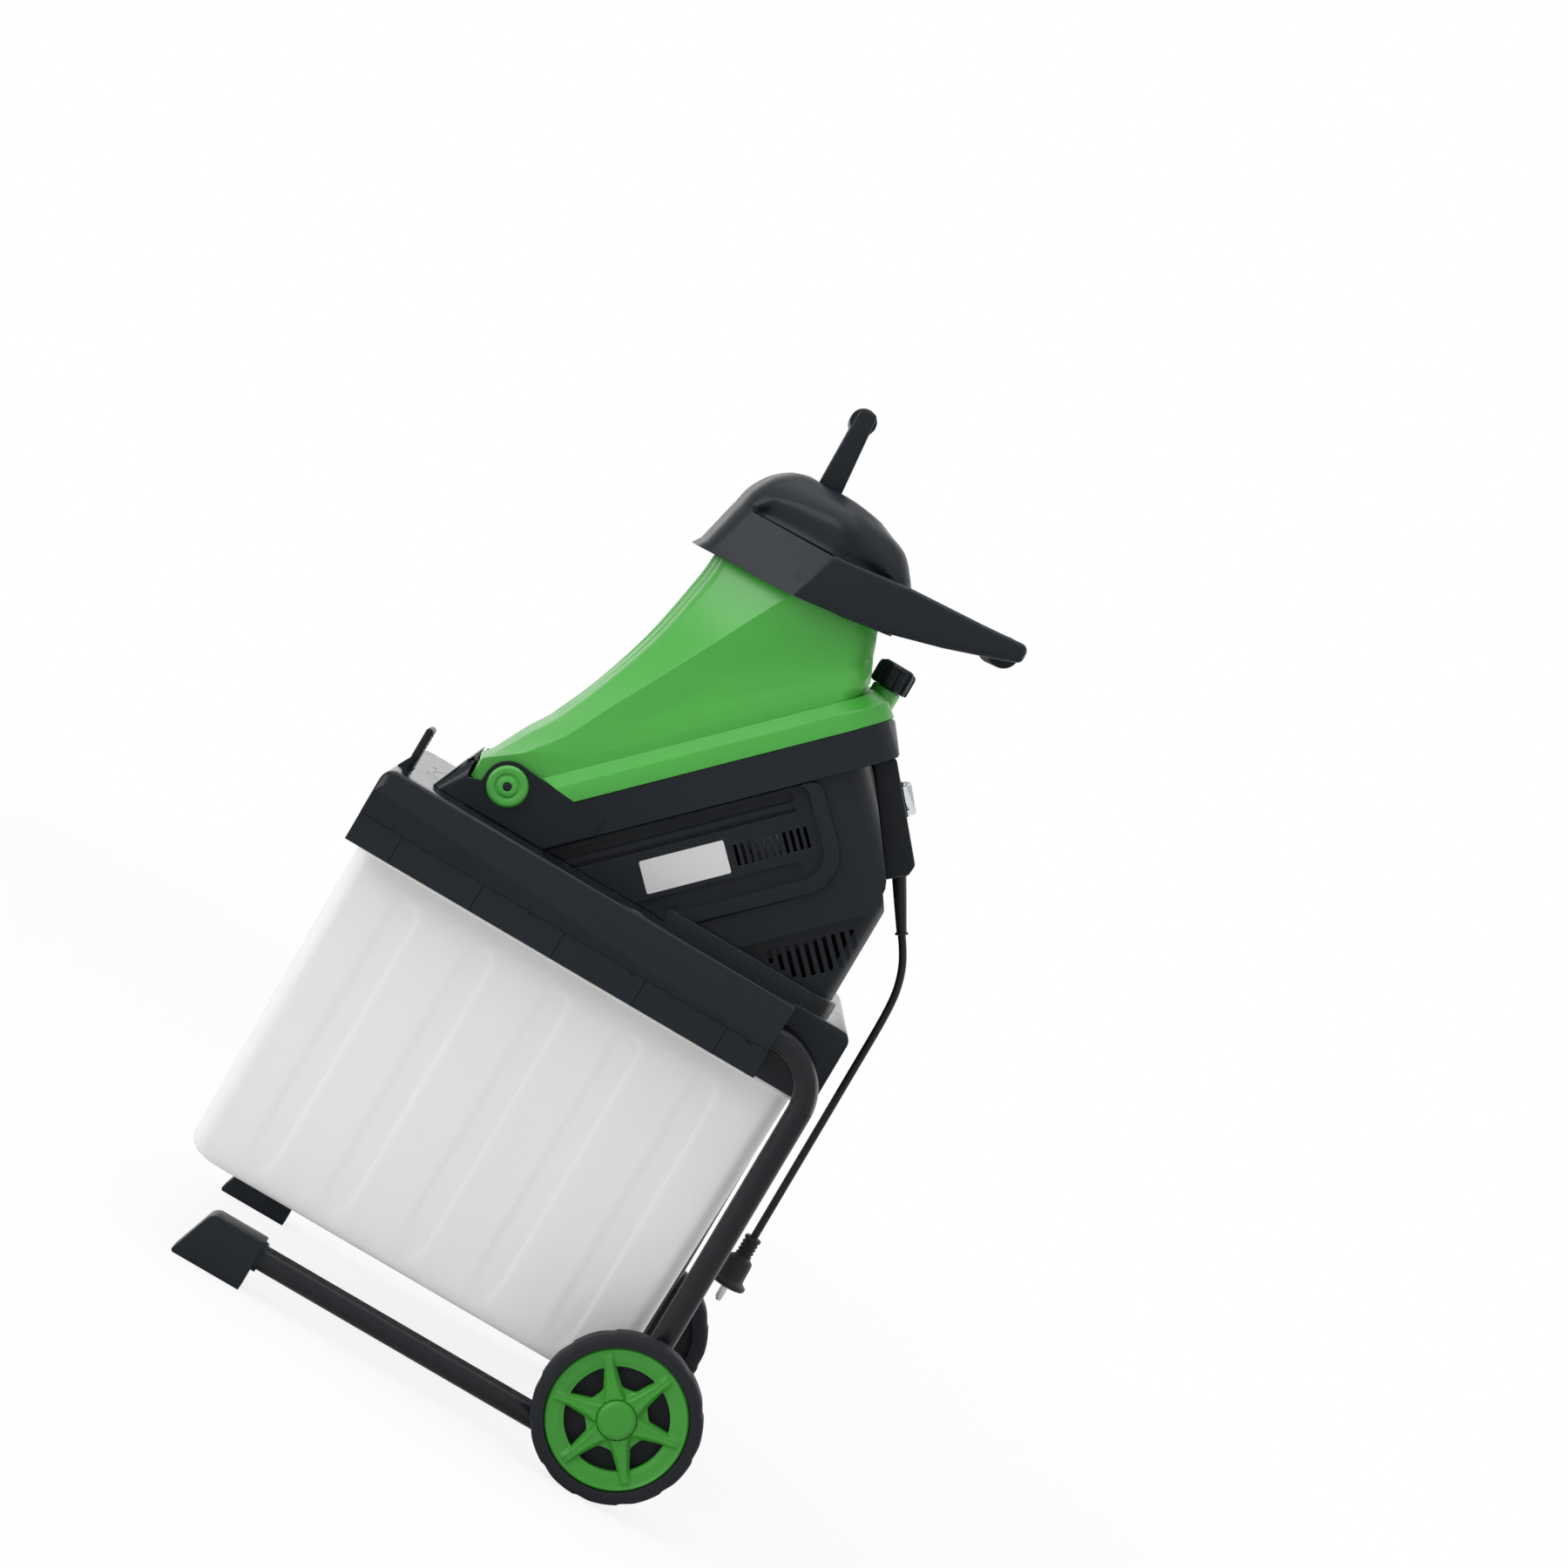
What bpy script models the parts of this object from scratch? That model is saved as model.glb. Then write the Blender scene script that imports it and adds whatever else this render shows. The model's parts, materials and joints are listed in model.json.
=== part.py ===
"""Electric garden shredder on a wheeled tube frame, built in Blender.

Lengths are metres. +X points to the rear (the towing handle), +Y across the machine, +Z up.
Everything is laid out from the wheel axle (x = 0) and the floor (z = 0). At the end the whole
assembly is moved along X so that its footprint is centred on the origin.
The cutting unit is tilted: u runs up its slope towards the rear and n stands square to it,
with n = 0 where the hopper meets the cutter housing.
"""

import math

import bmesh
import bpy
from mathutils import Matrix, Vector

# Fits
GAP = 0.0003
SLIDE_GAP = 0.0007
TURN_GAP = 0.0003

# Wheels and axle
WHEEL_RADIUS = 0.0825
WHEEL_WIDTH = 0.034
RIM_RADIUS = 0.0688
TREAD_DEPTH = 0.0028
TREAD_BLOCKS = 12
WINDOW_INNER = 0.0300
WINDOW_OUTER = 0.0507
SPOKES = 6
HUB_RADIUS = 0.0165
HUB_CAP_RADIUS = 0.0192
COVER_DEPTH = 0.0150
WEB_LEVEL = 0.0110
WEB_THICK = 0.0030
AXLE_RADIUS = 0.005
SPACER_LENGTH = 0.0079
SPACER_RADIUS = 0.009

# Side frames of bent tube
BODY_HALF = 0.167
TUBE_RADIUS = 0.0125
TUBE_WALL = 0.0015
TUBE_HALF_TRACK = BODY_HALF + 0.013
BASE_RUN_HEIGHT = 0.0350
TOP_RUN_HEIGHT = 0.4673
UPRIGHT_X = 0.0035
BEND_LOWER = 0.048
BEND_UPPER = 0.052
TOP_RUN_FRONT = -0.488

# Feet
FOOT_FRONT = -0.4479
FOOT_REAR = -0.3676
FOOT_TOP = 0.0518
FOOT_TOP_FRONT = -0.4298
FOOT_WIDTH = 0.036
FOOT_SOCKET = 0.052

# Base tray that carries the cutting unit
TRAY_FRONT = -0.5025
TRAY_REAR = 0.0120
TRAY_TOP = TOP_RUN_HEIGHT + 0.0372
TRAY_TAIL_BOTTOM = TOP_RUN_HEIGHT - 0.0433
TRAY_WALL = 0.004
RAIL_REAR = -0.0521
RAIL_HALF = BODY_HALF + 0.033
RAIL_WALL = 0.005
BODY_WALL = 0.003
RUNNER_INSET = 0.0015
RUNNER_BOTTOM = TOP_RUN_HEIGHT - 0.0421
RUNNER_WEB = 0.004
CHUTE_FRONT = -0.428
CHUTE_REAR = -0.346
CHUTE_HALF = 0.085
PLINTH_HEIGHT = 0.0145
PLINTH_HALF = 0.1345
PLINTH_FRONT = -0.200

# Collection bin
BIN_BOTTOM = 0.0834
BIN_FRONT_TOP = -0.4898
BIN_REAR_TOP = -0.0083
BIN_FRONT_LOW = -0.4868
BIN_REAR_LOW = -0.0154
BIN_HALF_TOP = BODY_HALF - 0.0065
BIN_HALF_LOW = BODY_HALF - 0.0110
BIN_WALL = 0.003
BIN_CORNER = 0.026
BIN_LIP = 0.003
BIN_LIP_LOW = TOP_RUN_HEIGHT - 0.0478
BIN_LIP_HIGH = TOP_RUN_HEIGHT - 0.0388
BIN_RIM_THICK = 0.004
BIN_RIM_REACH = 0.0175
BIN_RIM_REAR = -0.0560
LEDGE_THICK = 0.004
FLUTE_CENTRES = (-0.4180, -0.3350, -0.2510, -0.1700, -0.0850)
FLUTE_HALF = 0.024
FLUTE_DEPTH = 0.0035
FLUTE_TOP = TOP_RUN_HEIGHT - 0.0663

# Bin lock lever
LOCK_Y = -0.088
LOCK_WIDTH = 0.042
LOCK_X = -0.4880
LOCK_THICK = 0.0072
LOCK_TOP = TRAY_TOP + 0.0447
TOOTH_THICK = 0.0032
TOOTH_WIDTH = 0.024

# Slope of the cutting unit
SLOPE_X = -0.4465
SLOPE_Z = TRAY_TOP - 0.0580
UNIT_HALF = 0.130
UNIT_REAR = 0.4815
UNIT_CORNER = 0.048
BAND_DEPTH = 0.0374
FLANGE_HEIGHT = 0.0235
FLANGE_FRONT = 0.135
DISC_CENTRE = 0.325

# Hinge at the front of the hopper
PIVOT_X = -0.3955
PIVOT_Z = TRAY_TOP + 0.0362
EAR_RADIUS = 0.0245
EAR_THICK = 0.0105
EAR_PROUD = 0.0006
PIN_RADIUS = 0.008
CAP_RADIUS = 0.0205
CAP_THICK = 0.008
LUG_THICK = 0.0065
LIP_RADIUS = 0.0430
NOSE_CLEARANCE = 0.0028

# Cutter and motor
CHAMBER_RADIUS = 0.117
CHAMBER_DEPTH = 0.0334
DISC_RADIUS = 0.105
DISC_TOP = -0.0165
DISC_THICK = 0.005
SHAFT_RADIUS = 0.006
BLADE_LENGTH = 0.074
BLADE_WIDTH = 0.030
BLADE_THICK = 0.004
BLADE_REACH = 0.060
BLADE_SCREW_RADIUS = 0.0032
BEARING_RADIUS = 0.013
BEARING_WIDTH = 0.009
MOTOR_FRAME_RADIUS = 0.0525
MOTOR_FRAME_END = -0.137
STATOR_TOP = -0.055
STATOR_LENGTH = 0.060
ARMATURE_RADIUS = 0.0295
FAN_RADIUS = 0.045
SHAFT_END = -0.158

# Motor casing
CASING_HALF = 0.1225
PANEL_HALF = 0.1280
RECESS_HALF = 0.1165
CASING_WALL = 0.005
CASING_FOOT_HALF = 0.112
CASING_FOOT_CORNER = 0.026
CASING_REAR = -0.0177
CASING_SHOULDER = TRAY_TOP + 0.1181
MOTOR_END = -0.177
RIDGE_OUTER = 0.3975
RIDGE_WIDTH = 0.015
RIDGE_LOW = -0.144
SIDE_VENTS = 11
FOOT_VENTS = 10

# Switch box on the rear of the casing
BOX_TOP_X = -0.1007
BOX_TOP_Z = TRAY_TOP + 0.2332
BOX_SLOPE = math.radians(-49.4)
BOX_LENGTH = 0.1168
BOX_THICK = 0.0243
BOX_FLARE = 0.0075
BOX_HALF = 0.055
BOX_WALL = 0.004
ROCKER_S = 0.045
ROCKER_LENGTH = 0.0240
ROCKER_WIDTH = 0.0150
ROCKER_TILT = math.radians(7)
BEZEL_LENGTH = 0.0350
BEZEL_WIDTH = 0.0250
BEZEL_THICK = 0.0022
COVER_HEIGHT = 0.0110
COVER_WALL = 0.0012

# Hood, plunger and knob
HOOD_WALL = 0.0035
ARM_THICK = 0.020
GRIP_X = -0.0470
GRIP_Z = TRAY_TOP + 0.3915
GRIP_RADIUS = 0.0160
GRIP_CORE = 0.0095
GRIP_HALF = 0.0880
OPENING_FRONT = -0.3000
OPENING_REAR = -0.2190
OPENING_HALF = 0.0730
LEDGE_TOP = TRAY_TOP + 0.4335
PLUNGER_PLATE = 0.004
PLUNGER_LOW = TRAY_TOP + 0.2655
PLUNGER_GRIP_X = -0.2783
PLUNGER_GRIP_Z = TRAY_TOP + 0.5160
PLUNGER_GRIP_RADIUS = 0.0135
KNOB_X = -0.1225
KNOB_LOW = TRAY_TOP + 0.3027
KNOB_HEIGHT = 0.0258
KNOB_RADIUS = 0.0205
KNOB_RIBS = 12
POST_RADIUS = 0.0150
STUD_RADIUS = 0.0040
STUD_LOW = TRAY_TOP + 0.2510

# Cord and plug
CORD_RADIUS = 0.004
CORD_EXIT = (0.0162, 0.0, 0.6018)
CORD_ROUTE = (
    (0.0162, 0.0, 0.6018),
    (0.0198, 0.0, 0.5968),
    (0.0250, 0.0, 0.5890),
    (0.0302, 0.0, 0.5800),
    (0.0345, 0.0, 0.5705),
    (0.0380, 0.0, 0.5600),
    (0.0405, 0.0, 0.5490),
    (0.0420, 0.0, 0.5370),
    (0.0428, 0.0, 0.5240),
    (0.0432, 0.0, 0.5100),
    (0.0434, 0.0, 0.4900),
    (0.0435, 0.0, 0.4600),
    (0.0436, 0.0, 0.4300),
    (0.0437, 0.0, 0.4000),
    (0.0438, 0.0, 0.3600),
    (0.0439, 0.0, 0.3200),
    (0.0440, 0.0, 0.2900),
    (0.0440, 0.0, 0.2650),
)
PLUG_LENGTH = 0.056
PLUG_FLANGE = 0.0195
PIN_LENGTH = 0.0165

SIDES = (("left", -1.0), ("right", 1.0))

BLACK_PLASTIC = ("black_plastic", (0.020, 0.022, 0.026), 0.45, 0.0)
GREEN_PLASTIC = ("green_plastic", (0.070, 0.330, 0.055), 0.35, 0.0)
WHEEL_GREEN = ("wheel_green", (0.045, 0.250, 0.035), 0.40, 0.0)
BIN_WHITE = ("bin_white", (0.760, 0.755, 0.745), 0.40, 0.0)
TUBE_BLACK = ("tube_black", (0.022, 0.023, 0.026), 0.30, 0.0)
RUBBER = ("rubber", (0.018, 0.019, 0.022), 0.80, 0.0)
STEEL = ("steel", (0.600, 0.600, 0.610), 0.30, 1.0)
CLEAR = ("clear_plastic", (0.800, 0.820, 0.830), 0.10, 0.0)
COPPER = ("copper", (0.550, 0.260, 0.120), 0.40, 1.0)
CORD_BLACK = ("cord_black", (0.020, 0.020, 0.022), 0.60, 0.0)


def material_for(node, finish):
    """One Principled material for each node."""
    colour, roughness, metallic = finish[1:]
    made = bpy.data.materials.new(node + "_" + finish[0])
    made.use_nodes = True
    shader = made.node_tree.nodes["Principled BSDF"]
    shader.inputs["Base Color"].default_value = (*colour, 1.0)
    shader.inputs["Roughness"].default_value = roughness
    shader.inputs["Metallic"].default_value = metallic
    return made


def new_object(name, bm):
    bmesh.ops.recalc_face_normals(bm, faces=bm.faces)
    mesh = bpy.data.meshes.new(name)
    bm.to_mesh(mesh)
    bm.free()
    made = bpy.data.objects.new(name, mesh)
    bpy.context.scene.collection.objects.link(made)
    return made


def dress(made, finish, origin=(0.0, 0.0, 0.0), edge=35.0):
    """Names the piece's material, shades it and puts its origin where it turns or slides."""
    made.data.materials.clear()
    made.data.materials.append(material_for(made.name, finish))
    made.data.shade_smooth()
    made.data.set_sharp_from_angle(angle=math.radians(edge))
    made.data.transform(Matrix.Translation(-Vector(origin)))
    made.location = origin
    return made


def carve(target, tool, operation="DIFFERENCE"):
    """Applies one Boolean to the target's mesh and removes the tool."""
    step = target.modifiers.new("carve", "BOOLEAN")
    step.operation = operation
    step.solver = "EXACT"
    step.object = tool
    bpy.context.view_layer.update()
    graph = bpy.context.evaluated_depsgraph_get()
    result = bpy.data.meshes.new_from_object(target.evaluated_get(graph))
    target.modifiers.remove(step)
    target.data = result
    bpy.data.objects.remove(tool)
    return target


def join(target, *tools):
    for tool in tools:
        carve(target, tool, "UNION")
    return target


def cut(target, *tools):
    for tool in tools:
        carve(target, tool)
    return target


def common(target, tool):
    return carve(target, tool, "INTERSECT")


def rounded(corners, steps=4):
    """Outline through the corners (x, y[, z], radius), each corner an arc of that radius.
    Small corners take half the steps."""
    points = []
    count = len(corners)
    for index, corner in enumerate(corners):
        here = Vector(corner[:-1])
        radius = corner[-1]
        before = Vector(corners[index - 1][:-1]) - here
        after = Vector(corners[(index + 1) % count][:-1]) - here
        if radius <= 0.0:
            points.append(here)
            continue
        half = before.angle(after) / 2
        reach = radius / math.tan(half)
        reach = min(reach, 0.49 * before.length, 0.49 * after.length)
        start = here + before.normalized() * reach
        end = here + after.normalized() * reach
        weight = math.sin(half)
        here_steps = steps if radius > 0.0115 else max(1, steps // 2)
        for step in range(here_steps + 1):
            t = step / here_steps
            a, b, c = (1 - t) ** 2, 2 * weight * t * (1 - t), t * t
            points.append((start * a + here * b + end * c) / (a + b + c))
    return points


def arc(centre, radius, start, end, steps):
    """Points on a circle, angles in degrees."""
    span = math.radians(end - start) / steps
    first = math.radians(start)
    return [
        (centre[0] + radius * math.cos(first + i * span), centre[1] + radius * math.sin(first + i * span))
        for i in range(steps + 1)
    ]


def loft(name, rings, caps="flat", closed=False):
    """Skin over rings of equal length. Mirror caps join each point to its twin across y = 0,
    in rings that start on the middle plane, and suit ends that aren't flat."""
    bm = bmesh.new()
    layers = [[bm.verts.new(point) for point in ring] for ring in rings]
    count = len(layers[0])
    pairs = list(zip(layers, layers[1:]))
    if closed:
        pairs.append((layers[-1], layers[0]))
    for low, high in pairs:
        for i in range(count):
            j = (i + 1) % count
            bm.faces.new((low[i], low[j], high[j], high[i]))
    if caps == "flat" and not closed:
        for layer in (layers[0], layers[-1]):
            bm.faces.new(layer)
    if caps == "mirror":
        for layer in (layers[0], layers[-1]):
            bm.faces.new((layer[0], layer[1], layer[-1]))
            for i in range(1, count // 2):
                bm.faces.new((layer[i], layer[i + 1], layer[count - i - 1], layer[count - i]))
    return new_object(name, bm)


def slope(u, n):
    """The (x, z) of a point on the sloping unit."""
    root = math.sqrt(0.5)
    return (u - n) * root + SLOPE_X, (u + n) * root + SLOPE_Z


def prism_y(name, outline, low, high):
    """An (x, z) outline carried across the machine from y = low to y = high."""
    rings = [[(point[0], y, point[1]) for point in outline] for y in (low, high)]
    return loft(name, rings)


def prism_z(name, outline, low, high):
    rings = [[(point[0], point[1], z) for point in outline] for z in (low, high)]
    return loft(name, rings)


def prism_x(name, outline, low, high):
    rings = [[(x, point[0], point[1]) for point in outline] for x in (low, high)]
    return loft(name, rings)


def prism_n(name, outline, low, high, taper=0.0):
    """A (u, y) outline carried square to the slope from n = low to n = high."""
    rings = []
    for n, shift in ((low, 0.0), (high, taper)):
        ring = []
        for point in outline:
            x, z = slope(point[0] - shift * (point[0] > FLANGE_FRONT), n)
            ring.append((x, point[1], z))
        rings.append(ring)
    return loft(name, rings)


def above(height):
    """A level given as its height above the tray's top."""
    return TRAY_TOP + height


def sloped(points):
    return [slope(u, n) for u, n in points]


def on_box(s, t):
    """The (x, z) of a point on the switch box: s down its back, t out of it."""
    along = Vector((math.cos(BOX_SLOPE), math.sin(BOX_SLOPE)))
    out = Vector((-math.sin(BOX_SLOPE), math.cos(BOX_SLOPE)))
    place = Vector((BOX_TOP_X, BOX_TOP_Z)) + along * s + out * t
    return place.x, place.y


def box_back(s):
    """Where the box's back lies: its sides get deeper towards the lower end."""
    return -BOX_FLARE * s / BOX_LENGTH


def box(name, low, high):
    outline = ((low[0], low[1]), (high[0], low[1]), (high[0], high[1]), (low[0], high[1]))
    return prism_z(name, outline, low[2], high[2])


def rectangle(x0, x1, y0, y1, radius=0.0, steps=4):
    return rounded(((x0, y0, radius), (x1, y0, radius), (x1, y1, radius), (x0, y1, radius)), steps)


def lathe(name, profile, centre, axis, steps=24, closed=False):
    """Turns a (radius, height) profile about an axis. Profiles that start and end at radius 0
    close by themselves, and a closed profile makes a ring."""
    bm = bmesh.new()
    turn = Vector((0.0, 0.0, 1.0)).rotation_difference(Vector(axis)).to_matrix().to_4x4()
    place = Matrix.Translation(centre) @ turn
    rows = []
    flat_start = profile[0][0] == 0.0 and profile[0][1] == profile[1][1]
    flat_end = profile[-1][0] == 0.0 and profile[-1][1] == profile[-2][1]
    profile = profile[1 if flat_start else 0 : -1 if flat_end else None]
    for radius, height in profile:
        if radius < 1e-9:
            rows.append([bm.verts.new(place @ Vector((0.0, 0.0, height)))])
            continue
        row = []
        for step in range(steps):
            angle = 2 * math.pi * step / steps
            local = Vector((radius * math.cos(angle), radius * math.sin(angle), height))
            row.append(bm.verts.new(place @ local))
        rows.append(row)
    pairs = list(zip(rows, rows[1:]))
    if closed:
        pairs.append((rows[-1], rows[0]))
    for low, high in pairs:
        for i in range(steps):
            j = (i + 1) % steps
            corners = [low[i % len(low)], low[j % len(low)], high[j % len(high)], high[i % len(high)]]
            unique = list(dict.fromkeys(corners))
            if len(unique) > 2:
                bm.faces.new(unique)
    if flat_start:
        bm.faces.new(rows[0])
    if flat_end:
        bm.faces.new(rows[-1])
    return new_object(name, bm)


def rod(name, centre, axis, radius, low, high, steps=24, chamfer=0.0):
    profile = [(0.0, low), (radius - chamfer, low)]
    if chamfer > 0.0:
        profile.append((radius, low + chamfer))
        profile.append((radius, high - chamfer))
    profile.append((radius - chamfer, high))
    profile.append((0.0, high))
    return lathe(name, profile, centre, axis, steps)


def pipe(name, centre, axis, outer, inner, low, high, steps=24):
    profile = ((inner, low), (outer, low), (outer, high), (inner, high))
    return lathe(name, profile, centre, axis, steps, closed=True)


def empty_at(name, place):
    made = bpy.data.objects.new(name, None)
    made.empty_display_size = 0.03
    made.location = place
    bpy.context.scene.collection.objects.link(made)
    return made


def carry(parent, *children):
    """Hangs the children on an empty that stands at a joint."""
    for child in children:
        child.parent = parent
        child.matrix_parent_inverse = Matrix.Translation(-parent.location)


# Running gear


def frame_path():
    """Centre line of one side frame, from inside the foot to inside the rail."""
    low = (UPRIGHT_X - BEND_LOWER, BASE_RUN_HEIGHT + BEND_LOWER)
    high = (UPRIGHT_X - BEND_UPPER, TOP_RUN_HEIGHT - BEND_UPPER)
    path = [(FOOT_REAR - FOOT_SOCKET + SLIDE_GAP, BASE_RUN_HEIGHT)]
    path += arc(low, BEND_LOWER, -90, 0, 4)
    path += arc(high, BEND_UPPER, 0, 90, 4)
    path.append((TOP_RUN_FRONT, TOP_RUN_HEIGHT))
    return path


def swept_tube(name, path, y, outer, inner, sides=10):
    """A hollow tube along an (x, z) path, open at both ends."""
    rings = []
    for radius, order in ((outer, range(len(path))), (inner, reversed(range(len(path))))):
        for index in order:
            here = Vector(path[index])
            before = Vector(path[max(index - 1, 0)])
            after = Vector(path[min(index + 1, len(path) - 1)])
            ahead = (after - before).normalized()
            side = Vector((-ahead.y, ahead.x))
            ring = []
            for step in range(sides):
                angle = 2 * math.pi * (step + 0.5) / sides
                offset = side * (radius * math.cos(angle))
                ring.append((here.x + offset.x, y + radius * math.sin(angle), here.y + offset.y))
            rings.append(ring)
    return loft(name, rings, caps="open", closed=True)


def frame_tube(name, side):
    y = side * TUBE_HALF_TRACK
    tube = swept_tube(name, frame_path(), y, TUBE_RADIUS, TUBE_RADIUS - TUBE_WALL)
    hole = rod("hole", (0.0, y, WHEEL_RADIUS), (0, 1, 0), AXLE_RADIUS + GAP, -0.03, 0.03, 16)
    return dress(cut(tube, hole), TUBE_BLACK)


def foot(name, side):
    outline = rounded(
        (
            (FOOT_FRONT, 0.0, 0.002),
            (FOOT_REAR, 0.0, 0.002),
            (FOOT_REAR, FOOT_TOP, 0.006),
            (FOOT_TOP_FRONT, FOOT_TOP, 0.010),
        ),
        3,
    )
    y = side * TUBE_HALF_TRACK
    body = prism_y(name, outline, y - FOOT_WIDTH / 2, y + FOOT_WIDTH / 2)
    centre = (FOOT_REAR - FOOT_SOCKET, y, BASE_RUN_HEIGHT)
    socket = rod("socket", centre, (1, 0, 0), TUBE_RADIUS + GAP, 0.0, FOOT_SOCKET + 0.01, 20)
    return dress(cut(body, socket), BLACK_PLASTIC)


def wheel_places():
    """Distances from the middle plane: inner and outer face of a wheel."""
    inner = TUBE_HALF_TRACK + TUBE_RADIUS + SPACER_LENGTH + 2 * GAP
    return inner, inner + WHEEL_WIDTH


def wheel_rim(name, side):
    """Green spoked cover with six windows and raised ribs, on the hub that runs on the axle."""
    inner, outer = wheel_places()
    centre = (0.0, side * inner, WHEEL_RADIUS)
    axis = (0.0, side, 0.0)
    web_in, web_out = WHEEL_WIDTH - COVER_DEPTH, WHEEL_WIDTH - 0.0080
    bore = AXLE_RADIUS + TURN_GAP
    profile = (
        (bore, GAP),
        (HUB_RADIUS, GAP),
        (HUB_RADIUS, web_in),
        (RIM_RADIUS, web_in),
        (RIM_RADIUS, WHEEL_WIDTH - 0.0030),
        (RIM_RADIUS - 0.0060, WHEEL_WIDTH - 0.0020),
        (WINDOW_OUTER + 0.002, web_out),
        (HUB_RADIUS + 0.006, web_out),
        (HUB_RADIUS, WHEEL_WIDTH - 0.0045),
        (bore, WHEEL_WIDTH - 0.0045),
    )
    rim = lathe(name, profile, centre, axis, 24, closed=True)
    pitch = 2 * math.pi / SPOKES
    for index in range(SPOKES):
        middle = math.radians(37.7) + index * pitch
        outline = rounded(
            (
                (*polar(WINDOW_INNER, middle - math.radians(9)), 0.004),
                (*polar(WINDOW_OUTER, middle - math.radians(21)), 0.004),
                (*polar(WINDOW_OUTER + 0.0012, middle), 0.030),
                (*polar(WINDOW_OUTER, middle + math.radians(21)), 0.004),
                (*polar(WINDOW_INNER, middle + math.radians(9)), 0.004),
            ),
            2,
        )
        raised = [(x, z + WHEEL_RADIUS) for x, z in outline]
        cut(rim, prism_y("window", raised, side * (inner + web_in - 0.004), side * (outer + 0.01)))
    for index in range(SPOKES):
        join(rim, spoke_rib(side, math.radians(7.7) + index * pitch))
    return dress(rim, WHEEL_GREEN, origin=(0.0, side * (inner + outer) / 2, WHEEL_RADIUS))


def polar(radius, angle):
    return radius * math.cos(angle), radius * math.sin(angle)


def spoke_rib(side, angle):
    """A raised rib along a spoke, from the hub out over the ring."""
    inner, outer = wheel_places()
    top = outer - 0.0032
    foot_level = outer - 0.0110
    rings = []
    for radius, half in ((HUB_CAP_RADIUS + 0.0006, 0.0055), (0.040, 0.0036), (0.0610, 0.0030)):
        along = Vector((math.cos(angle), 0.0, math.sin(angle)))
        across = Vector((-math.sin(angle), 0.0, math.cos(angle)))
        middle = along * radius + Vector((0.0, 0.0, WHEEL_RADIUS))
        drop = 0.0015 if radius > 0.06 else 0.0
        ring = []
        for place, level in ((-1.0, foot_level), (-0.45, top - drop), (0.45, top - drop), (1.0, foot_level)):
            point = middle + across * (half * place)
            ring.append((point.x, side * level, point.z))
        rings.append(ring)
    return loft("rib", rings)


def tyre(name, side):
    """Black wheel body: a web that shows through the cover, and a tread with shallow gaps."""
    inner, outer = wheel_places()
    steps = TREAD_BLOCKS * 4
    bead = RIM_RADIUS + 3 * GAP
    web_out = WEB_LEVEL + WEB_THICK
    section = (
        (HUB_RADIUS + 2 * GAP, WEB_LEVEL, 0.0),
        (bead - 0.004, WEB_LEVEL, 0.0),
        (bead - 0.004, 0.0015, 0.0),
        (WHEEL_RADIUS - 0.005, 0.0006, 0.3),
        (WHEEL_RADIUS, 0.005, 1.0),
        (WHEEL_RADIUS, WHEEL_WIDTH - 0.005, 1.0),
        (WHEEL_RADIUS - 0.005, WHEEL_WIDTH - 0.0006, 0.3),
        (bead, WHEEL_WIDTH - 0.0015, 0.0),
        (bead, web_out, 0.0),
        (HUB_RADIUS + 2 * GAP, web_out, 0.0),
    )
    rings = []
    for radius, level, share in section:
        ring = []
        for step in range(steps):
            quarter = step % 4
            angle = 2 * math.pi * (step // 4) / TREAD_BLOCKS
            angle += 2 * math.pi / TREAD_BLOCKS * (0.0, 0.12, 0.20, 0.60)[quarter]
            depth = TREAD_DEPTH * share if quarter in (1, 2) else 0.0
            x, z = polar(radius - depth, angle + math.radians(-90))
            ring.append((x, side * (inner + level), z + WHEEL_RADIUS))
        rings.append(ring)
    made = loft(name, rings, caps="open", closed=True)
    return dress(made, RUBBER, origin=(0.0, side * (inner + outer) / 2, WHEEL_RADIUS), edge=50)


def hub_cap(name, side):
    """Domed cover over the axle nut."""
    inner, outer = wheel_places()
    base = WHEEL_WIDTH - 0.0045 + GAP
    wall = 0.0015
    rise = 0.0042
    profile = (
        (0.0, base + rise),
        (HUB_RADIUS - 0.006, base + rise - 0.0004),
        (HUB_RADIUS - 0.001, base + rise - 0.002),
        (HUB_RADIUS - 0.0005, base),
        (HUB_CAP_RADIUS - 0.0005, base),
        (HUB_CAP_RADIUS, base + 0.0015),
        (HUB_CAP_RADIUS - 0.0025, base + rise + wall - 0.0022),
        (HUB_RADIUS - 0.005, base + rise + wall - 0.0006),
        (0.0, base + rise + wall),
    )
    made = lathe(name, profile, (0.0, side * inner, WHEEL_RADIUS), (0.0, side, 0.0), 18)
    return dress(made, WHEEL_GREEN, origin=(0.0, side * outer, WHEEL_RADIUS))


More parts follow.
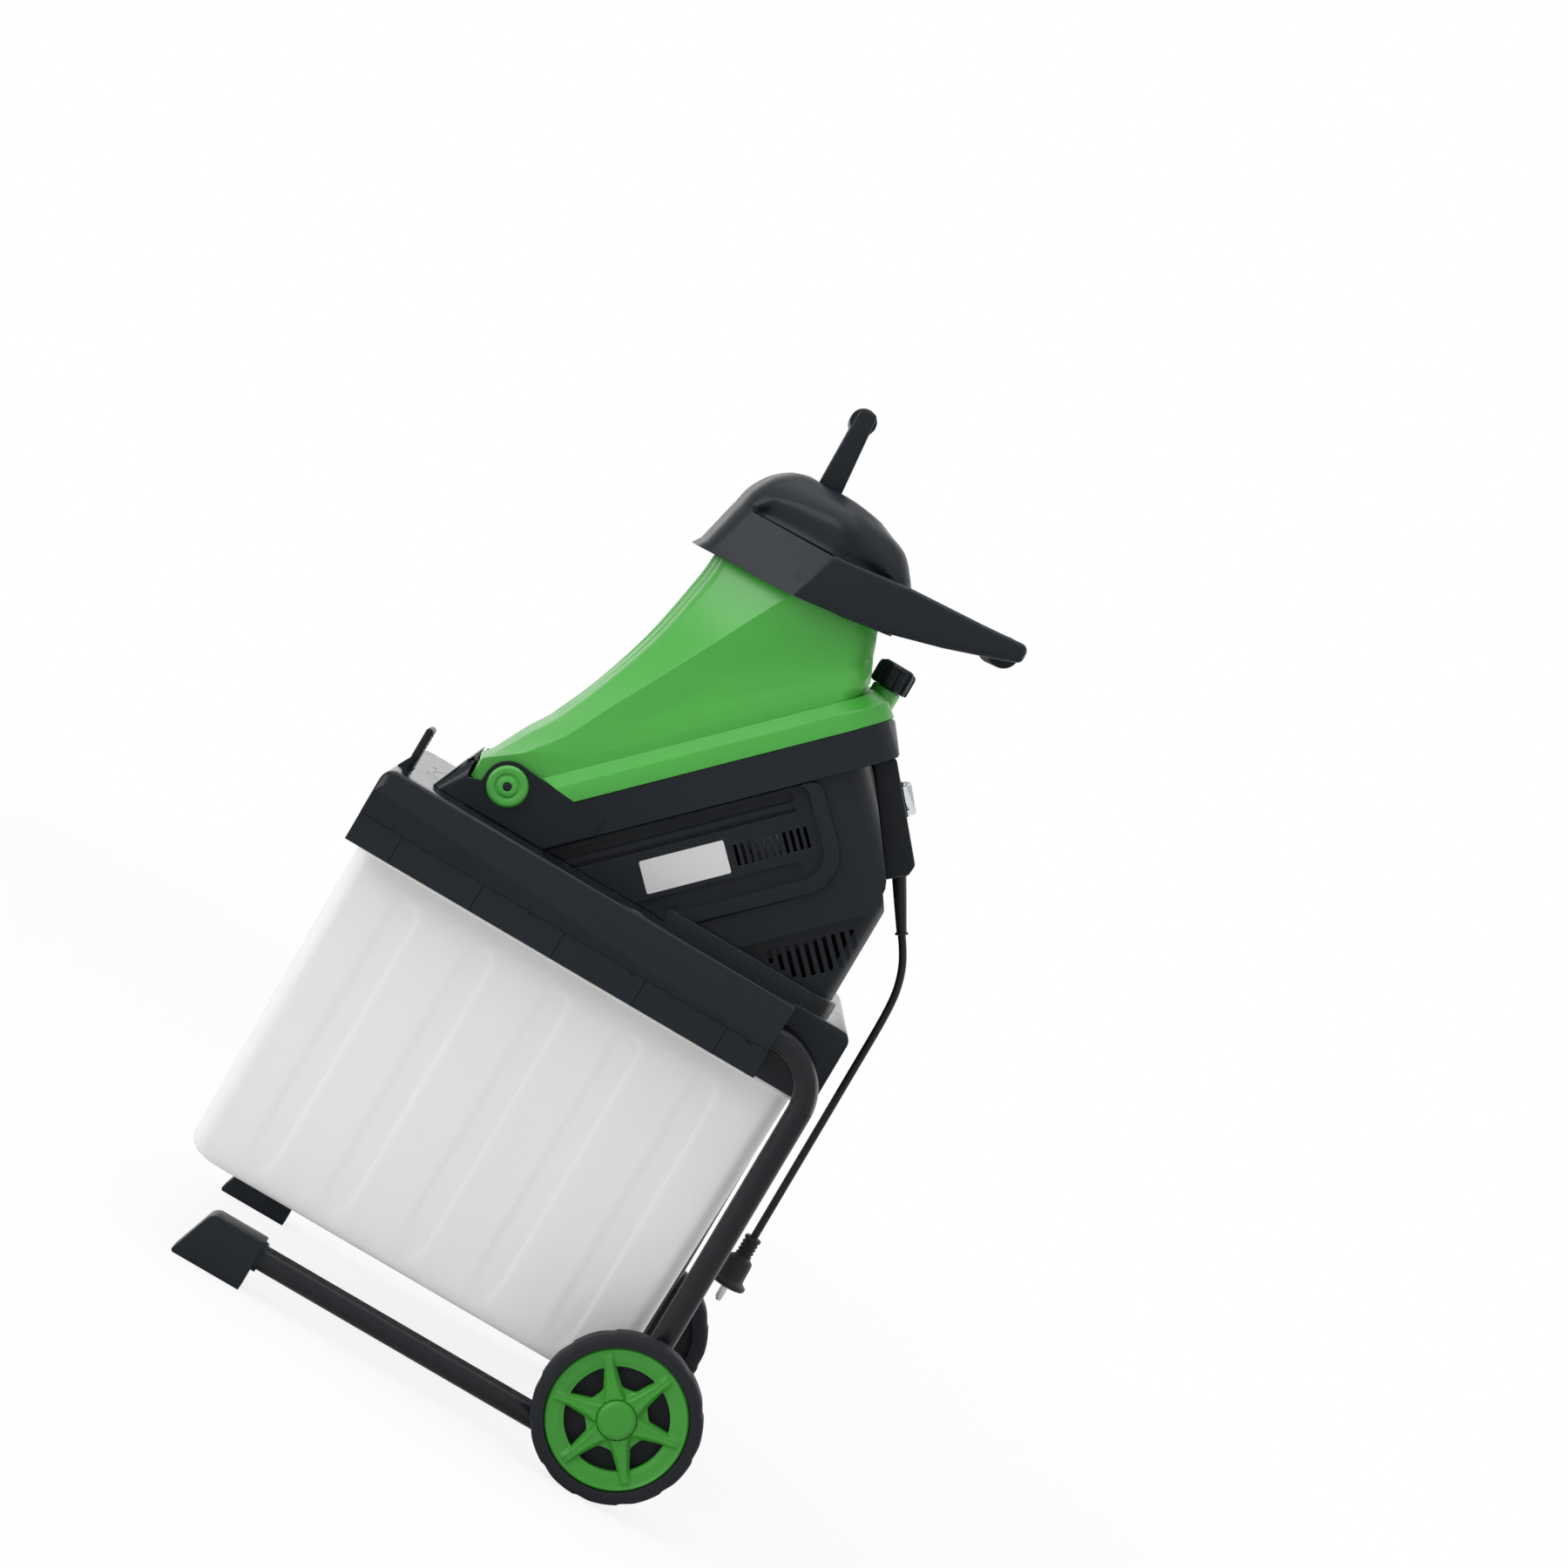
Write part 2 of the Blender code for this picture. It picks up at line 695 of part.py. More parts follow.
def running_gear():
    inner, outer = wheel_places()
    axle_half = inner + WHEEL_WIDTH - 0.0045 + GAP + 0.0036
    axle = rod("axle", (0, 0, WHEEL_RADIUS), (0, 1, 0), AXLE_RADIUS, -axle_half, axle_half, 20, 0.0005)
    pieces = {"axle": dress(axle, STEEL)}
    for word, side in SIDES:
        pieces["frame_tube_" + word] = frame_tube("frame_tube_" + word, side)
        pieces["foot_" + word] = foot("foot_" + word, side)
        spacer = pipe(
            "axle_spacer_" + word,
            (0.0, side * (TUBE_HALF_TRACK + TUBE_RADIUS + GAP), WHEEL_RADIUS),
            (0.0, side, 0.0),
            SPACER_RADIUS,
            AXLE_RADIUS + GAP,
            0.0,
            SPACER_LENGTH,
            20,
        )
        pieces["axle_spacer_" + word] = dress(spacer, STEEL)
        pieces["wheel_rim_" + word] = wheel_rim("wheel_rim_" + word, side)
        pieces["tyre_" + word] = tyre("tyre_" + word, side)
        pieces["hub_cap_" + word] = hub_cap("hub_cap_" + word, side)
        seat = (0.0, side * (inner + WHEEL_WIDTH - 0.0045 + GAP), WHEEL_RADIUS)
        nut = rod("axle_nut_" + word, seat, (0.0, side, 0.0), 0.0085, 0.0, 0.0033, 6)
        cut(nut, rod("thread", seat, (0.0, side, 0.0), AXLE_RADIUS + GAP, -0.01, 0.01, 16))
        pieces["axle_nut_" + word] = dress(nut, STEEL)
        hub = empty_at("wheel_axis_" + word, (0.0, side * (inner + outer) / 2, WHEEL_RADIUS))
        carry(hub, *(pieces[kind + word] for kind in ("wheel_rim_", "tyre_", "hub_cap_")))
    return pieces


# Tray, runners, bin and its lock


def runner_levels():
    """Heights in the side channel: top of the runner, underside of the tray's rail."""
    top = TOP_RUN_HEIGHT - TUBE_RADIUS - GAP
    return top, top + GAP


def base_tray():
    top, step = runner_levels()
    body_outline = rounded(
        (
            (TRAY_FRONT, step, 0.0),
            (TRAY_FRONT, TRAY_TOP, 0.012),
            (TRAY_REAR, TRAY_TOP, 0.010),
            (TRAY_REAR, TRAY_TAIL_BOTTOM, 0.004),
            (RAIL_REAR + GAP, TRAY_TAIL_BOTTOM, 0.0),
            (RAIL_REAR + GAP, step, 0.0),
        )
    )
    rail_outline = rounded(
        ((TRAY_FRONT, step, 0.0), (TRAY_FRONT, TRAY_TOP, 0.012), (RAIL_REAR, TRAY_TOP, 0.002), (RAIL_REAR, step, 0.0))
    )
    tray = prism_y("base_tray", body_outline, -BODY_HALF, BODY_HALF)
    join(tray, prism_y("rails", rail_outline, -RAIL_HALF, RAIL_HALF))
    deck = TRAY_TOP - TRAY_WALL
    inner = BODY_HALF - BODY_WALL
    low = TRAY_TAIL_BOTTOM - 0.02
    cut(tray, box("well", (TRAY_FRONT + RAIL_WALL, -inner, low), (TRAY_REAR - RAIL_WALL, inner, deck)))
    for side in (-1, 1):
        y0, y1 = sorted((side * (BODY_HALF + GAP), side * (RAIL_HALF - RAIL_WALL)))
        cut(tray, box("channel", (TRAY_FRONT + RAIL_WALL, y0, low), (RAIL_REAR + 0.05, y1, deck)))
        for x in (-0.440, -0.265, -0.095):
            rib = box("saddle", (x, y0 - 0.002, TOP_RUN_HEIGHT + TUBE_RADIUS + GAP), (x + 0.004, y1 + 0.002, deck + 0.002))
            join(tray, rib)
    plinth = rounded(
        (
            (PLINTH_FRONT, -PLINTH_HALF, 0.0),
            (CASING_REAR + 0.005, -PLINTH_HALF, 0.030),
            (CASING_REAR + 0.005, PLINTH_HALF, 0.030),
            (PLINTH_FRONT, PLINTH_HALF, 0.0),
        )
    )
    join(tray, prism_z("plinth", plinth, TRAY_TOP - 0.002, TRAY_TOP + PLINTH_HEIGHT))
    seat = TRAY_TOP + 0.00005
    cut(tray, prism_y("casing_seat", casing_outline(-GAP), -PANEL_HALF - GAP, PANEL_HALF + GAP))
    foot_seat = rectangle(PLINTH_FRONT - 0.01, CASING_REAR + GAP, -CASING_FOOT_HALF - GAP, CASING_FOOT_HALF + GAP)
    cut(tray, prism_z("foot_seat", foot_seat, seat, TRAY_TOP + 0.05))
    cut(tray, prism_z("chute", rectangle(CHUTE_FRONT, CHUTE_REAR, -CHUTE_HALF, CHUTE_HALF, 0.012), deck - 0.01, seat + 0.01))
    # Guide in front of the locking plate, and the slot that the plate slides in.
    guide = ((-0.4985, TRAY_TOP - 0.002), (LOCK_X, TRAY_TOP - 0.002), (LOCK_X, TRAY_TOP + 0.0125), (-0.4925, TRAY_TOP + 0.0095))
    join(tray, prism_y("guide", guide, LOCK_Y - LOCK_WIDTH / 2 - 0.003, LOCK_Y + LOCK_WIDTH / 2 + 0.003))
    slot_low = LOCK_Y - LOCK_WIDTH / 2 - SLIDE_GAP
    slot_high = LOCK_Y + LOCK_WIDTH / 2 + SLIDE_GAP
    slot_half = LOCK_THICK / 2 + SLIDE_GAP
    cut(tray, box("lock_slot", (LOCK_X - slot_half, slot_low, deck - 0.01), (LOCK_X + slot_half, slot_high, seat + 0.02)))
    return dress(tray, BLACK_PLASTIC)


def bin_runner(name, side):
    """C-shaped rail under the tray's edge: the bin's rim slides on its ledge."""
    top, step = runner_levels()
    outer = RAIL_HALF - RUNNER_INSET
    wall = outer - RAIL_WALL
    ledge = BODY_HALF
    ledge_low = BIN_LIP_HIGH + 0.004
    section = (
        (BODY_HALF - 0.014, top),
        (outer, top),
        (outer, RUNNER_BOTTOM),
        (wall, RUNNER_BOTTOM),
        (wall, ledge_low),
        (ledge, ledge_low),
        (ledge, ledge_low + LEDGE_THICK),
        (wall, ledge_low + LEDGE_THICK),
        (wall, top - RUNNER_WEB),
        (BODY_HALF - 0.014, top - RUNNER_WEB),
    )
    outline = [(side * y, z) for y, z in section]
    runner = prism_x(name, outline, TRAY_FRONT + 0.0005, RAIL_REAR)
    pitch = 0.0893
    for index in range(5):
        x = RAIL_REAR - 0.0465 - index * pitch
        y0, y1 = sorted((side * (outer - 0.0012), side * (outer + 0.002)))
        cut(runner, box("slit", (x, y0, RUNNER_BOTTOM - 0.002), (x + 0.0008, y1, top + 0.002)))
    return dress(runner, BLACK_PLASTIC)


def bin_ring(z, reach, wall):
    """One level of the bin, drawn in by the wall and pushed out by reach, with its flutes."""
    share = (z - BIN_BOTTOM) / (BIN_LIP_LOW - BIN_BOTTOM)
    share = min(max(share, 0.0), 1.0)
    front = BIN_FRONT_LOW + (BIN_FRONT_TOP - BIN_FRONT_LOW) * share - reach + wall
    rear = BIN_REAR_LOW + (BIN_REAR_TOP - BIN_REAR_LOW) * share + reach - wall
    half = BIN_HALF_LOW + (BIN_HALF_TOP - BIN_HALF_LOW) * share + reach - wall
    corner = max(BIN_CORNER - wall, 0.004)
    samples = [front + corner]
    for centre in FLUTE_CENTRES:
        for place in (-1.0, -0.5, 0.5, 1.0):
            samples.append(centre + place * FLUTE_HALF)
    samples += [BIN_RIM_REAR - 0.0010, BIN_RIM_REAR]
    samples = [min(max(x, front + corner + 0.0005), rear - corner - 0.0005) for x in samples[1:]]
    near = [(x, -half + flute_depth(x, z)) for x in samples]
    turn = [(rear - corner + corner * math.sin(a), -half + corner - corner * math.cos(a)) for a in quarter(2)]
    head = [(front + corner - corner * math.cos(a), -half + corner - corner * math.sin(a)) for a in quarter(2)]
    half_ring = head + near + turn
    ring = [(x, y, z) for x, y in half_ring]
    ring += [(x, -y, z) for x, y in reversed(half_ring)]
    return ring


def quarter(steps):
    return [math.pi / 2 * i / steps for i in range(steps + 1)]


def flute_depth(x, z):
    """How far a flute draws the side wall in at a point: an arch, deepest along its middle."""
    nearest = min(FLUTE_CENTRES, key=lambda centre: abs(centre - x))
    across = (x - nearest) / FLUTE_HALF
    above = max(0.0, z - (FLUTE_TOP - FLUTE_HALF)) / FLUTE_HALF
    below = max(0.0, BIN_BOTTOM + 0.045 - z) / 0.030
    inside = 1.0 - across * across - above * above - below * below
    return FLUTE_DEPTH * math.sqrt(max(0.0, inside))


def collection_bin():
    top, step = runner_levels()
    rim_low = BIN_LIP_HIGH + 0.004 + LEDGE_THICK + GAP
    rim_high = rim_low + BIN_RIM_THICK
    base = BIN_BOTTOM
    walls = (0.128, FLUTE_TOP - FLUTE_HALF, FLUTE_TOP - 0.010, FLUTE_TOP)
    outer = [(base, -0.018), (base + 0.004, -0.006), (base + 0.018, 0.0)]
    outer += [(z, 0.0) for z in walls]
    outer += [(BIN_LIP_LOW, 0.0), (BIN_LIP_LOW + 0.0005, BIN_LIP), (BIN_LIP_HIGH, BIN_LIP)]
    outer += [(BIN_LIP_HIGH + 0.0005, 0.0), (rim_low, 0.0)]
    rings = [bin_ring(z, reach, 0.0) for z, reach in outer]
    rings += [rim_ring(rim_low + 0.00001), rim_ring(rim_high)]
    inner = [(z, 0.0) for z in (rim_high, BIN_LIP_LOW)]
    inner += [(FLUTE_TOP, 0.0), (FLUTE_TOP - FLUTE_HALF, 0.0), (walls[0], 0.0)]
    inner += [(base + 0.018, 0.0), (base + BIN_WALL, -0.014)]
    rings += [bin_ring(z, reach, BIN_WALL) for z, reach in inner]
    return dress(loft("collection_bin", rings), BIN_WHITE, edge=50)


def rim_ring(z):
    """The rim stands out on both sides only, along the runners that hold it."""
    ring = bin_ring(z, 0.0, 0.0)
    wide = BIN_HALF_TOP + BIN_RIM_REACH
    limit = BIN_HALF_TOP - 0.004
    return [(x, math.copysign(wide, y) if abs(y) > limit and x < BIN_RIM_REAR else y, z) for x, y, z in ring]


def bin_lock():
    """Plate that slides down through the tray, so that its tooth drops in front of the bin."""
    front, rear = LOCK_X - LOCK_THICK / 2, LOCK_X + LOCK_THICK / 2
    plate_low = TRAY_TOP - 0.0260
    outline = rounded(
        (
            (front, plate_low, 0.0),
            (rear, plate_low, 0.0),
            (rear, LOCK_TOP, 0.0030),
            (front, LOCK_TOP, 0.0030),
        ),
        3,
    )
    plate = prism_y("bin_lock", outline, LOCK_Y - LOCK_WIDTH / 2, LOCK_Y + LOCK_WIDTH / 2)
    tooth_front = TRAY_FRONT + RAIL_WALL + SLIDE_GAP
    tooth_rear = tooth_front + TOOTH_THICK
    tooth_low = BIN_LIP_HIGH + 0.004 + LEDGE_THICK + GAP + BIN_RIM_THICK + 0.004
    tooth = (
        (rear - 0.001, plate_low + 0.0060),
        (tooth_front, plate_low + 0.0060),
        (tooth_front, tooth_low),
        (tooth_rear, tooth_low),
        (tooth_rear, plate_low + 0.0005),
        (rear - 0.001, plate_low + 0.0005),
    )
    join(plate, prism_y("tooth", tooth, LOCK_Y - TOOTH_WIDTH / 2, LOCK_Y + TOOTH_WIDTH / 2))
    return dress(plate, BLACK_PLASTIC)


def lower_works():
    pieces = {"base_tray": base_tray(), "collection_bin": collection_bin(), "bin_lock": bin_lock()}
    for word, side in SIDES:
        pieces["bin_runner_" + word] = bin_runner("bin_runner_" + word, side)
    return pieces


# Cutter housing and motor casing


def unit_plan(half, rear, radius, front=-0.02, steps=5):
    """(u, y) outline of the sloping unit, square in front and rounded behind."""
    return rounded(((front, -half, 0.0), (rear, -half, radius), (rear, half, radius), (front, half, 0.0)), steps)


def ear_outline(grow=0.0):
    """The ear beside the hopper's hinge, from the tray up round the pivot to the notch."""
    crown = arc((PIVOT_X, PIVOT_Z), EAR_RADIUS + grow, 172, 82, 6)
    notch = (-0.3335, above(0.0552) + grow)
    front = PIVOT_X - EAR_RADIUS - grow
    return [(front - 0.0045, TRAY_TOP - 0.02)] + crown + [notch, (-0.30 + grow, above(0.0552)), (-0.30 + grow, TRAY_TOP - 0.02)]


def cutter_housing():
    floor = TRAY_TOP + GAP
    rear_top = slope(UNIT_REAR, -GAP)
    rear_low = slope(UNIT_REAR - 0.0055, -BAND_DEPTH + GAP)
    toe = (floor - SLOPE_Z + (-BAND_DEPTH + GAP) * -math.sqrt(2) + SLOPE_X)
    profile = [(-0.4585, floor), (-0.4428, above(0.0395)), (-0.4300, above(0.0395))]
    profile += [slope(0.1310, -GAP), rear_top, rear_low, (toe, floor)]
    housing = prism_y("cutter_housing", profile, -UNIT_HALF, UNIT_HALF)
    common(housing, prism_n("plan", unit_plan(UNIT_HALF + 0.001, UNIT_REAR + 0.0001, UNIT_CORNER, -0.2), -0.40, 0.20))
    nose_plan = rounded(((-0.4600, -0.131, 0.050), (0.10, -0.131, 0.0), (0.10, 0.131, 0.0), (-0.4600, 0.131, 0.050)), 5)
    common(housing, prism_z("nose_plan", nose_plan, above(-0.10), above(0.40)))
    # Room for the hopper's front lip between the ears.
    inside = UNIT_HALF - EAR_THICK
    room = arc((PIVOT_X, PIVOT_Z), LIP_RADIUS + NOSE_CLEARANCE, 60, 330, 18)
    cut(housing, prism_y("lip_room", room, -inside, inside))
    for side in (-1, 1):
        ear = side_prism("ear", ear_outline(), side, inside + GAP, UNIT_HALF + EAR_PROUD)
        low = floor + 0.0008
        cut(ear, prism_y("below", [(-0.50, low - 0.1), (-0.2, low - 0.1), (-0.2, low), (-0.50, low)], -0.2, 0.2))
        back = -BAND_DEPTH + 0.0015
        behind = sloped(((0.0, -0.40), (0.60, -0.40), (0.60, back), (0.0, back)))
        cut(ear, prism_y("behind", behind, -0.2, 0.2))
        cut(ear, prism_y("above", sloped(((0.1590, -0.002), (0.40, -0.002), (0.40, 0.20), (0.1590, 0.20))), -0.2, 0.2))
        join(housing, ear)
    # Round chamber for the blade disc, and the chute from it down to the tray.
    x, z = slope(DISC_CENTRE, 0.0)
    axis = slope_axis()
    cut(housing, rod("chamber", (x, 0, z), axis, CHAMBER_RADIUS, -CHAMBER_DEPTH, 0.02, 32))
    lower_lip = slope(0.252, -CHAMBER_DEPTH + 0.0001)
    upper_lip = slope(0.252, 0.02)
    chute = [
        (CHUTE_FRONT, floor - 0.02),
        (CHUTE_REAR, floor - 0.02),
        (CHUTE_REAR, floor + 0.004),
        lower_lip,
        upper_lip,
        (PIVOT_X, PIVOT_Z + 0.03),
        (PIVOT_X - 0.02, PIVOT_Z),
    ]
    cut(housing, prism_y("chute", chute, -CHUTE_HALF, CHUTE_HALF))
    # Seat for the upper motor bearing under the floor, and the shaft's way through it.
    boss = rod("boss", (x, 0, z), axis, BEARING_RADIUS + 0.005, -0.0485, -CHAMBER_DEPTH - 0.001, 20)
    join(housing, boss)
    cut(housing, rod("seat", (x, 0, z), axis, BEARING_RADIUS + GAP, -0.0600, -0.0385, 20))
    cut(housing, rod("way", (x, 0, z), axis, SHAFT_RADIUS + 0.003, -0.05, 0.0, 16))
    # Open slot for the locking screw: it leaves forwards and up as the hopper swings.
    reach = STUD_RADIUS + 0.0006
    low = STUD_LOW - 0.001
    slot = [
        (KNOB_X - reach, low),
        (KNOB_X + reach, low),
        (KNOB_X + reach, low + 0.0655),
        (KNOB_X - reach - 0.0688, low + 0.0655),
    ]
    cut(housing, prism_y("stud_slot", slot, -reach, reach))
    for side in (-1, 1):
        hole = rod("pin_hole", (PIVOT_X, 0, PIVOT_Z), (0, side, 0), PIN_RADIUS + TURN_GAP, 0.11, 0.14, 24)
        cut(housing, hole)
    return dress(housing, BLACK_PLASTIC)


def slope_axis():
    root = math.sqrt(0.5)
    return (-root, 0.0, root)


def casing_outline(grow=0.0):
    """(x, z) outline of the motor body, from the tray up the slope and round to its end."""
    floor = TRAY_TOP + GAP + grow
    top = -BAND_DEPTH - grow
    toe = floor - SLOPE_Z - top * math.sqrt(2) + SLOPE_X
    end = MOTOR_END + grow
    heel = floor - SLOPE_Z - end * math.sqrt(2) + SLOPE_X
    return [
        (toe, floor),
        slope(0.4485, top),
        on_box(0.0, -GAP),
        on_box(BOX_LENGTH - 0.004, box_back(BOX_LENGTH - 0.004) - GAP),
        (-0.0300, above(0.1355)),
        slope(0.4150, end),
        (heel, floor),
    ]


def motor_casing():
    profile = casing_outline()
    casing = prism_y("motor_casing", profile, -CASING_HALF, CASING_HALF)
    plan = unit_plan(CASING_HALF + 0.0001, 0.4486, 0.045, 0.0)
    common(casing, prism_n("plan", plan, -0.30, 0.05))
    panel = rounded_slope(
        ((0.060, -BAND_DEPTH, 0.0), (RIDGE_OUTER, -BAND_DEPTH, 0.012), (RIDGE_OUTER, RIDGE_LOW, 0.040), (0.060, RIDGE_LOW, 0.0))
    )
    raised = prism_y("panel", panel, -PANEL_HALF, PANEL_HALF)
    floor = TRAY_TOP + GAP
    cut(raised, prism_y("below", [(-0.60, floor - 0.2), (0.1, floor - 0.2), (0.1, floor), (-0.60, floor)], -0.2, 0.2))
    join(casing, raised)
    foot_profile = rounded(
        (
            (PLINTH_FRONT + 0.03, floor, 0.0),
            (PLINTH_FRONT + 0.03, above(0.0555), 0.0),
            (-0.060, above(0.1355), 0.0),
            (-0.0290, above(0.1295), 0.0),
            (CASING_REAR, CASING_SHOULDER - 0.004, 0.010),
            (CASING_REAR, floor, 0.0),
        )
    )
    foot_body = prism_y("foot_body", foot_profile, -CASING_FOOT_HALF, CASING_FOOT_HALF)
    foot_plan = rounded(
        (
            (-0.30, -CASING_FOOT_HALF - 0.001, 0.0),
            (CASING_REAR + 0.0001, -CASING_FOOT_HALF - 0.001, CASING_FOOT_CORNER),
            (CASING_REAR + 0.0001, CASING_FOOT_HALF + 0.001, CASING_FOOT_CORNER),
            (-0.30, CASING_FOOT_HALF + 0.001, 0.0),
        )
    )
    common(foot_body, prism_z("foot_plan", foot_plan, floor - 0.1, floor + 0.2))
    join(casing, foot_body)
    recess = rounded_slope(
        (
            (0.060, -BAND_DEPTH - 0.0015, 0.0),
            (RIDGE_OUTER - RIDGE_WIDTH, -BAND_DEPTH - 0.0015, 0.010),
            (RIDGE_OUTER - RIDGE_WIDTH, RIDGE_LOW + RIDGE_WIDTH, 0.026),
            (0.060, RIDGE_LOW + RIDGE_WIDTH, 0.0),
        )
    )
    for side in (-1, 1):
        cut(casing, side_prism("recess", recess, side, RECESS_HALF, 0.14))
        trough = rounded_slope(((0.06, -0.1105, 0.0), (0.3590, -0.1105, 0.0078), (0.3590, -0.1265, 0.0078), (0.06, -0.1265, 0.0)))
        cut(casing, side_prism("trough", trough, side, RECESS_HALF - 0.0035, 0.14))
        for n in (-0.0500, -0.0640):
            groove = rounded_slope(((0.06, n, 0.0), (0.366, n, 0.0022), (0.366, n - 0.005, 0.0022), (0.06, n - 0.005, 0.0)))
            cut(casing, side_prism("groove", groove, side, RECESS_HALF - 0.003, 0.14))
    # Hollow for the motor, open to the cutter housing, and one under the rear foot.
    hollow = [
        slope(0.175, -BAND_DEPTH + 0.02),
        slope(0.4430, -BAND_DEPTH + 0.02),
        on_box(0.010, box_back(0.010) - GAP - CASING_WALL),
        on_box(BOX_LENGTH - 0.014, box_back(BOX_LENGTH - 0.014) - GAP - CASING_WALL),
        slope(0.4090, MOTOR_END + CASING_WALL),
        slope(0.2600, MOTOR_END + CASING_WALL),
        slope(0.175, -0.095),
    ]
    room = prism_y("room", hollow, -RECESS_HALF + 0.0075, RECESS_HALF - 0.0075)
    common(room, prism_n("room_plan", unit_plan(RECESS_HALF - 0.0074, 0.4440, 0.034, 0.0), -0.30, 0.05))
    cut(casing, room)
    under = [(PLINTH_FRONT + 0.075, floor - 0.0248), (CASING_REAR - CASING_WALL, floor - 0.0248)]
    under += [(CASING_REAR - CASING_WALL, floor + 0.0952), (-0.040, floor + 0.0852)]
    inner = CASING_FOOT_HALF - CASING_WALL
    under_room = prism_y("under_room", under, -inner, inner)
    inner_rear = CASING_REAR - CASING_WALL
    inner_corner = CASING_FOOT_CORNER - CASING_WALL
    under_plan = rounded(
        (
            (-0.30, -inner, 0.0),
            (inner_rear + 0.0001, -inner, inner_corner),
            (inner_rear + 0.0001, inner, inner_corner),
            (-0.30, inner, 0.0),
        )
    )
    common(under_room, prism_z("under_plan", under_plan, floor - 0.1, floor + 0.2))
    cut(casing, under_room)
    for side in (-1, 1):
        for index in range(SIDE_VENTS):
            u = 0.2985 + index * 0.0070
            low, high = -0.1005, -0.0795
            vent = sloped(((u, low), (u + 0.003, low), (u + 0.003, high), (u, high)))
            cut(casing, side_prism("vent", vent, side, RECESS_HALF - 0.010, 0.14))
        for index in range(FOOT_VENTS):
            u = 0.3040 + index * 0.0092
            low, high = -0.2150 + 0.002 * index, -0.1880
            vent = sloped(((u, low), (u + 0.004, low), (u + 0.004, high), (u, high)))
            depth = CASING_FOOT_HALF - 0.003
            cut(casing, side_prism("foot_vent", vent, side, depth, 0.14))
    return dress(casing, BLACK_PLASTIC)


def rounded_slope(corners, steps=4):
    return [slope(point.x, point.y) for point in rounded(corners, steps)]


def side_prism(name, outline, side, inner, outer):
    low, high = sorted((side * inner, side * outer))
    return prism_y(name, outline, low, high)


# Motor and cutter


def on_axis(name, profile, steps=16, closed=False):
    """A turned piece on the motor's axis; heights in the profile are n values."""
    x, z = slope(DISC_CENTRE, 0.0)
    return lathe(name, profile, (x, 0.0, z), slope_axis(), steps, closed)


def motor():
    bore = STATOR_TOP - STATOR_LENGTH
    wall = 0.003
    inner = MOTOR_FRAME_RADIUS - wall
    seat = BEARING_RADIUS + GAP
    top = -BAND_DEPTH - 2 * GAP
    frame = on_axis(
        "motor_frame",
        (
            (inner, top),
            (inner, bore),
            (inner - 0.004, bore - 0.001),
            (inner - 0.004, MOTOR_FRAME_END + 0.006),
            (seat, MOTOR_FRAME_END + 0.006),
            (seat, MOTOR_FRAME_END + 0.0015),
            (BEARING_RADIUS - 0.003, MOTOR_FRAME_END + 0.0015),
            (BEARING_RADIUS - 0.003, MOTOR_FRAME_END - 0.003),
            (MOTOR_FRAME_RADIUS - 0.004, MOTOR_FRAME_END - 0.001),
            (MOTOR_FRAME_RADIUS, MOTOR_FRAME_END + 0.006),
            (MOTOR_FRAME_RADIUS, top - 0.006),
            (MOTOR_FRAME_RADIUS + 0.007, top - 0.004),
            (MOTOR_FRAME_RADIUS + 0.007, top),
        ),
        closed=True,
    )
    x, z = slope(DISC_CENTRE, 0.0)
    for index in range(4):
        angle = (index + 0.5) * math.pi / 2
        outline = [(0.030, -0.004), (0.043, -0.004), (0.043, 0.004), (0.030, 0.004)]
        window = turned_block("window", outline, angle, MOTOR_FRAME_END - 0.01, MOTOR_FRAME_END + 0.012)
        cut(frame, window)
    stator = pipe(
        "motor_stator", (x, 0, z), slope_axis(), inner - GAP, ARMATURE_RADIUS + 0.0012, bore + GAP, STATOR_TOP, 16
    )
    shaft = on_axis(
        "rotor_shaft",
        (
            (0.0, DISC_TOP - 0.013),
            (0.0033, DISC_TOP - 0.012),
            (0.0033, DISC_TOP - 0.0005),
            (SHAFT_RADIUS, DISC_TOP - 0.0005),
            (SHAFT_RADIUS, STATOR_TOP + 0.0025),
            (ARMATURE_RADIUS, STATOR_TOP),
            (ARMATURE_RADIUS, bore + 0.002),
            (0.0150, bore + 0.001),
            (0.0150, bore - 0.006),
            (SHAFT_RADIUS, bore - 0.007),
            (SHAFT_RADIUS, SHAFT_END),
            (0.0, SHAFT_END),
        ),
    )
    upper = on_axis("bearing_upper", bearing_section(-0.0385 - GAP - BEARING_WIDTH), closed=True)
    lower = on_axis("bearing_lower", bearing_section(MOTOR_FRAME_END + 0.0015 + GAP), closed=True)
    return {
        "motor_frame": dress(frame, STEEL),
        "motor_stator": dress(stator, COPPER),
        "rotor_shaft": dress(shaft, STEEL, origin=(x, 0, z)),
        "bearing_upper": dress(upper, STEEL),
        "bearing_lower": dress(lower, STEEL),
    }


def bearing_section(low):
    bore = SHAFT_RADIUS + TURN_GAP
    high = low + BEARING_WIDTH
    return ((bore, low), (BEARING_RADIUS, low), (BEARING_RADIUS, high), (bore, high))


def turned_block(name, outline, angle, low, high):
    """A prism on the motor's axis: the (radial, tangential) outline turned by an angle."""
    x, z = slope(DISC_CENTRE, 0.0)
    normal = Vector(slope_axis())
    across = Vector((0.0, 1.0, 0.0))
    along = across.cross(normal)
    rings = []
    for n in (low, high):
        ring = []
        for r, t in outline:
            place = along * (r * math.cos(angle) - t * math.sin(angle))
            place += across * (r * math.sin(angle) + t * math.cos(angle))
            ring.append(Vector((x, 0.0, z)) + place + normal * n)
        rings.append(ring)
    return loft(name, rings)


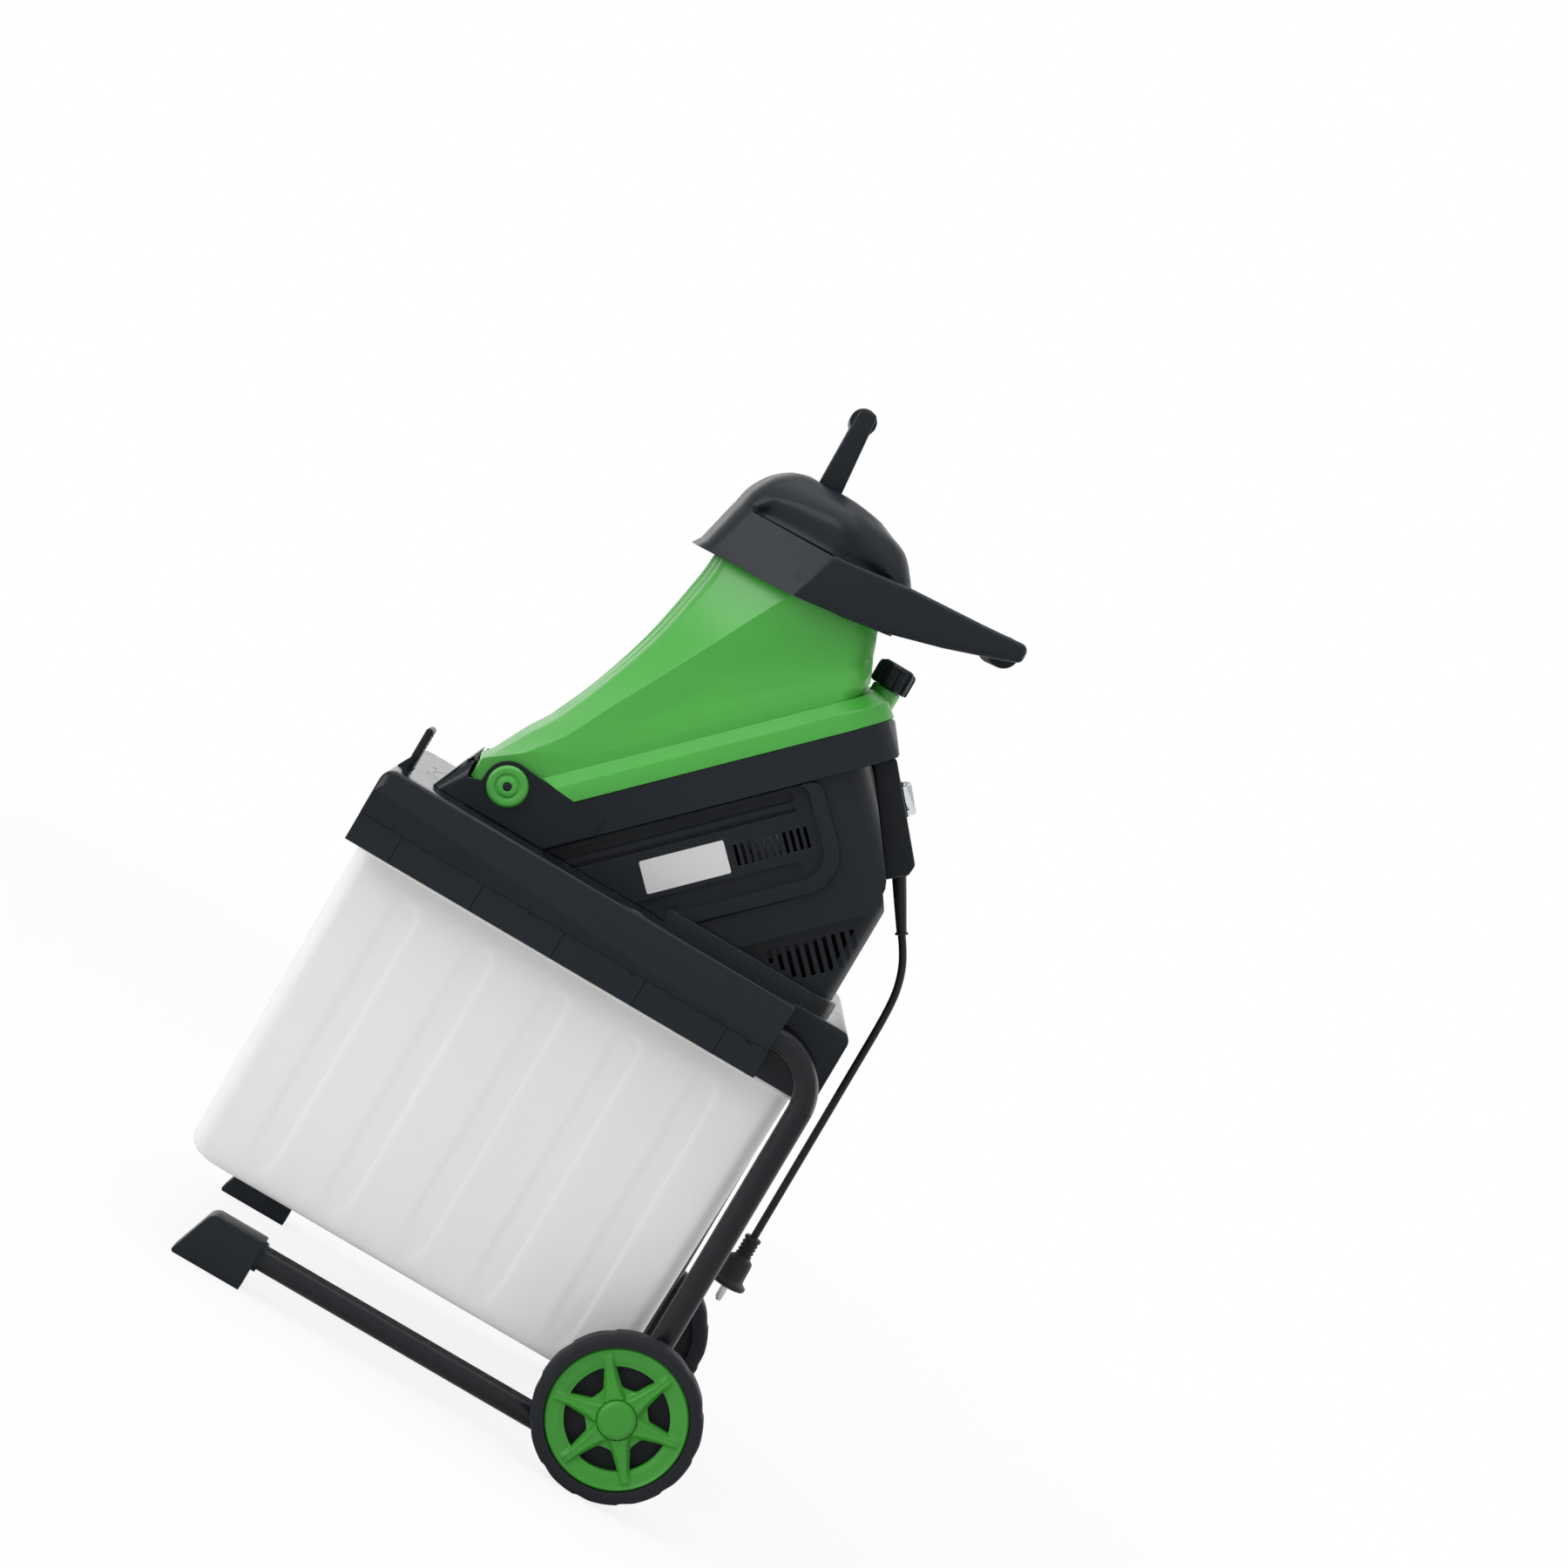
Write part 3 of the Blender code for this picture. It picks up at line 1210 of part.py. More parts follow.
def cutter():
    x, z = slope(DISC_CENTRE, 0.0)
    bore = SHAFT_RADIUS + GAP
    low = DISC_TOP - DISC_THICK
    disc = on_axis(
        "blade_disc",
        (
            (bore, DISC_TOP - 0.0140),
            (0.0160, DISC_TOP - 0.0140),
            (0.0175, low),
            (DISC_RADIUS - 0.001, low),
            (DISC_RADIUS, low + 0.001),
            (DISC_RADIUS, DISC_TOP - 0.001),
            (DISC_RADIUS - 0.001, DISC_TOP),
            (bore, DISC_TOP),
        ),
        32,
        closed=True,
    )
    pieces = {}
    half = BLADE_WIDTH / 2
    start = BLADE_REACH - BLADE_LENGTH / 2
    stop = BLADE_REACH + BLADE_LENGTH / 2
    screw_places = (BLADE_REACH - 0.020, BLADE_REACH + 0.020)
    seat = DISC_TOP + GAP
    for index in range(2):
        angle = math.radians(35) + index * math.pi
        slot = [(start - 0.004, half + 0.0015), (stop + 0.002, half + 0.0015), (stop + 0.002, half + 0.012), (start - 0.004, half + 0.012)]
        cut(disc, turned_block("slot", slot, angle, low - 0.01, DISC_TOP + 0.01))
        name = "blade_%d" % (index + 1)
        outline = [(start, -half), (stop, -half), (stop, half - 0.006), (start, half - 0.006)]
        blade = turned_block(name, outline, angle, seat, seat + BLADE_THICK)
        bevel = blade_edge(start, stop, half, angle, seat)
        join(blade, bevel)
        for spot, radius in enumerate(screw_places):
            axis_x, axis_y, axis_z = axis_point(radius, angle)
            place = (axis_x, axis_y, axis_z)
            hole = BLADE_SCREW_RADIUS + GAP
            cut(blade, rod("hole", place, slope_axis(), hole, -0.05, 0.02, 12))
            cut(disc, rod("hole", place, slope_axis(), hole, -0.05, 0.02, 12))
            screw_name = "blade_screw_%d" % (2 * index + spot + 1)
            head = seat + BLADE_THICK + GAP
            profile = (
                (0.0, low),
                (BLADE_SCREW_RADIUS, low),
                (BLADE_SCREW_RADIUS, head),
                (0.0056, head),
                (0.0056, head + 0.0024),
                (0.0040, head + 0.0032),
                (0.0, head + 0.0032),
            )
            screw = lathe(screw_name, profile, place, slope_axis(), 8)
            pieces[screw_name] = dress(screw, STEEL, origin=(x, 0, z))
        pieces[name] = dress(blade, STEEL, origin=(x, 0, z))
    pieces["blade_disc"] = dress(disc, STEEL, origin=(x, 0, z))
    bolt = on_axis(
        "disc_bolt",
        (
            (0.0, DISC_TOP - 0.0110),
            (0.0030, DISC_TOP - 0.0110),
            (0.0030, seat),
            (0.0130, seat),
            (0.0130, seat + 0.0015),
            (0.0070, seat + 0.0020),
            (0.0070, seat + 0.0060),
            (0.0060, seat + 0.0068),
            (0.0, seat + 0.0068),
        ),
        12,
    )
    pieces["disc_bolt"] = dress(bolt, STEEL, origin=(x, 0, z))
    pieces["cooling_fan"] = cooling_fan()
    return pieces


def axis_point(radius, angle):
    """A point at n = 0, a radius away from the motor's axis."""
    x, z = slope(DISC_CENTRE, 0.0)
    normal = Vector(slope_axis())
    across = Vector((0.0, 1.0, 0.0))
    along = across.cross(normal)
    return Vector((x, 0.0, z)) + along * (radius * math.cos(angle)) + across * (radius * math.sin(angle))


def blade_edge(start, stop, half, angle, seat):
    """The ground cutting edge: the blade's front, sloping down to a thin lip."""
    x, z = slope(DISC_CENTRE, 0.0)
    normal = Vector(slope_axis())
    across = Vector((0.0, 1.0, 0.0))
    along = across.cross(normal)
    section = ((half - 0.0065, 0.0), (half, 0.0), (half, 0.0008), (half - 0.0065, BLADE_THICK))
    rings = []
    for r in (start, stop):
        ring = []
        for t, rise in section:
            place = along * (r * math.cos(angle) - t * math.sin(angle))
            place += across * (r * math.sin(angle) + t * math.cos(angle))
            ring.append(Vector((x, 0.0, z)) + place + normal * (seat + rise))
        rings.append(ring)
    return loft("edge", rings)


def cooling_fan():
    x, z = slope(DISC_CENTRE, 0.0)
    top = MOTOR_FRAME_END - 0.0045
    bore = SHAFT_RADIUS + GAP
    fan = on_axis(
        "cooling_fan",
        (
            (bore, top - 0.013),
            (0.0110, top - 0.013),
            (0.0110, top - 0.0025),
            (FAN_RADIUS, top - 0.0025),
            (FAN_RADIUS, top),
            (bore, top),
        ),
        20,
        closed=True,
    )
    for index in range(6):
        outline = [(0.0100, -0.0009), (FAN_RADIUS - 0.001, -0.0009), (FAN_RADIUS - 0.001, 0.0009), (0.0100, 0.0009)]
        join(fan, turned_block("vane", outline, index * math.pi / 3 + 0.2, top - 0.0125, top - 0.0012))
    return dress(fan, BLACK_PLASTIC, origin=(x, 0, z))


# Switch box, switch and its clear cover


def switch_works():
    pieces = {}
    back = GAP
    outline = rounded(
        tuple(
            (*on_box(s, t), radius)
            for s, t, radius in (
                (0.0, back, 0.0),
                (0.0, BOX_THICK, 0.003),
                (BOX_LENGTH - 0.0085, BOX_THICK, 0.005),
                (BOX_LENGTH, BOX_THICK - 0.0085, 0.005),
                (BOX_LENGTH, back - BOX_FLARE, 0.0),
            )
        ),
        3,
    )
    shell = prism_y("switch_box", outline, -BOX_HALF, BOX_HALF)
    hollow = [on_box(s, t) for s, t in ((BOX_WALL, -0.02), (BOX_WALL, BOX_THICK - BOX_WALL))]
    hollow += [on_box(s, t) for s, t in ((BOX_LENGTH - 0.011, BOX_THICK - BOX_WALL), (BOX_LENGTH - BOX_WALL, BOX_THICK - 0.011))]
    hollow.append(on_box(BOX_LENGTH - BOX_WALL, -0.02))
    cut(shell, prism_y("hollow", hollow, -BOX_HALF + BOX_WALL, BOX_HALF - BOX_WALL))
    mouth_s = ROCKER_LENGTH / 2 + 0.002
    mouth_y = ROCKER_WIDTH / 2 + 0.002
    cut(shell, box_prism("mouth", ROCKER_S - mouth_s, ROCKER_S + mouth_s, BOX_THICK - 0.01, BOX_THICK + 0.01, mouth_y))
    gland = boot_axis()
    cut(shell, rod("gland", gland[0], gland[1], 0.0060 + GAP, -0.012, 0.010, 20))
    pieces["switch_box"] = dress(shell, BLACK_PLASTIC)
    face = BOX_THICK + GAP
    bezel = box_prism(
        "switch_bezel", ROCKER_S - BEZEL_LENGTH / 2, ROCKER_S + BEZEL_LENGTH / 2, face, face + BEZEL_THICK, BEZEL_WIDTH / 2
    )
    skirt_s, skirt_y = mouth_s - GAP, mouth_y - GAP
    join(bezel, box_prism("skirt", ROCKER_S - skirt_s, ROCKER_S + skirt_s, face - 0.006, face + 0.001, skirt_y))
    hinge_s = ROCKER_S - BEZEL_LENGTH / 2 + 0.0022
    for side in (-1, 1):
        ear = box_prism_side("ear", hinge_s - 0.0020, hinge_s + 0.0020, face + 0.001, face + 0.0062, side, 0.0098, 0.0122)
        join(bezel, ear)
    inner_s = ROCKER_LENGTH / 2 + 0.0006
    inner_y = ROCKER_WIDTH / 2 + 0.0006
    cut(bezel, box_prism("pass", ROCKER_S - inner_s, ROCKER_S + inner_s, face - 0.02, face + 0.02, inner_y))
    hinge_x, hinge_z = on_box(hinge_s, face + 0.0042)
    cut(bezel, rod("pin_way", (hinge_x, 0, hinge_z), (0, 1, 0), 0.0011 + TURN_GAP, -0.02, 0.02, 12))
    pieces["switch_bezel"] = dress(bezel, BLACK_PLASTIC)
    pieces["rocker_switch"] = rocker(face)
    pieces["switch_cover"] = switch_cover(face, hinge_s)
    micro = box_on_slope("safety_switch", 0.4120, 0.4320, -BAND_DEPTH - GAP - 0.0110, -BAND_DEPTH - GAP, 0.0055)
    button = box_on_slope("button", 0.4180, 0.4210, -BAND_DEPTH - GAP - 0.0130, -BAND_DEPTH - GAP - 0.0100, 0.0015)
    pieces["safety_switch"] = dress(join(micro, button), BLACK_PLASTIC)
    return pieces


def box_prism(name, s0, s1, t0, t1, half):
    outline = [on_box(s0, t0), on_box(s1, t0), on_box(s1, t1), on_box(s0, t1)]
    return prism_y(name, outline, -half, half)


def box_prism_side(name, s0, s1, t0, t1, side, inner, outer):
    outline = [on_box(s0, t0), on_box(s1, t0), on_box(s1, t1), on_box(s0, t1)]
    return side_prism(name, outline, side, inner, outer)


def box_on_slope(name, u0, u1, n0, n1, half):
    return prism_y(name, sloped(((u0, n0), (u1, n0), (u1, n1), (u0, n1))), -half, half)


def rocker_axis():
    x, z = on_box(ROCKER_S, BOX_THICK + GAP)
    return (x, 0.0, z)


def rocker(face):
    """Rocker, drawn level and then tipped so that its lower half stands out."""
    half = ROCKER_LENGTH / 2 - 0.0004
    points = [(-half, -0.0040), (half, -0.0040), (half, 0.0034), (half * 0.5, 0.0024), (0.0, 0.0018), (-half * 0.5, 0.0024), (-half, 0.0034)]
    turned = []
    for s, t in points:
        c, k = math.cos(ROCKER_TILT), math.sin(ROCKER_TILT)
        turned.append(on_box(ROCKER_S + s * c - t * k, face + s * k + t * c))
    made = prism_y("rocker_switch", turned, -ROCKER_WIDTH / 2, ROCKER_WIDTH / 2)
    return dress(made, BLACK_PLASTIC, origin=rocker_axis())


def cover_axis():
    hinge_s = ROCKER_S - BEZEL_LENGTH / 2 + 0.0022
    x, z = on_box(hinge_s, BOX_THICK + GAP + 0.0042)
    return (x, 0.0, z)


def switch_cover(face, hinge_s):
    """Clear dust cover, hinged at its upper end on two small pins."""
    half = 0.0094
    start, stop = hinge_s - 0.0016, ROCKER_S + BEZEL_LENGTH / 2 - 0.0008
    low = face + BEZEL_THICK + GAP
    high = face + COVER_HEIGHT
    outline = rounded(
        tuple(
            (*on_box(s, t), radius)
            for s, t, radius in (
                (start, face + 0.0030, 0.0008),
                (stop, low, 0.0),
                (stop - 0.0010, high, 0.003),
                (start + 0.0010, high, 0.003),
            )
        ),
        3,
    )
    shell = prism_y("switch_cover", outline, -half, half)
    start_in, stop_in = start + 0.0040, stop - COVER_WALL
    cut(shell, box_prism("inside", start_in, stop_in, low - 0.01, high - COVER_WALL, half - COVER_WALL))
    x, y, z = cover_axis()
    join(shell, rod("pins", (x, y, z), (0, 1, 0), 0.0011, -0.0120, 0.0120, 12))
    return dress(shell, CLEAR, origin=cover_axis())


# Cord, its boot and its plug


def boot_axis():
    """Where the cord's boot leaves the switch box, and which way it points."""
    x, z = on_box(BOX_LENGTH, (BOX_THICK - BOX_FLARE) / 2)
    start = Vector((x, 0.0, z))
    return start, (Vector(CORD_EXIT) - start).normalized()


def strain_relief():
    start, way = boot_axis()
    length = (Vector(CORD_EXIT) - start).length
    tip = length - GAP
    profile = [
        (0.0, -0.009),
        (0.0060, -0.009),
        (0.0060, 0.0016),
        (0.0073, 0.0016),
        (0.0068, length * 0.35),
        (0.0058, length * 0.65),
        (0.0050, length - 0.0030),
        (0.0066, length - 0.0026),
        (0.0066, length - 0.0008),
        (0.0052, tip),
        (0.0, tip),
    ]
    boot = lathe("strain_relief", profile, start, way, 14)
    return dress(boot, CORD_BLACK)


def smooth_route(points, spacing):
    """Evenly spaced points on a smooth curve through the route's own points."""
    dense = []
    count = len(points)
    for index in range(count - 1):
        p0 = Vector(points[max(index - 1, 0)])
        p1 = Vector(points[index])
        p2 = Vector(points[index + 1])
        p3 = Vector(points[min(index + 2, count - 1)])
        for step in range(12):
            t = step / 12
            dense.append(
                0.5 * (2 * p1 + (p2 - p0) * t + (2 * p0 - 5 * p1 + 4 * p2 - p3) * t**2 + (3 * p1 - p0 - 3 * p2 + p3) * t**3)
            )
    dense.append(Vector(points[-1]))
    total = sum((b - a).length for a, b in zip(dense, dense[1:]))
    pieces = max(2, round(total / spacing))
    even = [dense[0]]
    walked, target = 0.0, total / pieces
    for a, b in zip(dense, dense[1:]):
        length = (b - a).length
        while walked + length >= target - 1e-9 and len(even) < pieces:
            even.append(a.lerp(b, (target - walked) / length))
            target += total / pieces
        walked += length
    even.append(dense[-1])
    return even


def power_cord():
    curve = bpy.data.curves.new("power_cord", "CURVE")
    curve.dimensions = "3D"
    curve.bevel_depth = CORD_RADIUS
    curve.bevel_resolution = 2
    curve.use_fill_caps = True
    curve.render_resolution_u = 0
    route = smooth_route(CORD_ROUTE, 5 * CORD_RADIUS)
    line = curve.splines.new("POLY")
    line.points.add(len(route) - 1)
    for point, place in zip(line.points, route):
        point.co = (*place, 1.0)
    made = bpy.data.objects.new("power_cord", curve)
    bpy.context.scene.collection.objects.link(made)
    curve.materials.append(material_for("power_cord", CORD_BLACK))
    return made


def plug():
    x, y, z = CORD_ROUTE[-1]
    top = z - GAP
    low = top - PLUG_LENGTH
    profile = [(0.0, top), (0.0085, top), (0.0092, top - 0.0025)]
    for index in range(3):
        ring = top - 0.0050 - index * 0.0055
        profile += [(0.0082, ring), (0.0090, ring - 0.0021)]
    profile += [
        (0.0092, top - 0.0220),
        (0.0135, top - 0.0265),
        (0.0140, top - 0.0310),
        (0.0148, low + 0.0085),
        (0.0175, low + 0.0062),
        (PLUG_FLANGE, low + 0.0040),
        (PLUG_FLANGE - 0.0008, low + 0.0008),
        (PLUG_FLANGE - 0.0035, low),
        (0.0, low),
    ]
    profile = [(radius, height) for radius, height in reversed(profile)]
    body = lathe("plug_body", profile, (x, y, 0.0), (0, 0, 1), 18)
    pieces = {}
    for index, side in ((1, -1), (2, 1)):
        middle = y + side * 0.00635
        name = "plug_pin_%d" % index
        outline = rounded(
            (
                (x - 0.0031, low - PIN_LENGTH, 0.002),
                (x + 0.0031, low - PIN_LENGTH, 0.002),
                (x + 0.0031, low + 0.004, 0.0),
                (x - 0.0031, low + 0.004, 0.0),
            ),
            2,
        )
        pocket = box("pocket", (x - 0.0034, middle - 0.0011, low - 0.01), (x + 0.0034, middle + 0.0011, low + 0.0043))
        cut(body, pocket)
        pin = prism_y(name, outline, middle - 0.0008, middle + 0.0008)
        cut(pin, rod("eye", (x, middle, low - PIN_LENGTH + 0.0045), (0, 1, 0), 0.0015, -0.005, 0.005, 10))
        pieces[name] = dress(pin, STEEL)
    pieces["plug_body"] = dress(body, CORD_BLACK)
    return pieces


# Hopper

HOPPER_LEVELS = (
    # Heights above the tray. Middle front (x, z); front corner (x, z, y); crease; heel; rear corner
    ((-0.4385, 0.0420), (-0.4335, 0.0417, 0.082), (-0.4125, 0.0180, 0.1185), (-0.3560, 0.0435, 0.1285), (-0.1209, 0.2973, 0.1285)),
    ((-0.4300, 0.0525), (-0.4245, 0.0530, 0.082), (-0.3940, 0.0655, 0.1185), (-0.3400, 0.1030, 0.1195), (-0.1436, 0.2995, 0.1180)),
    ((-0.4116, 0.0882), (-0.4045, 0.0890, 0.081), (-0.3763, 0.1018, 0.1175), (-0.3250, 0.1375, 0.1180), (-0.1462, 0.3065, 0.1150)),
    ((-0.3965, 0.1132), (-0.3890, 0.1145, 0.080), (-0.3515, 0.1414, 0.1165), (-0.3050, 0.1715, 0.1160), (-0.1488, 0.3125, 0.1110)),
    ((-0.3770, 0.1583), (-0.3690, 0.1600, 0.079), (-0.3218, 0.1909, 0.1150), (-0.2820, 0.2105, 0.1140), (-0.1512, 0.3180, 0.1070)),
    ((-0.3535, 0.2283), (-0.3450, 0.2295, 0.078), (-0.2920, 0.2405, 0.1130), (-0.2600, 0.2515, 0.1110), (-0.1538, 0.3235, 0.1030)),
    ((-0.3395, 0.2984), (-0.3310, 0.2990, 0.077), (-0.2623, 0.2999, 0.1110), (-0.2390, 0.3045, 0.1090), (-0.1580, 0.3355, 0.0980)),
    ((-0.3365, 0.3284), (-0.3280, 0.3290, 0.076), (-0.2544, 0.3346, 0.1100), (-0.2330, 0.3370, 0.1080), (-0.1623, 0.3465, 0.0960)),
    ((-0.3355, 0.3415), (-0.3270, 0.3422, 0.075), (-0.2510, 0.3485, 0.1090), (-0.2300, 0.3510, 0.1070), (-0.1640, 0.3595, 0.0950)),
)
HOPPER_WALL = 0.004


def ring_from(corners, steps):
    """A closed ring from near-side corners (x, z, y, radius) and their mirror images."""
    near = [(x, -y, z, radius) for x, z, y, radius in corners]
    far = [(x, y, z, radius) for x, z, y, radius in reversed(corners)]
    if corners[0][2] == 0.0:
        far = far[:-1]
    return rounded(near + far, steps)


def hopper_ring(level, wall, steps=2):
    middle, front, crease, heel, rear = level
    corners = (
        (middle[0] + wall, above(middle[1]), 0.0, 0.0),
        (front[0] + wall, above(front[1]), front[2] - wall * 0.8, 0.010),
        (crease[0] + wall * 0.3, above(crease[1]), crease[2] - wall, 0.006),
        (heel[0], above(heel[1]), heel[2] - wall, 0.012),
        (rear[0] - wall, above(rear[1] - wall * 0.9), rear[2] - wall, 0.026),
    )
    return ring_from(corners, steps)


def hinge_lug():
    return rounded(
        (
            (-0.4125, above(0.0180), 0.002),
            (-0.3530, above(0.0395), 0.0),
            (-0.3230, above(0.0695), 0.0),
            (-0.3400, above(0.0855), 0.004),
            (-0.3930, above(0.0755), 0.006),
            (-0.4240, above(0.0515), 0.004),
        ),
        2,
    )


def knob_post():
    return rod("post", (KNOB_X, 0, 0), (0, 0, 1), POST_RADIUS, KNOB_LOW - 0.0672, KNOB_LOW - GAP, 28, 0.0008)


def hopper():
    body = loft("hopper", [hopper_ring(level, 0.0) for level in HOPPER_LEVELS], caps="mirror")
    plan = unit_plan(UNIT_HALF, UNIT_REAR, UNIT_CORNER, FLANGE_FRONT)
    join(body, prism_n("flange", plan, 0.0, FLANGE_HEIGHT, taper=0.005))
    under = sloped(((FLANGE_FRONT - 0.004, -0.10), (0.60, -0.10), (0.60, 0.0), (FLANGE_FRONT - 0.004, 0.0)))
    cut(body, prism_y("underside", under, -0.2, 0.2))
    # The inside: the funnel and the hollow flange, less the sloping floor.
    levels = [hopper_ring(level, HOPPER_WALL) for level in HOPPER_LEVELS]
    low = [(x, y, z - 0.012) for x, y, z in levels[0]]
    high = [(x, y, z + 0.012) for x, y, z in levels[-1]]
    room = loft("room", [low] + levels + [high], caps="mirror")
    slab = unit_plan(UNIT_HALF - HOPPER_WALL, UNIT_REAR - HOPPER_WALL - 0.004, UNIT_CORNER - 0.006, FLANGE_FRONT + 0.004)
    join(room, prism_n("slab", slab, 0.0042, FLANGE_HEIGHT - 0.004))
    floor = [(-0.50, above(0.0935)), (-0.4180, above(0.0795)), (-0.3480, above(0.0515))]
    floor += [slope(0.139, 0.005), slope(0.60, 0.005), slope(0.60, -0.20), (-0.50, above(-0.1045))]
    cut(room, prism_y("floor", floor, -0.2, 0.2))
    cut(body, room)
    cut(body, prism_n("throat", rectangle(0.215, 0.345, -0.065, 0.065, 0.018), -0.02, 0.02))
    # Lugs on the hinge, and the post that the locking knob stands on.
    inside = UNIT_HALF - EAR_THICK - GAP
    for side in (-1, 1):
        join(body, side_prism("lug", hinge_lug(), side, inside - LUG_THICK, inside))
    join(body, knob_post())
    cut(body, prism_y("underside", under, -0.2, 0.2))
    reach = STUD_RADIUS + SLIDE_GAP
    cut(body, rod("stud_way", (KNOB_X, 0, 0), (0, 0, 1), reach, KNOB_LOW - 0.1072, KNOB_LOW + 0.0228, 20))
    for side in (-1, 1):
        cut(body, side_prism("ear_room", ear_outline(0.0005), side, inside, 0.16))
        hole = rod("pin_hole", (PIVOT_X, 0, PIVOT_Z), (0, side, 0), PIN_RADIUS + GAP, 0.10, 0.14, 24)
        cut(body, hole)
    return dress(body, GREEN_PLASTIC, origin=(PIVOT_X, 0.0, PIVOT_Z), edge=28)


def hinge_caps():
    """Round caps that hold the hopper: each is a pin through the ear, with a screw in it."""
    pieces = {}
    face = UNIT_HALF + EAR_PROUD + GAP
    start = UNIT_HALF - EAR_THICK - GAP - LUG_THICK + 0.0002
    origin = (PIVOT_X, 0.0, PIVOT_Z)
    for word, side in SIDES:
        profile = (
            (0.0, start),
            (PIN_RADIUS, start),
            (PIN_RADIUS, face),
            (CAP_RADIUS - 0.0005, face),
            (CAP_RADIUS, face + 0.0010),
            (CAP_RADIUS, face + CAP_THICK - 0.0025),
            (CAP_RADIUS - 0.0025, face + CAP_THICK),
            (0.0130, face + CAP_THICK),
            (0.0118, face + CAP_THICK - 0.0022),
            (0.0106, face + CAP_THICK - 0.0022),
            (0.0094, face + CAP_THICK - 0.0002),
            (0.0044, face + CAP_THICK - 0.0002),
            (0.0044, face + CAP_THICK - 0.0025),
            (0.0021, face + CAP_THICK - 0.0025),
            (0.0021, face - 0.006),
            (0.0, face - 0.006),
        )
        cap = lathe("pivot_cap_" + word, profile, (PIVOT_X, 0, PIVOT_Z), (0, side, 0), 20)
        pieces["pivot_cap_" + word] = dress(cap, GREEN_PLASTIC, origin=origin)
        head = face + CAP_THICK - 0.0025 + GAP
        screw_profile = (
            (0.0, face - 0.0055),
            (0.0018, face - 0.0055),
            (0.0018, head),
            (0.0040, head),
            (0.0038, head + 0.0012),
            (0.0, head + 0.0020),
        )
        screw = lathe("pivot_screw_" + word, screw_profile, (PIVOT_X, 0, PIVOT_Z), (0, side, 0), 12)
        for turn in (0.0, math.pi / 2):
            c, s = math.cos(turn + 0.3), math.sin(turn + 0.3)
            bar = [
                (PIVOT_X + 0.0026 * c * a - 0.0005 * s * b, PIVOT_Z + 0.0026 * s * a + 0.0005 * c * b)
                for a, b in ((-1, -1), (1, -1), (1, 1), (-1, 1))
            ]
            cut(screw, side_prism("cross", bar, side, head + 0.0007, head + 0.01))
        pieces["pivot_screw_" + word] = dress(screw, STEEL, origin=origin)
    return pieces


# Hood with its handle, grip, plunger and knob

HOOD_LEVELS = (
    # Heights above the tray. Middle front (x, z); front corner (x, z, y); crease; rear corner
    ((-0.3645, 0.3285), (-0.3560, 0.3289, 0.084), (-0.2520, 0.3345, 0.1330), (-0.1500, 0.3485, 0.1235)),
    ((-0.3585, 0.3375), (-0.3505, 0.3379, 0.083), (-0.2500, 0.3425, 0.1325), (-0.1500, 0.3555, 0.1230)),
    ((-0.3480, 0.3835), (-0.3400, 0.3840, 0.079), (-0.2500, 0.3860, 0.1265), (-0.1500, 0.3915, 0.1180)),
    ((-0.3474, 0.3847), (-0.3394, 0.3852, 0.0785), (-0.2500, 0.3877, 0.1205), (-0.1530, 0.3930, 0.1140)),
    ((-0.3430, 0.4045), (-0.3350, 0.4050, 0.0755), (-0.2450, 0.4085, 0.1190), (-0.1620, 0.4065, 0.1100)),
    ((-0.3310, 0.4245), (-0.3240, 0.4250, 0.069), (-0.2450, 0.4290, 0.1090), (-0.1780, 0.4245, 0.0980)),
    ((-0.3150, 0.4380), (-0.3095, 0.4383, 0.061), (-0.2450, 0.4400, 0.0940), (-0.2000, 0.4340, 0.0860)),
    ((-0.3010, 0.4430), (-0.2975, 0.4432, 0.056), (-0.2450, 0.4440, 0.0850), (-0.2130, 0.4395, 0.0790)),
)


def hood_ring(level, wall, steps=2):
    middle, front, crease, rear = level
    corners = (
        (middle[0] + wall, above(middle[1] - wall * 0.25), 0.0, 0.0),
        (front[0] + wall, above(front[1] - wall * 0.25), front[2] - wall * 0.8, 0.012),
        (crease[0], above(crease[1] - wall * 0.25), crease[2] - wall, 0.010),
        (rear[0] - wall, above(rear[1] - wall * 0.25), rear[2] - wall, 0.020),
    )
    return ring_from(corners, steps)


def shelf_line(x):
    """Height of the hopper's top edge, which the hood's inner shelf rests on."""
    low, high = HOPPER_LEVELS[-1][0], HOPPER_LEVELS[-1][4]
    share = (x - low[0]) / (high[0] - low[0])
    return above(low[1] + (high[1] - low[1]) * share)


def handle_arm(side):
    """One side of the handle: a deep bar that runs back from the hood and tapers."""
    outline = rounded(
        (
            (-0.2550, above(0.3375), 0.0),
            (-0.2013, above(0.3404), 0.0),
            (-0.1613, above(0.3475), 0.020),
            (-0.1012, above(0.3645), 0.040),
            (-0.0462, above(0.3835), 0.020),
            (-0.0280, above(0.3905), 0.007),
            (-0.0285, above(0.4087), 0.008),
            (-0.0800, above(0.4040), 0.020),
            (-0.1600, above(0.3985), 0.020),
            (-0.2550, above(0.3885), 0.0),
        ),
        3,
    )
    rings = []
    for inset in (0.0, ARM_THICK):
        ring = []
        for point in outline:
            outer = 0.1330 - (point.x + 0.2520) * 0.080 - 0.10 * (point.y - above(0.3405))
            ring.append((point.x, side * (outer - inset), point.y))
        rings.append(ring)
    return loft("arm", rings)


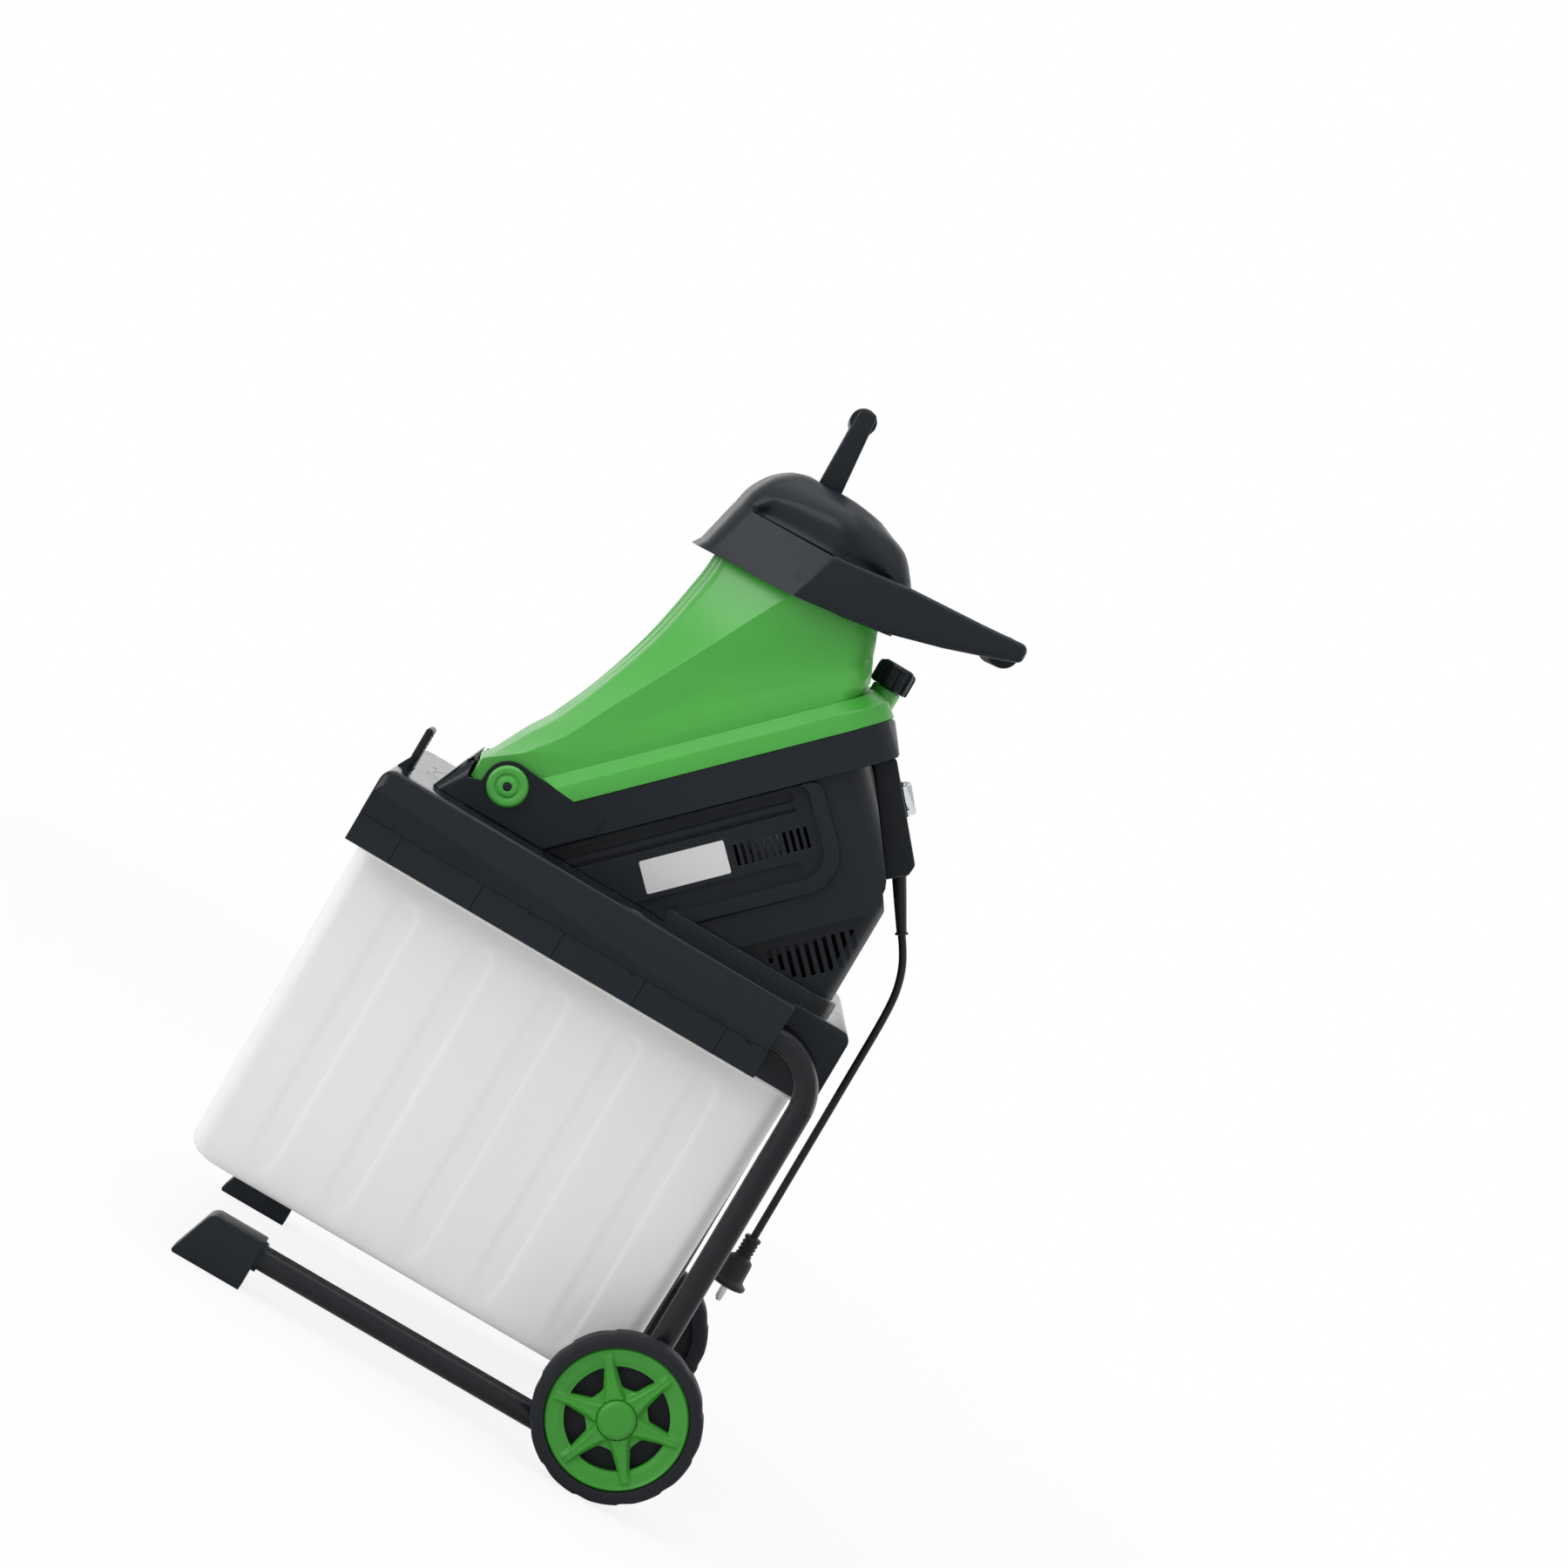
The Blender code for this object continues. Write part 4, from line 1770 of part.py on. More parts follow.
def hood_handle():
    hood = loft("hood_handle", [hood_ring(level, 0.0) for level in HOOD_LEVELS], caps="mirror")
    levels = [hood_ring(level, HOOD_WALL) for level in HOOD_LEVELS[:-1]]
    low = [(x, y, z - 0.006) for x, y, z in levels[0]]
    room = loft("room", [low] + levels, caps="mirror")
    shelf = [(-0.50, GAP), (0.0, GAP), (0.0, GAP + 0.0035), (-0.50, GAP + 0.0035)]
    cut(room, prism_y("shelf", [(x, shelf_line(x) + lift) for x, lift in shelf], -0.3, 0.3))
    cut(room, box("ledge", (-0.50, -0.3, LEDGE_TOP - 0.0035), (0.0, 0.3, LEDGE_TOP + 0.05)))
    cut(hood, room)
    mouth = hopper_ring(HOPPER_LEVELS[-1], 0.007)
    funnel = [[(x, y, z + lift) for x, y, z in mouth] for lift in (-0.004, 0.012)]
    cut(hood, loft("funnel", funnel, caps="mirror"))
    cut(hood, prism_z("opening", rectangle(OPENING_FRONT, OPENING_REAR, -OPENING_HALF, OPENING_HALF, 0.014), LEDGE_TOP, LEDGE_TOP + 0.032))
    shrink = 0.006
    hole = rectangle(OPENING_FRONT + shrink, OPENING_REAR - shrink, -OPENING_HALF + shrink, OPENING_HALF - shrink, 0.010)
    cut(hood, prism_z("ledge_hole", hole, LEDGE_TOP - 0.03, LEDGE_TOP + 0.032))
    for side in (-1, 1):
        join(hood, handle_arm(side))
    join(hood, rod("core", (GRIP_X, 0, GRIP_Z), (0, 1, 0), GRIP_CORE, -0.100, 0.100, 20))
    return dress(hood, BLACK_PLASTIC, origin=(PIVOT_X, 0.0, PIVOT_Z), edge=28)


def plunger():
    low_plate = LEDGE_TOP + GAP
    top_plate = low_plate + PLUNGER_PLATE
    x0, x1 = OPENING_FRONT + SLIDE_GAP, OPENING_REAR - SLIDE_GAP
    half = OPENING_HALF - SLIDE_GAP
    body = prism_z("plunger", rectangle(x0, x1, -half, half, 0.013), low_plate, top_plate)
    fit = 0.006 + 2 * SLIDE_GAP
    inner0, inner1, inner_half = OPENING_FRONT + fit, OPENING_REAR - fit, OPENING_HALF - fit
    join(body, box("web", ((x0 + x1) / 2 - 0.0025, -inner_half + 0.004, PLUNGER_LOW), ((x0 + x1) / 2 + 0.0025, inner_half - 0.004, low_plate + 0.001)))
    for y in (-0.034, 0.034):
        join(body, box("rib", (inner0 + 0.002, y - 0.0025, PLUNGER_LOW + 0.001), (inner1 - 0.002, y + 0.0025, low_plate + 0.0012)))
    join(body, prism_z("foot", rectangle(inner0, inner1, -inner_half, inner_half, 0.008), PLUNGER_LOW - 0.004, PLUNGER_LOW + 0.002))
    arm = rounded(
        (
            (-0.2853, top_plate - 0.001, 0.0),
            (-0.2600, top_plate - 0.001, 0.0),
            (PLUNGER_GRIP_X + 0.0091, PLUNGER_GRIP_Z + 0.0120, 0.004),
            (PLUNGER_GRIP_X - 0.0091, PLUNGER_GRIP_Z + 0.0120, 0.004),
        ),
        3,
    )
    for side in (-1, 1):
        join(body, side_prism("arm", arm, side, 0.0400, 0.0520))
    grip = rod("grip", (PLUNGER_GRIP_X, 0, PLUNGER_GRIP_Z), (0, 1, 0), PLUNGER_GRIP_RADIUS, -0.0420, 0.0420, 24)
    join(body, grip)
    return dress(body, BLACK_PLASTIC)


def locking_knob():
    """Ribbed knob with its screw, which reaches through the post into the housing's slot."""
    top = KNOB_LOW + KNOB_HEIGHT
    profile = (
        (0.0, STUD_LOW),
        (STUD_RADIUS - 0.0008, STUD_LOW),
        (STUD_RADIUS, STUD_LOW + 0.0010),
        (STUD_RADIUS, KNOB_LOW),
        (KNOB_RADIUS - 0.0030, KNOB_LOW),
        (KNOB_RADIUS - 0.0016, KNOB_LOW + 0.0010),
        (KNOB_RADIUS - 0.0016, top - 0.0060),
        (KNOB_RADIUS - 0.0040, top - 0.0012),
        (KNOB_RADIUS - 0.0070, top),
        (0.0, top),
    )
    knob = lathe("locking_knob", profile, (KNOB_X, 0, 0), (0, 0, 1), 16)
    for index in range(KNOB_RIBS):
        angle = 2 * math.pi * index / KNOB_RIBS
        rings = []
        for z, reach in ((KNOB_LOW + 0.0008, 0.0), (top - 0.0065, 0.0), (top - 0.0022, 0.0022)):
            ring = []
            for radius, across in ((0.012, -0.0016), (KNOB_RADIUS - reach, -0.0013), (KNOB_RADIUS - reach, 0.0013), (0.012, 0.0016)):
                x = KNOB_X + radius * math.cos(angle) - across * math.sin(angle)
                y = radius * math.sin(angle) + across * math.cos(angle)
                ring.append((x, y, z))
            rings.append(ring)
        join(knob, loft("rib", rings))
    return dress(knob, BLACK_PLASTIC, origin=(KNOB_X, 0.0, KNOB_LOW))


def grip_sleeve():
    made = pipe(
        "grip_sleeve", (GRIP_X, 0, GRIP_Z), (0, 1, 0), GRIP_RADIUS, GRIP_CORE + GAP, -GRIP_HALF, GRIP_HALF, 28
    )
    return dress(made, RUBBER)


def upper_works():
    pieces = {
        "hopper": hopper(),
        "hood_handle": hood_handle(),
        "grip_sleeve": grip_sleeve(),
        "plunger": plunger(),
        "locking_knob": locking_knob(),
    }
    pieces.update(hinge_caps())
    return pieces


def centre_footprint(shift):
    """Moves everything that hangs on nothing, so that the origin is under the middle."""
    for item in bpy.data.objects:
        if item.parent is None:
            item.location.x += shift


def main():
    for item in list(bpy.data.objects):
        bpy.data.objects.remove(item)
    pieces = running_gear()
    pieces.update(lower_works())
    pieces["cutter_housing"] = cutter_housing()
    pieces["motor_casing"] = motor_casing()
    pieces.update(motor())
    pieces.update(cutter())
    pieces.update(switch_works())
    pieces["strain_relief"] = strain_relief()
    pieces["power_cord"] = power_cord()
    pieces.update(plug())
    upper = upper_works()
    hinge = empty_at("hopper_hinge", (PIVOT_X, 0.0, PIVOT_Z))
    carry(hinge, *upper.values())
    x, z = slope(DISC_CENTRE, 0.0)
    spindle = empty_at("spindle", (x, 0.0, z))
    turning = ["rotor_shaft", "blade_disc", "blade_1", "blade_2", "disc_bolt", "cooling_fan"]
    turning += ["blade_screw_%d" % number for number in (1, 2, 3, 4)]
    carry(spindle, *(pieces[name] for name in turning))
    centre_footprint(-(TRAY_FRONT + WHEEL_RADIUS) / 2)


main()
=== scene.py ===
"""Looks of the wheeled electric garden shredder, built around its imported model.

Lengths are metres. Shapes are drawn from the wheel axle (x = 0), as the solids are, and moved by
AXLE_X into the model's own frame. u runs up the slope of the cutting unit and n stands square to it.
"""

import json
import math

import bmesh
import bpy
from mathutils import Matrix, Vector


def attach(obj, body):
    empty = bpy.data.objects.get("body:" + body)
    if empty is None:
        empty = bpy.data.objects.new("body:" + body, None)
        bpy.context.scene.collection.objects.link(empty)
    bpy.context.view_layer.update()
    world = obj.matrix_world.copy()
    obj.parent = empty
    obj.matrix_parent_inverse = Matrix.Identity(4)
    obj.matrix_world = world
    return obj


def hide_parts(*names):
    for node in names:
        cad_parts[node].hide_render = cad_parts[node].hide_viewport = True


bl_info = {
    "name": "Garden shredder",
    "version": (1, 0, 0),
    "blender": (4, 5, 0),
    "location": "3D View > Sidebar > Shredder",
    "description": "Builds the visible pieces of a wheeled electric garden shredder",
    "category": "Object",
}

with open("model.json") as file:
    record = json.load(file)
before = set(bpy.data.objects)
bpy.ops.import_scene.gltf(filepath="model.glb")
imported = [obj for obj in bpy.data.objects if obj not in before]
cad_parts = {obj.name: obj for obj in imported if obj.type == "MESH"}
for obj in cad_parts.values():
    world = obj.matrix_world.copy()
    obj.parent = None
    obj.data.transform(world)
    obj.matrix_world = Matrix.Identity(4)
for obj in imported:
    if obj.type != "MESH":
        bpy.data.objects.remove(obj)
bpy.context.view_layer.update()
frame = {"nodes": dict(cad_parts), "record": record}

AXLE_X = 0.210
SIDES = (("left", -1.0), ("right", 1.0))
WHEEL_RADIUS, WHEEL_IN, WHEEL_WIDTH, FIRST_SPOKE = 0.0825, 0.2010, 0.034, 7.7
TUBE_RADIUS, TUBE_WALL, TRACK, BODY_HALF = 0.0125, 0.0015, 0.180, 0.167
TRAY_FRONT, TRAY_TOP, RAIL_REAR, RAIL_LOW = -0.5025, 0.5045, -0.0521, 0.4548
SLOPE_X, SLOPE_Z = -0.4465, 0.4465
LOCK_X, LOCK_Y = -0.4880, -0.088
PIVOT_X, PIVOT_Z = -0.3955, TRAY_TOP + 0.0362
KNOB_X, KNOB_LOW, STUD_LOW = -0.1225, TRAY_TOP + 0.3027, TRAY_TOP + 0.2510
BOX_SLOPE, BOX_THICK, BOX_FACE, ROCKER_S = math.radians(-49.4), 0.0243, 0.0246, 0.045
BOX_LENGTH, BOX_DEEPENS, FLAP_HINGE_S = 0.1168, 0.0075, ROCKER_S - 0.0153
UNIT_FLOOR, UNIT_HALF, PIVOT_HOLE = TRAY_TOP + 0.0003, 0.130, 0.0083

# How far from the middle the carving tools reach: just past the cutting unit, or past everything
OUTSIDE, THROUGH = 0.14, 0.2

# Radius over which some black plastics ease their hard edges
EASED_EDGE = 0.0008
WHITE = (1.0, 1.0, 1.0, 1.0)


# Materials


class Value:
    """A number in a material. Python maths on it adds the Math nodes."""

    def __init__(self, nodes, socket):
        self.nodes = nodes
        self.socket = socket

    def maths(self, operation, *values):
        node = self.nodes.add("ShaderNodeMath", {"operation": operation}, dict(enumerate(values)))
        return Value(self.nodes, node.outputs[0])

    def __add__(self, other):
        return self.maths("ADD", self, other)

    def __mul__(self, other):
        return self.maths("MULTIPLY", self, other)

    __radd__ = __add__
    __rmul__ = __mul__

    def highest(self, other):
        return self.maths("MAXIMUM", self, other)

    def ramp(self, low, high):
        """0 below low, 1 above high, smooth between."""
        sockets = {"Value": self, "From Min": low, "From Max": high}
        node = self.nodes.add("ShaderNodeMapRange", {"interpolation_type": "SMOOTHSTEP"}, sockets)
        return Value(self.nodes, node.outputs["Result"])


class Nodes:
    """Adds the nodes of one material or of the world."""

    def __init__(self, tree):
        self.tree = tree

    def add(self, kind, settings=None, sockets=None):
        """A node of that type; its settings come first, then the values or links of its sockets."""
        node = self.tree.nodes.new(kind)
        for name, value in (settings or {}).items():
            setattr(node, name, value)
        for name, value in (sockets or {}).items():
            self.feed(node.inputs[name], value)
        return node

    def feed(self, socket, value):
        if isinstance(value, Value):
            value = value.socket
        if isinstance(value, bpy.types.NodeSocket):
            self.tree.links.new(value, socket)
        else:
            socket.default_value = value


class Finish(Nodes):
    """One procedural material for one kind of surface of the machine."""

    def __init__(self, name):
        self.material = bpy.data.materials.new(name)
        self.material.use_nodes = True
        super().__init__(self.material.node_tree)
        self.shader = self.tree.nodes["Principled BSDF"]
        self.place = self.add("ShaderNodeTexCoord").outputs["Object"]

    def noise(self, size, detail, stretch=(1.0, 1.0, 1.0), roughness=0.5):
        """Cloudy noise from 0 to 1 whose blots are about size across."""
        moved = self.add("ShaderNodeMapping", {}, {"Vector": self.place, "Scale": stretch})
        sockets = {
            "Vector": moved.outputs[0], "Scale": 1.0 / size, "Detail": detail, "Roughness": roughness
        }
        return Value(self, self.add("ShaderNodeTexNoise", {}, sockets).outputs["Fac"])

    def axis(self, number):
        """The x, y or z of the point, in metres."""
        return Value(self, self.add("ShaderNodeSeparateXYZ", {}, {0: self.place}).outputs[number])

    def blend(self, first, second, share):
        """A colour between two."""
        sockets = {"Factor": share, 6: first, 7: second}
        return self.add("ShaderNodeMix", {"data_type": "RGBA"}, sockets).outputs[2]

    def bumped(self, height, depth, edge=0.0):
        """Surface direction from a height field depth tall, with edges eased over the radius edge."""
        sockets = {"Height": height, "Distance": depth, "Strength": 1.0}
        if edge > 0.0:
            sockets["Normal"] = self.add("ShaderNodeBevel", {"samples": 4}, {"Radius": edge}).outputs[0]
        return self.add("ShaderNodeBump", {}, sockets).outputs[0]

    def finish(self, **sockets):
        """Sets the shader's sockets; an underscore in a name stands for a space."""
        for name, value in sockets.items():
            self.feed(self.shader.inputs[name.replace("_", " ").title().replace("Ior", "IOR")], value)
        return self.material


def opaque(colour):
    return (*colour, 1.0)


def toned(colour, share):
    """A colour made darker or, with a share above 1, lighter."""
    return (*(part * share for part in colour[:3]), 1.0)


def grained_plastic(name, colour, roughness, grain=0.00045, depth=0.00003, edge=0.0, specular=0.18):
    """Moulded plastic with a fine spark-eroded grain, faint flow marks and handling smudges."""
    made = Finish(name)
    fine = made.noise(grain, 2.0)
    flow = made.noise(0.055, 4.0, (1.0, 1.0, 0.35))
    smudge = made.noise(0.018, 5.0, roughness=0.62).ramp(0.50, 0.72)
    tone = flow * 0.6 + fine * 0.4
    return made.finish(
        base_color=made.blend(toned(colour, 0.86), toned(colour, 1.14), tone),
        roughness=smudge * 0.07 + fine * 0.06 + flow * 0.05 + (roughness - 0.08),
        specular_ior_level=specular,
        normal=made.bumped(fine, depth, edge),
    )


def glossy_plastic(name, colour):
    """Coloured housing plastic: smoother skin, slight orange peel and soft colour drift."""
    made = Finish(name)
    peel = made.noise(0.0016, 2.0)
    drift = made.noise(0.09, 3.0)
    smudge = made.noise(0.03, 5.0, roughness=0.6).ramp(0.48, 0.75)
    return made.finish(
        base_color=made.blend(toned(colour, 0.93), toned(colour, 1.06), drift),
        roughness=smudge * 0.08 + peel * 0.04 + 0.30,
        specular_ior_level=0.5,
        subsurface_weight=0.04,
        subsurface_radius=(0.002, 0.004, 0.001),
        normal=made.bumped(peel, 0.000012),
    )


def milky_plastic(name, colour):
    """Blow-moulded natural polyethylene: waxy, cloudy, a little see-through."""
    made = Finish(name)
    cloud = made.noise(0.11, 4.0, (1.0, 1.0, 0.45))
    streak = made.noise(0.014, 3.0, (1.0, 1.0, 0.06))
    skin = made.noise(0.0009, 2.0)
    tone = cloud * 0.75 + streak * 0.25
    return made.finish(
        base_color=made.blend(toned(colour, 0.945), toned(colour, 1.03), tone),
        roughness=cloud * 0.08 + streak * 0.05 + 0.36,
        specular_ior_level=0.45,
        subsurface_weight=0.55,
        subsurface_radius=(0.030, 0.030, 0.031),
        normal=made.bumped(skin * 0.3 + streak, 0.00012),
    )


def painted_tube(name, colour):
    """Stove enamel on drawn tube: satin, with a faint orange peel and lengthwise drawing lines."""
    made = Finish(name)
    peel = made.noise(0.0022, 2.0)
    dust = made.noise(0.0007, 1.0).ramp(0.70, 0.78)
    wear = made.noise(0.012, 5.0, roughness=0.7).ramp(0.66, 0.78)
    return made.finish(
        base_color=made.blend(
            made.blend(opaque(colour), toned(colour, 1.3), wear * 0.5), toned(colour, 3.0), dust * 0.02
        ),
        roughness=wear * 0.12 + peel * 0.04 + 0.24,
        specular_ior_level=0.25,
        normal=made.bumped(peel, 0.00003),
    )


def rubbery(name, colour, roughness=0.62, grain=0.0009, depth=0.00006):
    """Dark rubber or soft vinyl with a dry bloom on it."""
    made = Finish(name)
    fine = made.noise(grain, 3.0)
    bloom = made.noise(0.02, 5.0, roughness=0.65).ramp(0.45, 0.75)
    return made.finish(
        base_color=made.blend(opaque(colour), toned(colour, 1.7), bloom * 0.35 + fine * 0.2),
        roughness=bloom * 0.08 + fine * 0.10 + (roughness - 0.08),
        specular_ior_level=0.22,
        normal=made.bumped(fine, depth),
    )


def worked_steel(name, colour, roughness, stretch=(1.0, 1.0, 1.0)):
    """Bare or plated steel with grinding lines and a few darker stains."""
    made = Finish(name)
    line = made.noise(0.0006, 4.0, stretch)
    stain = made.noise(0.012, 5.0, roughness=0.6).ramp(0.45, 0.75)
    return made.finish(
        base_color=made.blend(opaque(colour), toned(colour, 0.62), stain * 0.5 + line * 0.15),
        metallic=1.0,
        roughness=line * 0.12 + stain * 0.14 + (roughness - 0.08),
        normal=made.bumped(line, 0.00001),
    )


def clear_vinyl(name, colour):
    """Clear moulded cover with a light haze."""
    made = Finish(name)
    haze = made.noise(0.004, 3.0)
    return made.finish(
        base_color=made.blend(opaque(colour), toned(colour, 0.96), haze),
        roughness=haze * 0.05 + 0.06,
        transmission_weight=0.92,
        ior=1.45,
    )


def wound_copper(name, colour):
    """Enamelled winding wire laid in rows."""
    made = Finish(name)
    row = made.noise(0.0009, 1.0, (0.2, 1.0, 0.2))
    return made.finish(
        base_color=made.blend(toned(colour, 0.5), opaque(colour), row),
        metallic=1.0,
        roughness=row * 0.1 + 0.30,
        normal=made.bumped(row, 0.0002),
    )


def foil_plate(name, colour):
    """Bare satin foil plate, left without print."""
    made = Finish(name)
    fibre = made.noise(0.0004, 2.0)
    shade = made.noise(0.02, 3.0)
    return made.finish(
        base_color=made.blend(toned(colour, 0.96), opaque(colour), shade),
        roughness=fibre * 0.1 + 0.38,
        normal=made.bumped(fibre, 0.00001),
    )


FINISHES = {}
HIDDEN = set()


def finish_for(slot):
    """The material of one of the record's slots, made when it is first asked for."""
    hues = bpy.context.scene.shredder_colours
    makers = {
        "black_plastic": lambda: grained_plastic("moulded black plastic", hues.black_plastic, 0.34),
        "green_plastic": lambda: glossy_plastic("green housing plastic", hues.green_plastic),
        "wheel_green": lambda: grained_plastic(
            "green wheel plastic", hues.wheel_green, 0.42, 0.0006, 0.00002, specular=0.4
        ),
        "bin_plastic": lambda: milky_plastic("milky bin plastic", hues.bin_plastic),
        "tube_paint": lambda: painted_tube("black tube enamel", hues.tube_paint),
        "rubber": lambda: rubbery("wheel rubber", hues.rubber),
        "steel": lambda: worked_steel("plated steel", (0.56, 0.56, 0.57), 0.34),
        "clear_plastic": lambda: clear_vinyl("clear cover vinyl", (0.93, 0.95, 0.96)),
        "copper": lambda: wound_copper("winding copper", (0.62, 0.27, 0.11)),
        "cord": lambda: rubbery("cord vinyl", hues.cord, 0.50, 0.0006, 0.00002),
        "dark_steel": lambda: worked_steel("blackened screw steel", (0.030, 0.030, 0.033), 0.42),
        "blade_steel": lambda: worked_steel(
            "ground blade steel", (0.62, 0.62, 0.63), 0.26, (1.0, 0.08, 1.0)
        ),
        "cad_black": lambda: grained_plastic(
            "eased black plastic", hues.black_plastic, 0.34, edge=EASED_EDGE
        ),
        "deck_black": lambda: grained_plastic(
            "sleek black plastic", hues.black_plastic, 0.17, edge=EASED_EDGE
        ),
        "plate": lambda: foil_plate("bare plate foil", hues.plate),
    }
    if slot not in FINISHES:
        FINISHES[slot] = makers[slot]()
    return FINISHES[slot]


def paint_node(name, slot):
    """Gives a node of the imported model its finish."""
    for place in frame["nodes"][name].material_slots:
        place.material = finish_for(slot)


# Shapes


def linked(name, data):
    """A new object in the scene with that data."""
    made = bpy.data.objects.new(name, data)
    bpy.context.scene.collection.objects.link(made)
    return made


def mesh_object(name, bm):
    """Turns a drawn mesh into an object of the scene."""
    mesh = bpy.data.meshes.new(name)
    bm.to_mesh(mesh)
    bm.free()
    return linked(name, mesh)


def loose(bm):
    """A shape that isn't a piece yet: it is carved from, or carves, another."""
    bmesh.ops.recalc_face_normals(bm, faces=bm.faces)
    return mesh_object("loose", bm)


def new_piece(name, bm, finish, edge, body, replaces=()):
    """Turns a mesh drawn from the axle into a piece of the model, with its finish and its body."""
    settle(name, loose(bm), finish, body, replaces, edge)


def settle(name, made, finish, body, replaces, edge=32.0):
    """Moves a finished shape into the model's frame, gives it its finish and rides it on its body."""
    made.name = name
    made.data.transform(Matrix.Translation((AXLE_X, 0.0, 0.0)))
    made.data.materials.clear()
    made.data.materials.append(finish_for(finish))
    made.data.shade_smooth()
    made.data.set_sharp_from_angle(angle=math.radians(edge))
    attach(made, body)
    if replaces:
        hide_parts(*replaces)
        HIDDEN.update(replaces)


def carve(target, tool, operation="DIFFERENCE"):
    """Takes the tool out of the target, or joins them, or keeps what they share; the tool goes."""
    step = target.modifiers.new("carve", "BOOLEAN")
    step.operation = operation
    step.solver = "EXACT"
    step.object = tool
    bpy.context.view_layer.update()
    result = bpy.data.meshes.new_from_object(target.evaluated_get(bpy.context.evaluated_depsgraph_get()))
    target.modifiers.remove(step)
    target.data = result
    bpy.data.objects.remove(tool)


def join(target, tool):
    carve(target, tool, "UNION")


def keep_inside(target, tool):
    carve(target, tool, "INTERSECT")


def rounded(corners, steps):
    """Closed line through corners (x, y[, z], radius), each corner an arc of that radius."""
    points = []
    count = len(corners)
    for index, corner in enumerate(corners):
        here, radius = Vector(corner[:-1]), corner[-1]
        if radius <= 0.0:
            points.append(here)
            continue
        before = Vector(corners[index - 1][:-1]) - here
        after = Vector(corners[(index + 1) % count][:-1]) - here
        half = before.angle(after) / 2
        reach = min(radius / math.tan(half), 0.49 * before.length, 0.49 * after.length)
        start, end = here + before.normalized() * reach, here + after.normalized() * reach
        weight = math.sin(half)
        for step in range(steps + 1):
            t = step / steps
            a, b, c = (1 - t) ** 2, 2 * weight * t * (1 - t), t * t
            points.append((start * a + here * b + end * c) / (a + b + c))
    return points


def arc(centre, radius, start, end, steps):
    """Points on a circle, angles in degrees."""
    first, turn = math.radians(start), math.radians(end - start) / steps
    angles = [first + step * turn for step in range(steps + 1)]
    return [(centre[0] + radius * math.cos(a), centre[1] + radius * math.sin(a)) for a in angles]


def skin(rings, caps=True, closed=False, into=None):
    """A mesh over rings of equal length, with or without flat ends, or one more part of a mesh."""
    bm = into or bmesh.new()
    layers = [[bm.verts.new(point) for point in ring] for ring in rings]
    count = len(layers[0])
    pairs = list(zip(layers, layers[1:]))
    if closed:
        pairs.append((layers[-1], layers[0]))
    for low, high in pairs:
        for i in range(count):
            bm.faces.new((low[i], low[(i + 1) % count], high[(i + 1) % count], high[i]))
    if caps and not closed:
        bm.faces.new(layers[0])
        bm.faces.new(layers[-1])
    return bm


def drawn_in(outline, amount):
    """The closed outline moved inwards by amount along its corner bisectors."""
    area = sum(a[0] * b[1] - b[0] * a[1] for a, b in zip(outline, outline[1:] + outline[:1]))
    turn = 1.0 if area > 0 else -1.0
    moved = []
    count = len(outline)
    for index in range(count):
        here = Vector(outline[index][:2])
        before = (here - Vector(outline[index - 1][:2])).normalized()
        after = (Vector(outline[(index + 1) % count][:2]) - here).normalized()
        normal = Vector((-(before.y + after.y), before.x + after.x)).normalized() * turn
        stretch = max(0.5, normal.dot(Vector((-after.y, after.x)) * turn))
        moved.append(here + normal * (amount / stretch))
    return moved


def eased_prism(outline, low, high, place, edge, steps):
    """An outline carried from low to high with its end edges rounded. place maps (a, b, height)."""
    rings = []
    for end, sense in ((low, 1.0), (high, -1.0)):
        part = []
        for step in range(steps + 1):
            angle = math.pi / 2 * step / steps
            ring = drawn_in(outline, edge * (1 - math.sin(angle)))
            level = end + sense * edge * (1 - math.cos(angle))
            part.append([place(a, b, level) for a, b in ring])
        rings += part if sense > 0 else part[::-1]
    return skin(rings)


def across(x, z, y):
    """Drawn on the machine's side and carried across it."""
    return (x, y, z)


def upward(x, y, z):
    """Drawn in plan and carried upwards."""
    return (x, y, z)


def turned(profile, centre, axis, steps=64, closed=False):
    """Turns a (radius, height) profile about an axis."""
    bm = bmesh.new()
    lean = Vector((0.0, 0.0, 1.0)).rotation_difference(Vector(axis))
    place = Matrix.Translation(centre) @ lean.to_matrix().to_4x4()
    rows = []
    for radius, height in profile:
        spots = 1 if radius < 1e-9 else steps
        angles = [2 * math.pi * step / steps for step in range(spots)]
        points = [
            Vector((radius * math.cos(angle), radius * math.sin(angle), height)) for angle in angles
        ]
        rows.append([bm.verts.new(place @ point) for point in points])
    pairs = list(zip(rows, rows[1:]))
    if closed:
        pairs.append((rows[-1], rows[0]))
    for low, high in pairs:
        for i in range(steps):
            j = (i + 1) % steps
            corners = [low[i % len(low)], low[j % len(low)], high[j % len(high)], high[i % len(high)]]
            unique = list(dict.fromkeys(corners))
            if len(unique) > 2:
                bm.faces.new(unique)
    return bm


def slope(u, n):
    """The (x, z) of a point on the sloping unit."""
    root = math.sqrt(0.5)
    return (u - n) * root + SLOPE_X, (u + n) * root + SLOPE_Z


def flat_tool(outline, low, high, place):
    """A straight-sided block over an outline, to carve with."""
    return loose(skin([[place(a, b, level) for a, b in outline] for level in (low, high)]))


def span(side, inner, outer):
    """The two y levels between an inner and an outer distance on one side, lowest first."""
    return sorted((side * inner, side * outer))


def side_tool(outline, side, inner, outer=OUTSIDE):
    """A block over an (x, z) outline between two distances from the middle, on one side."""
    return flat_tool(outline, *span(side, inner, outer), across)


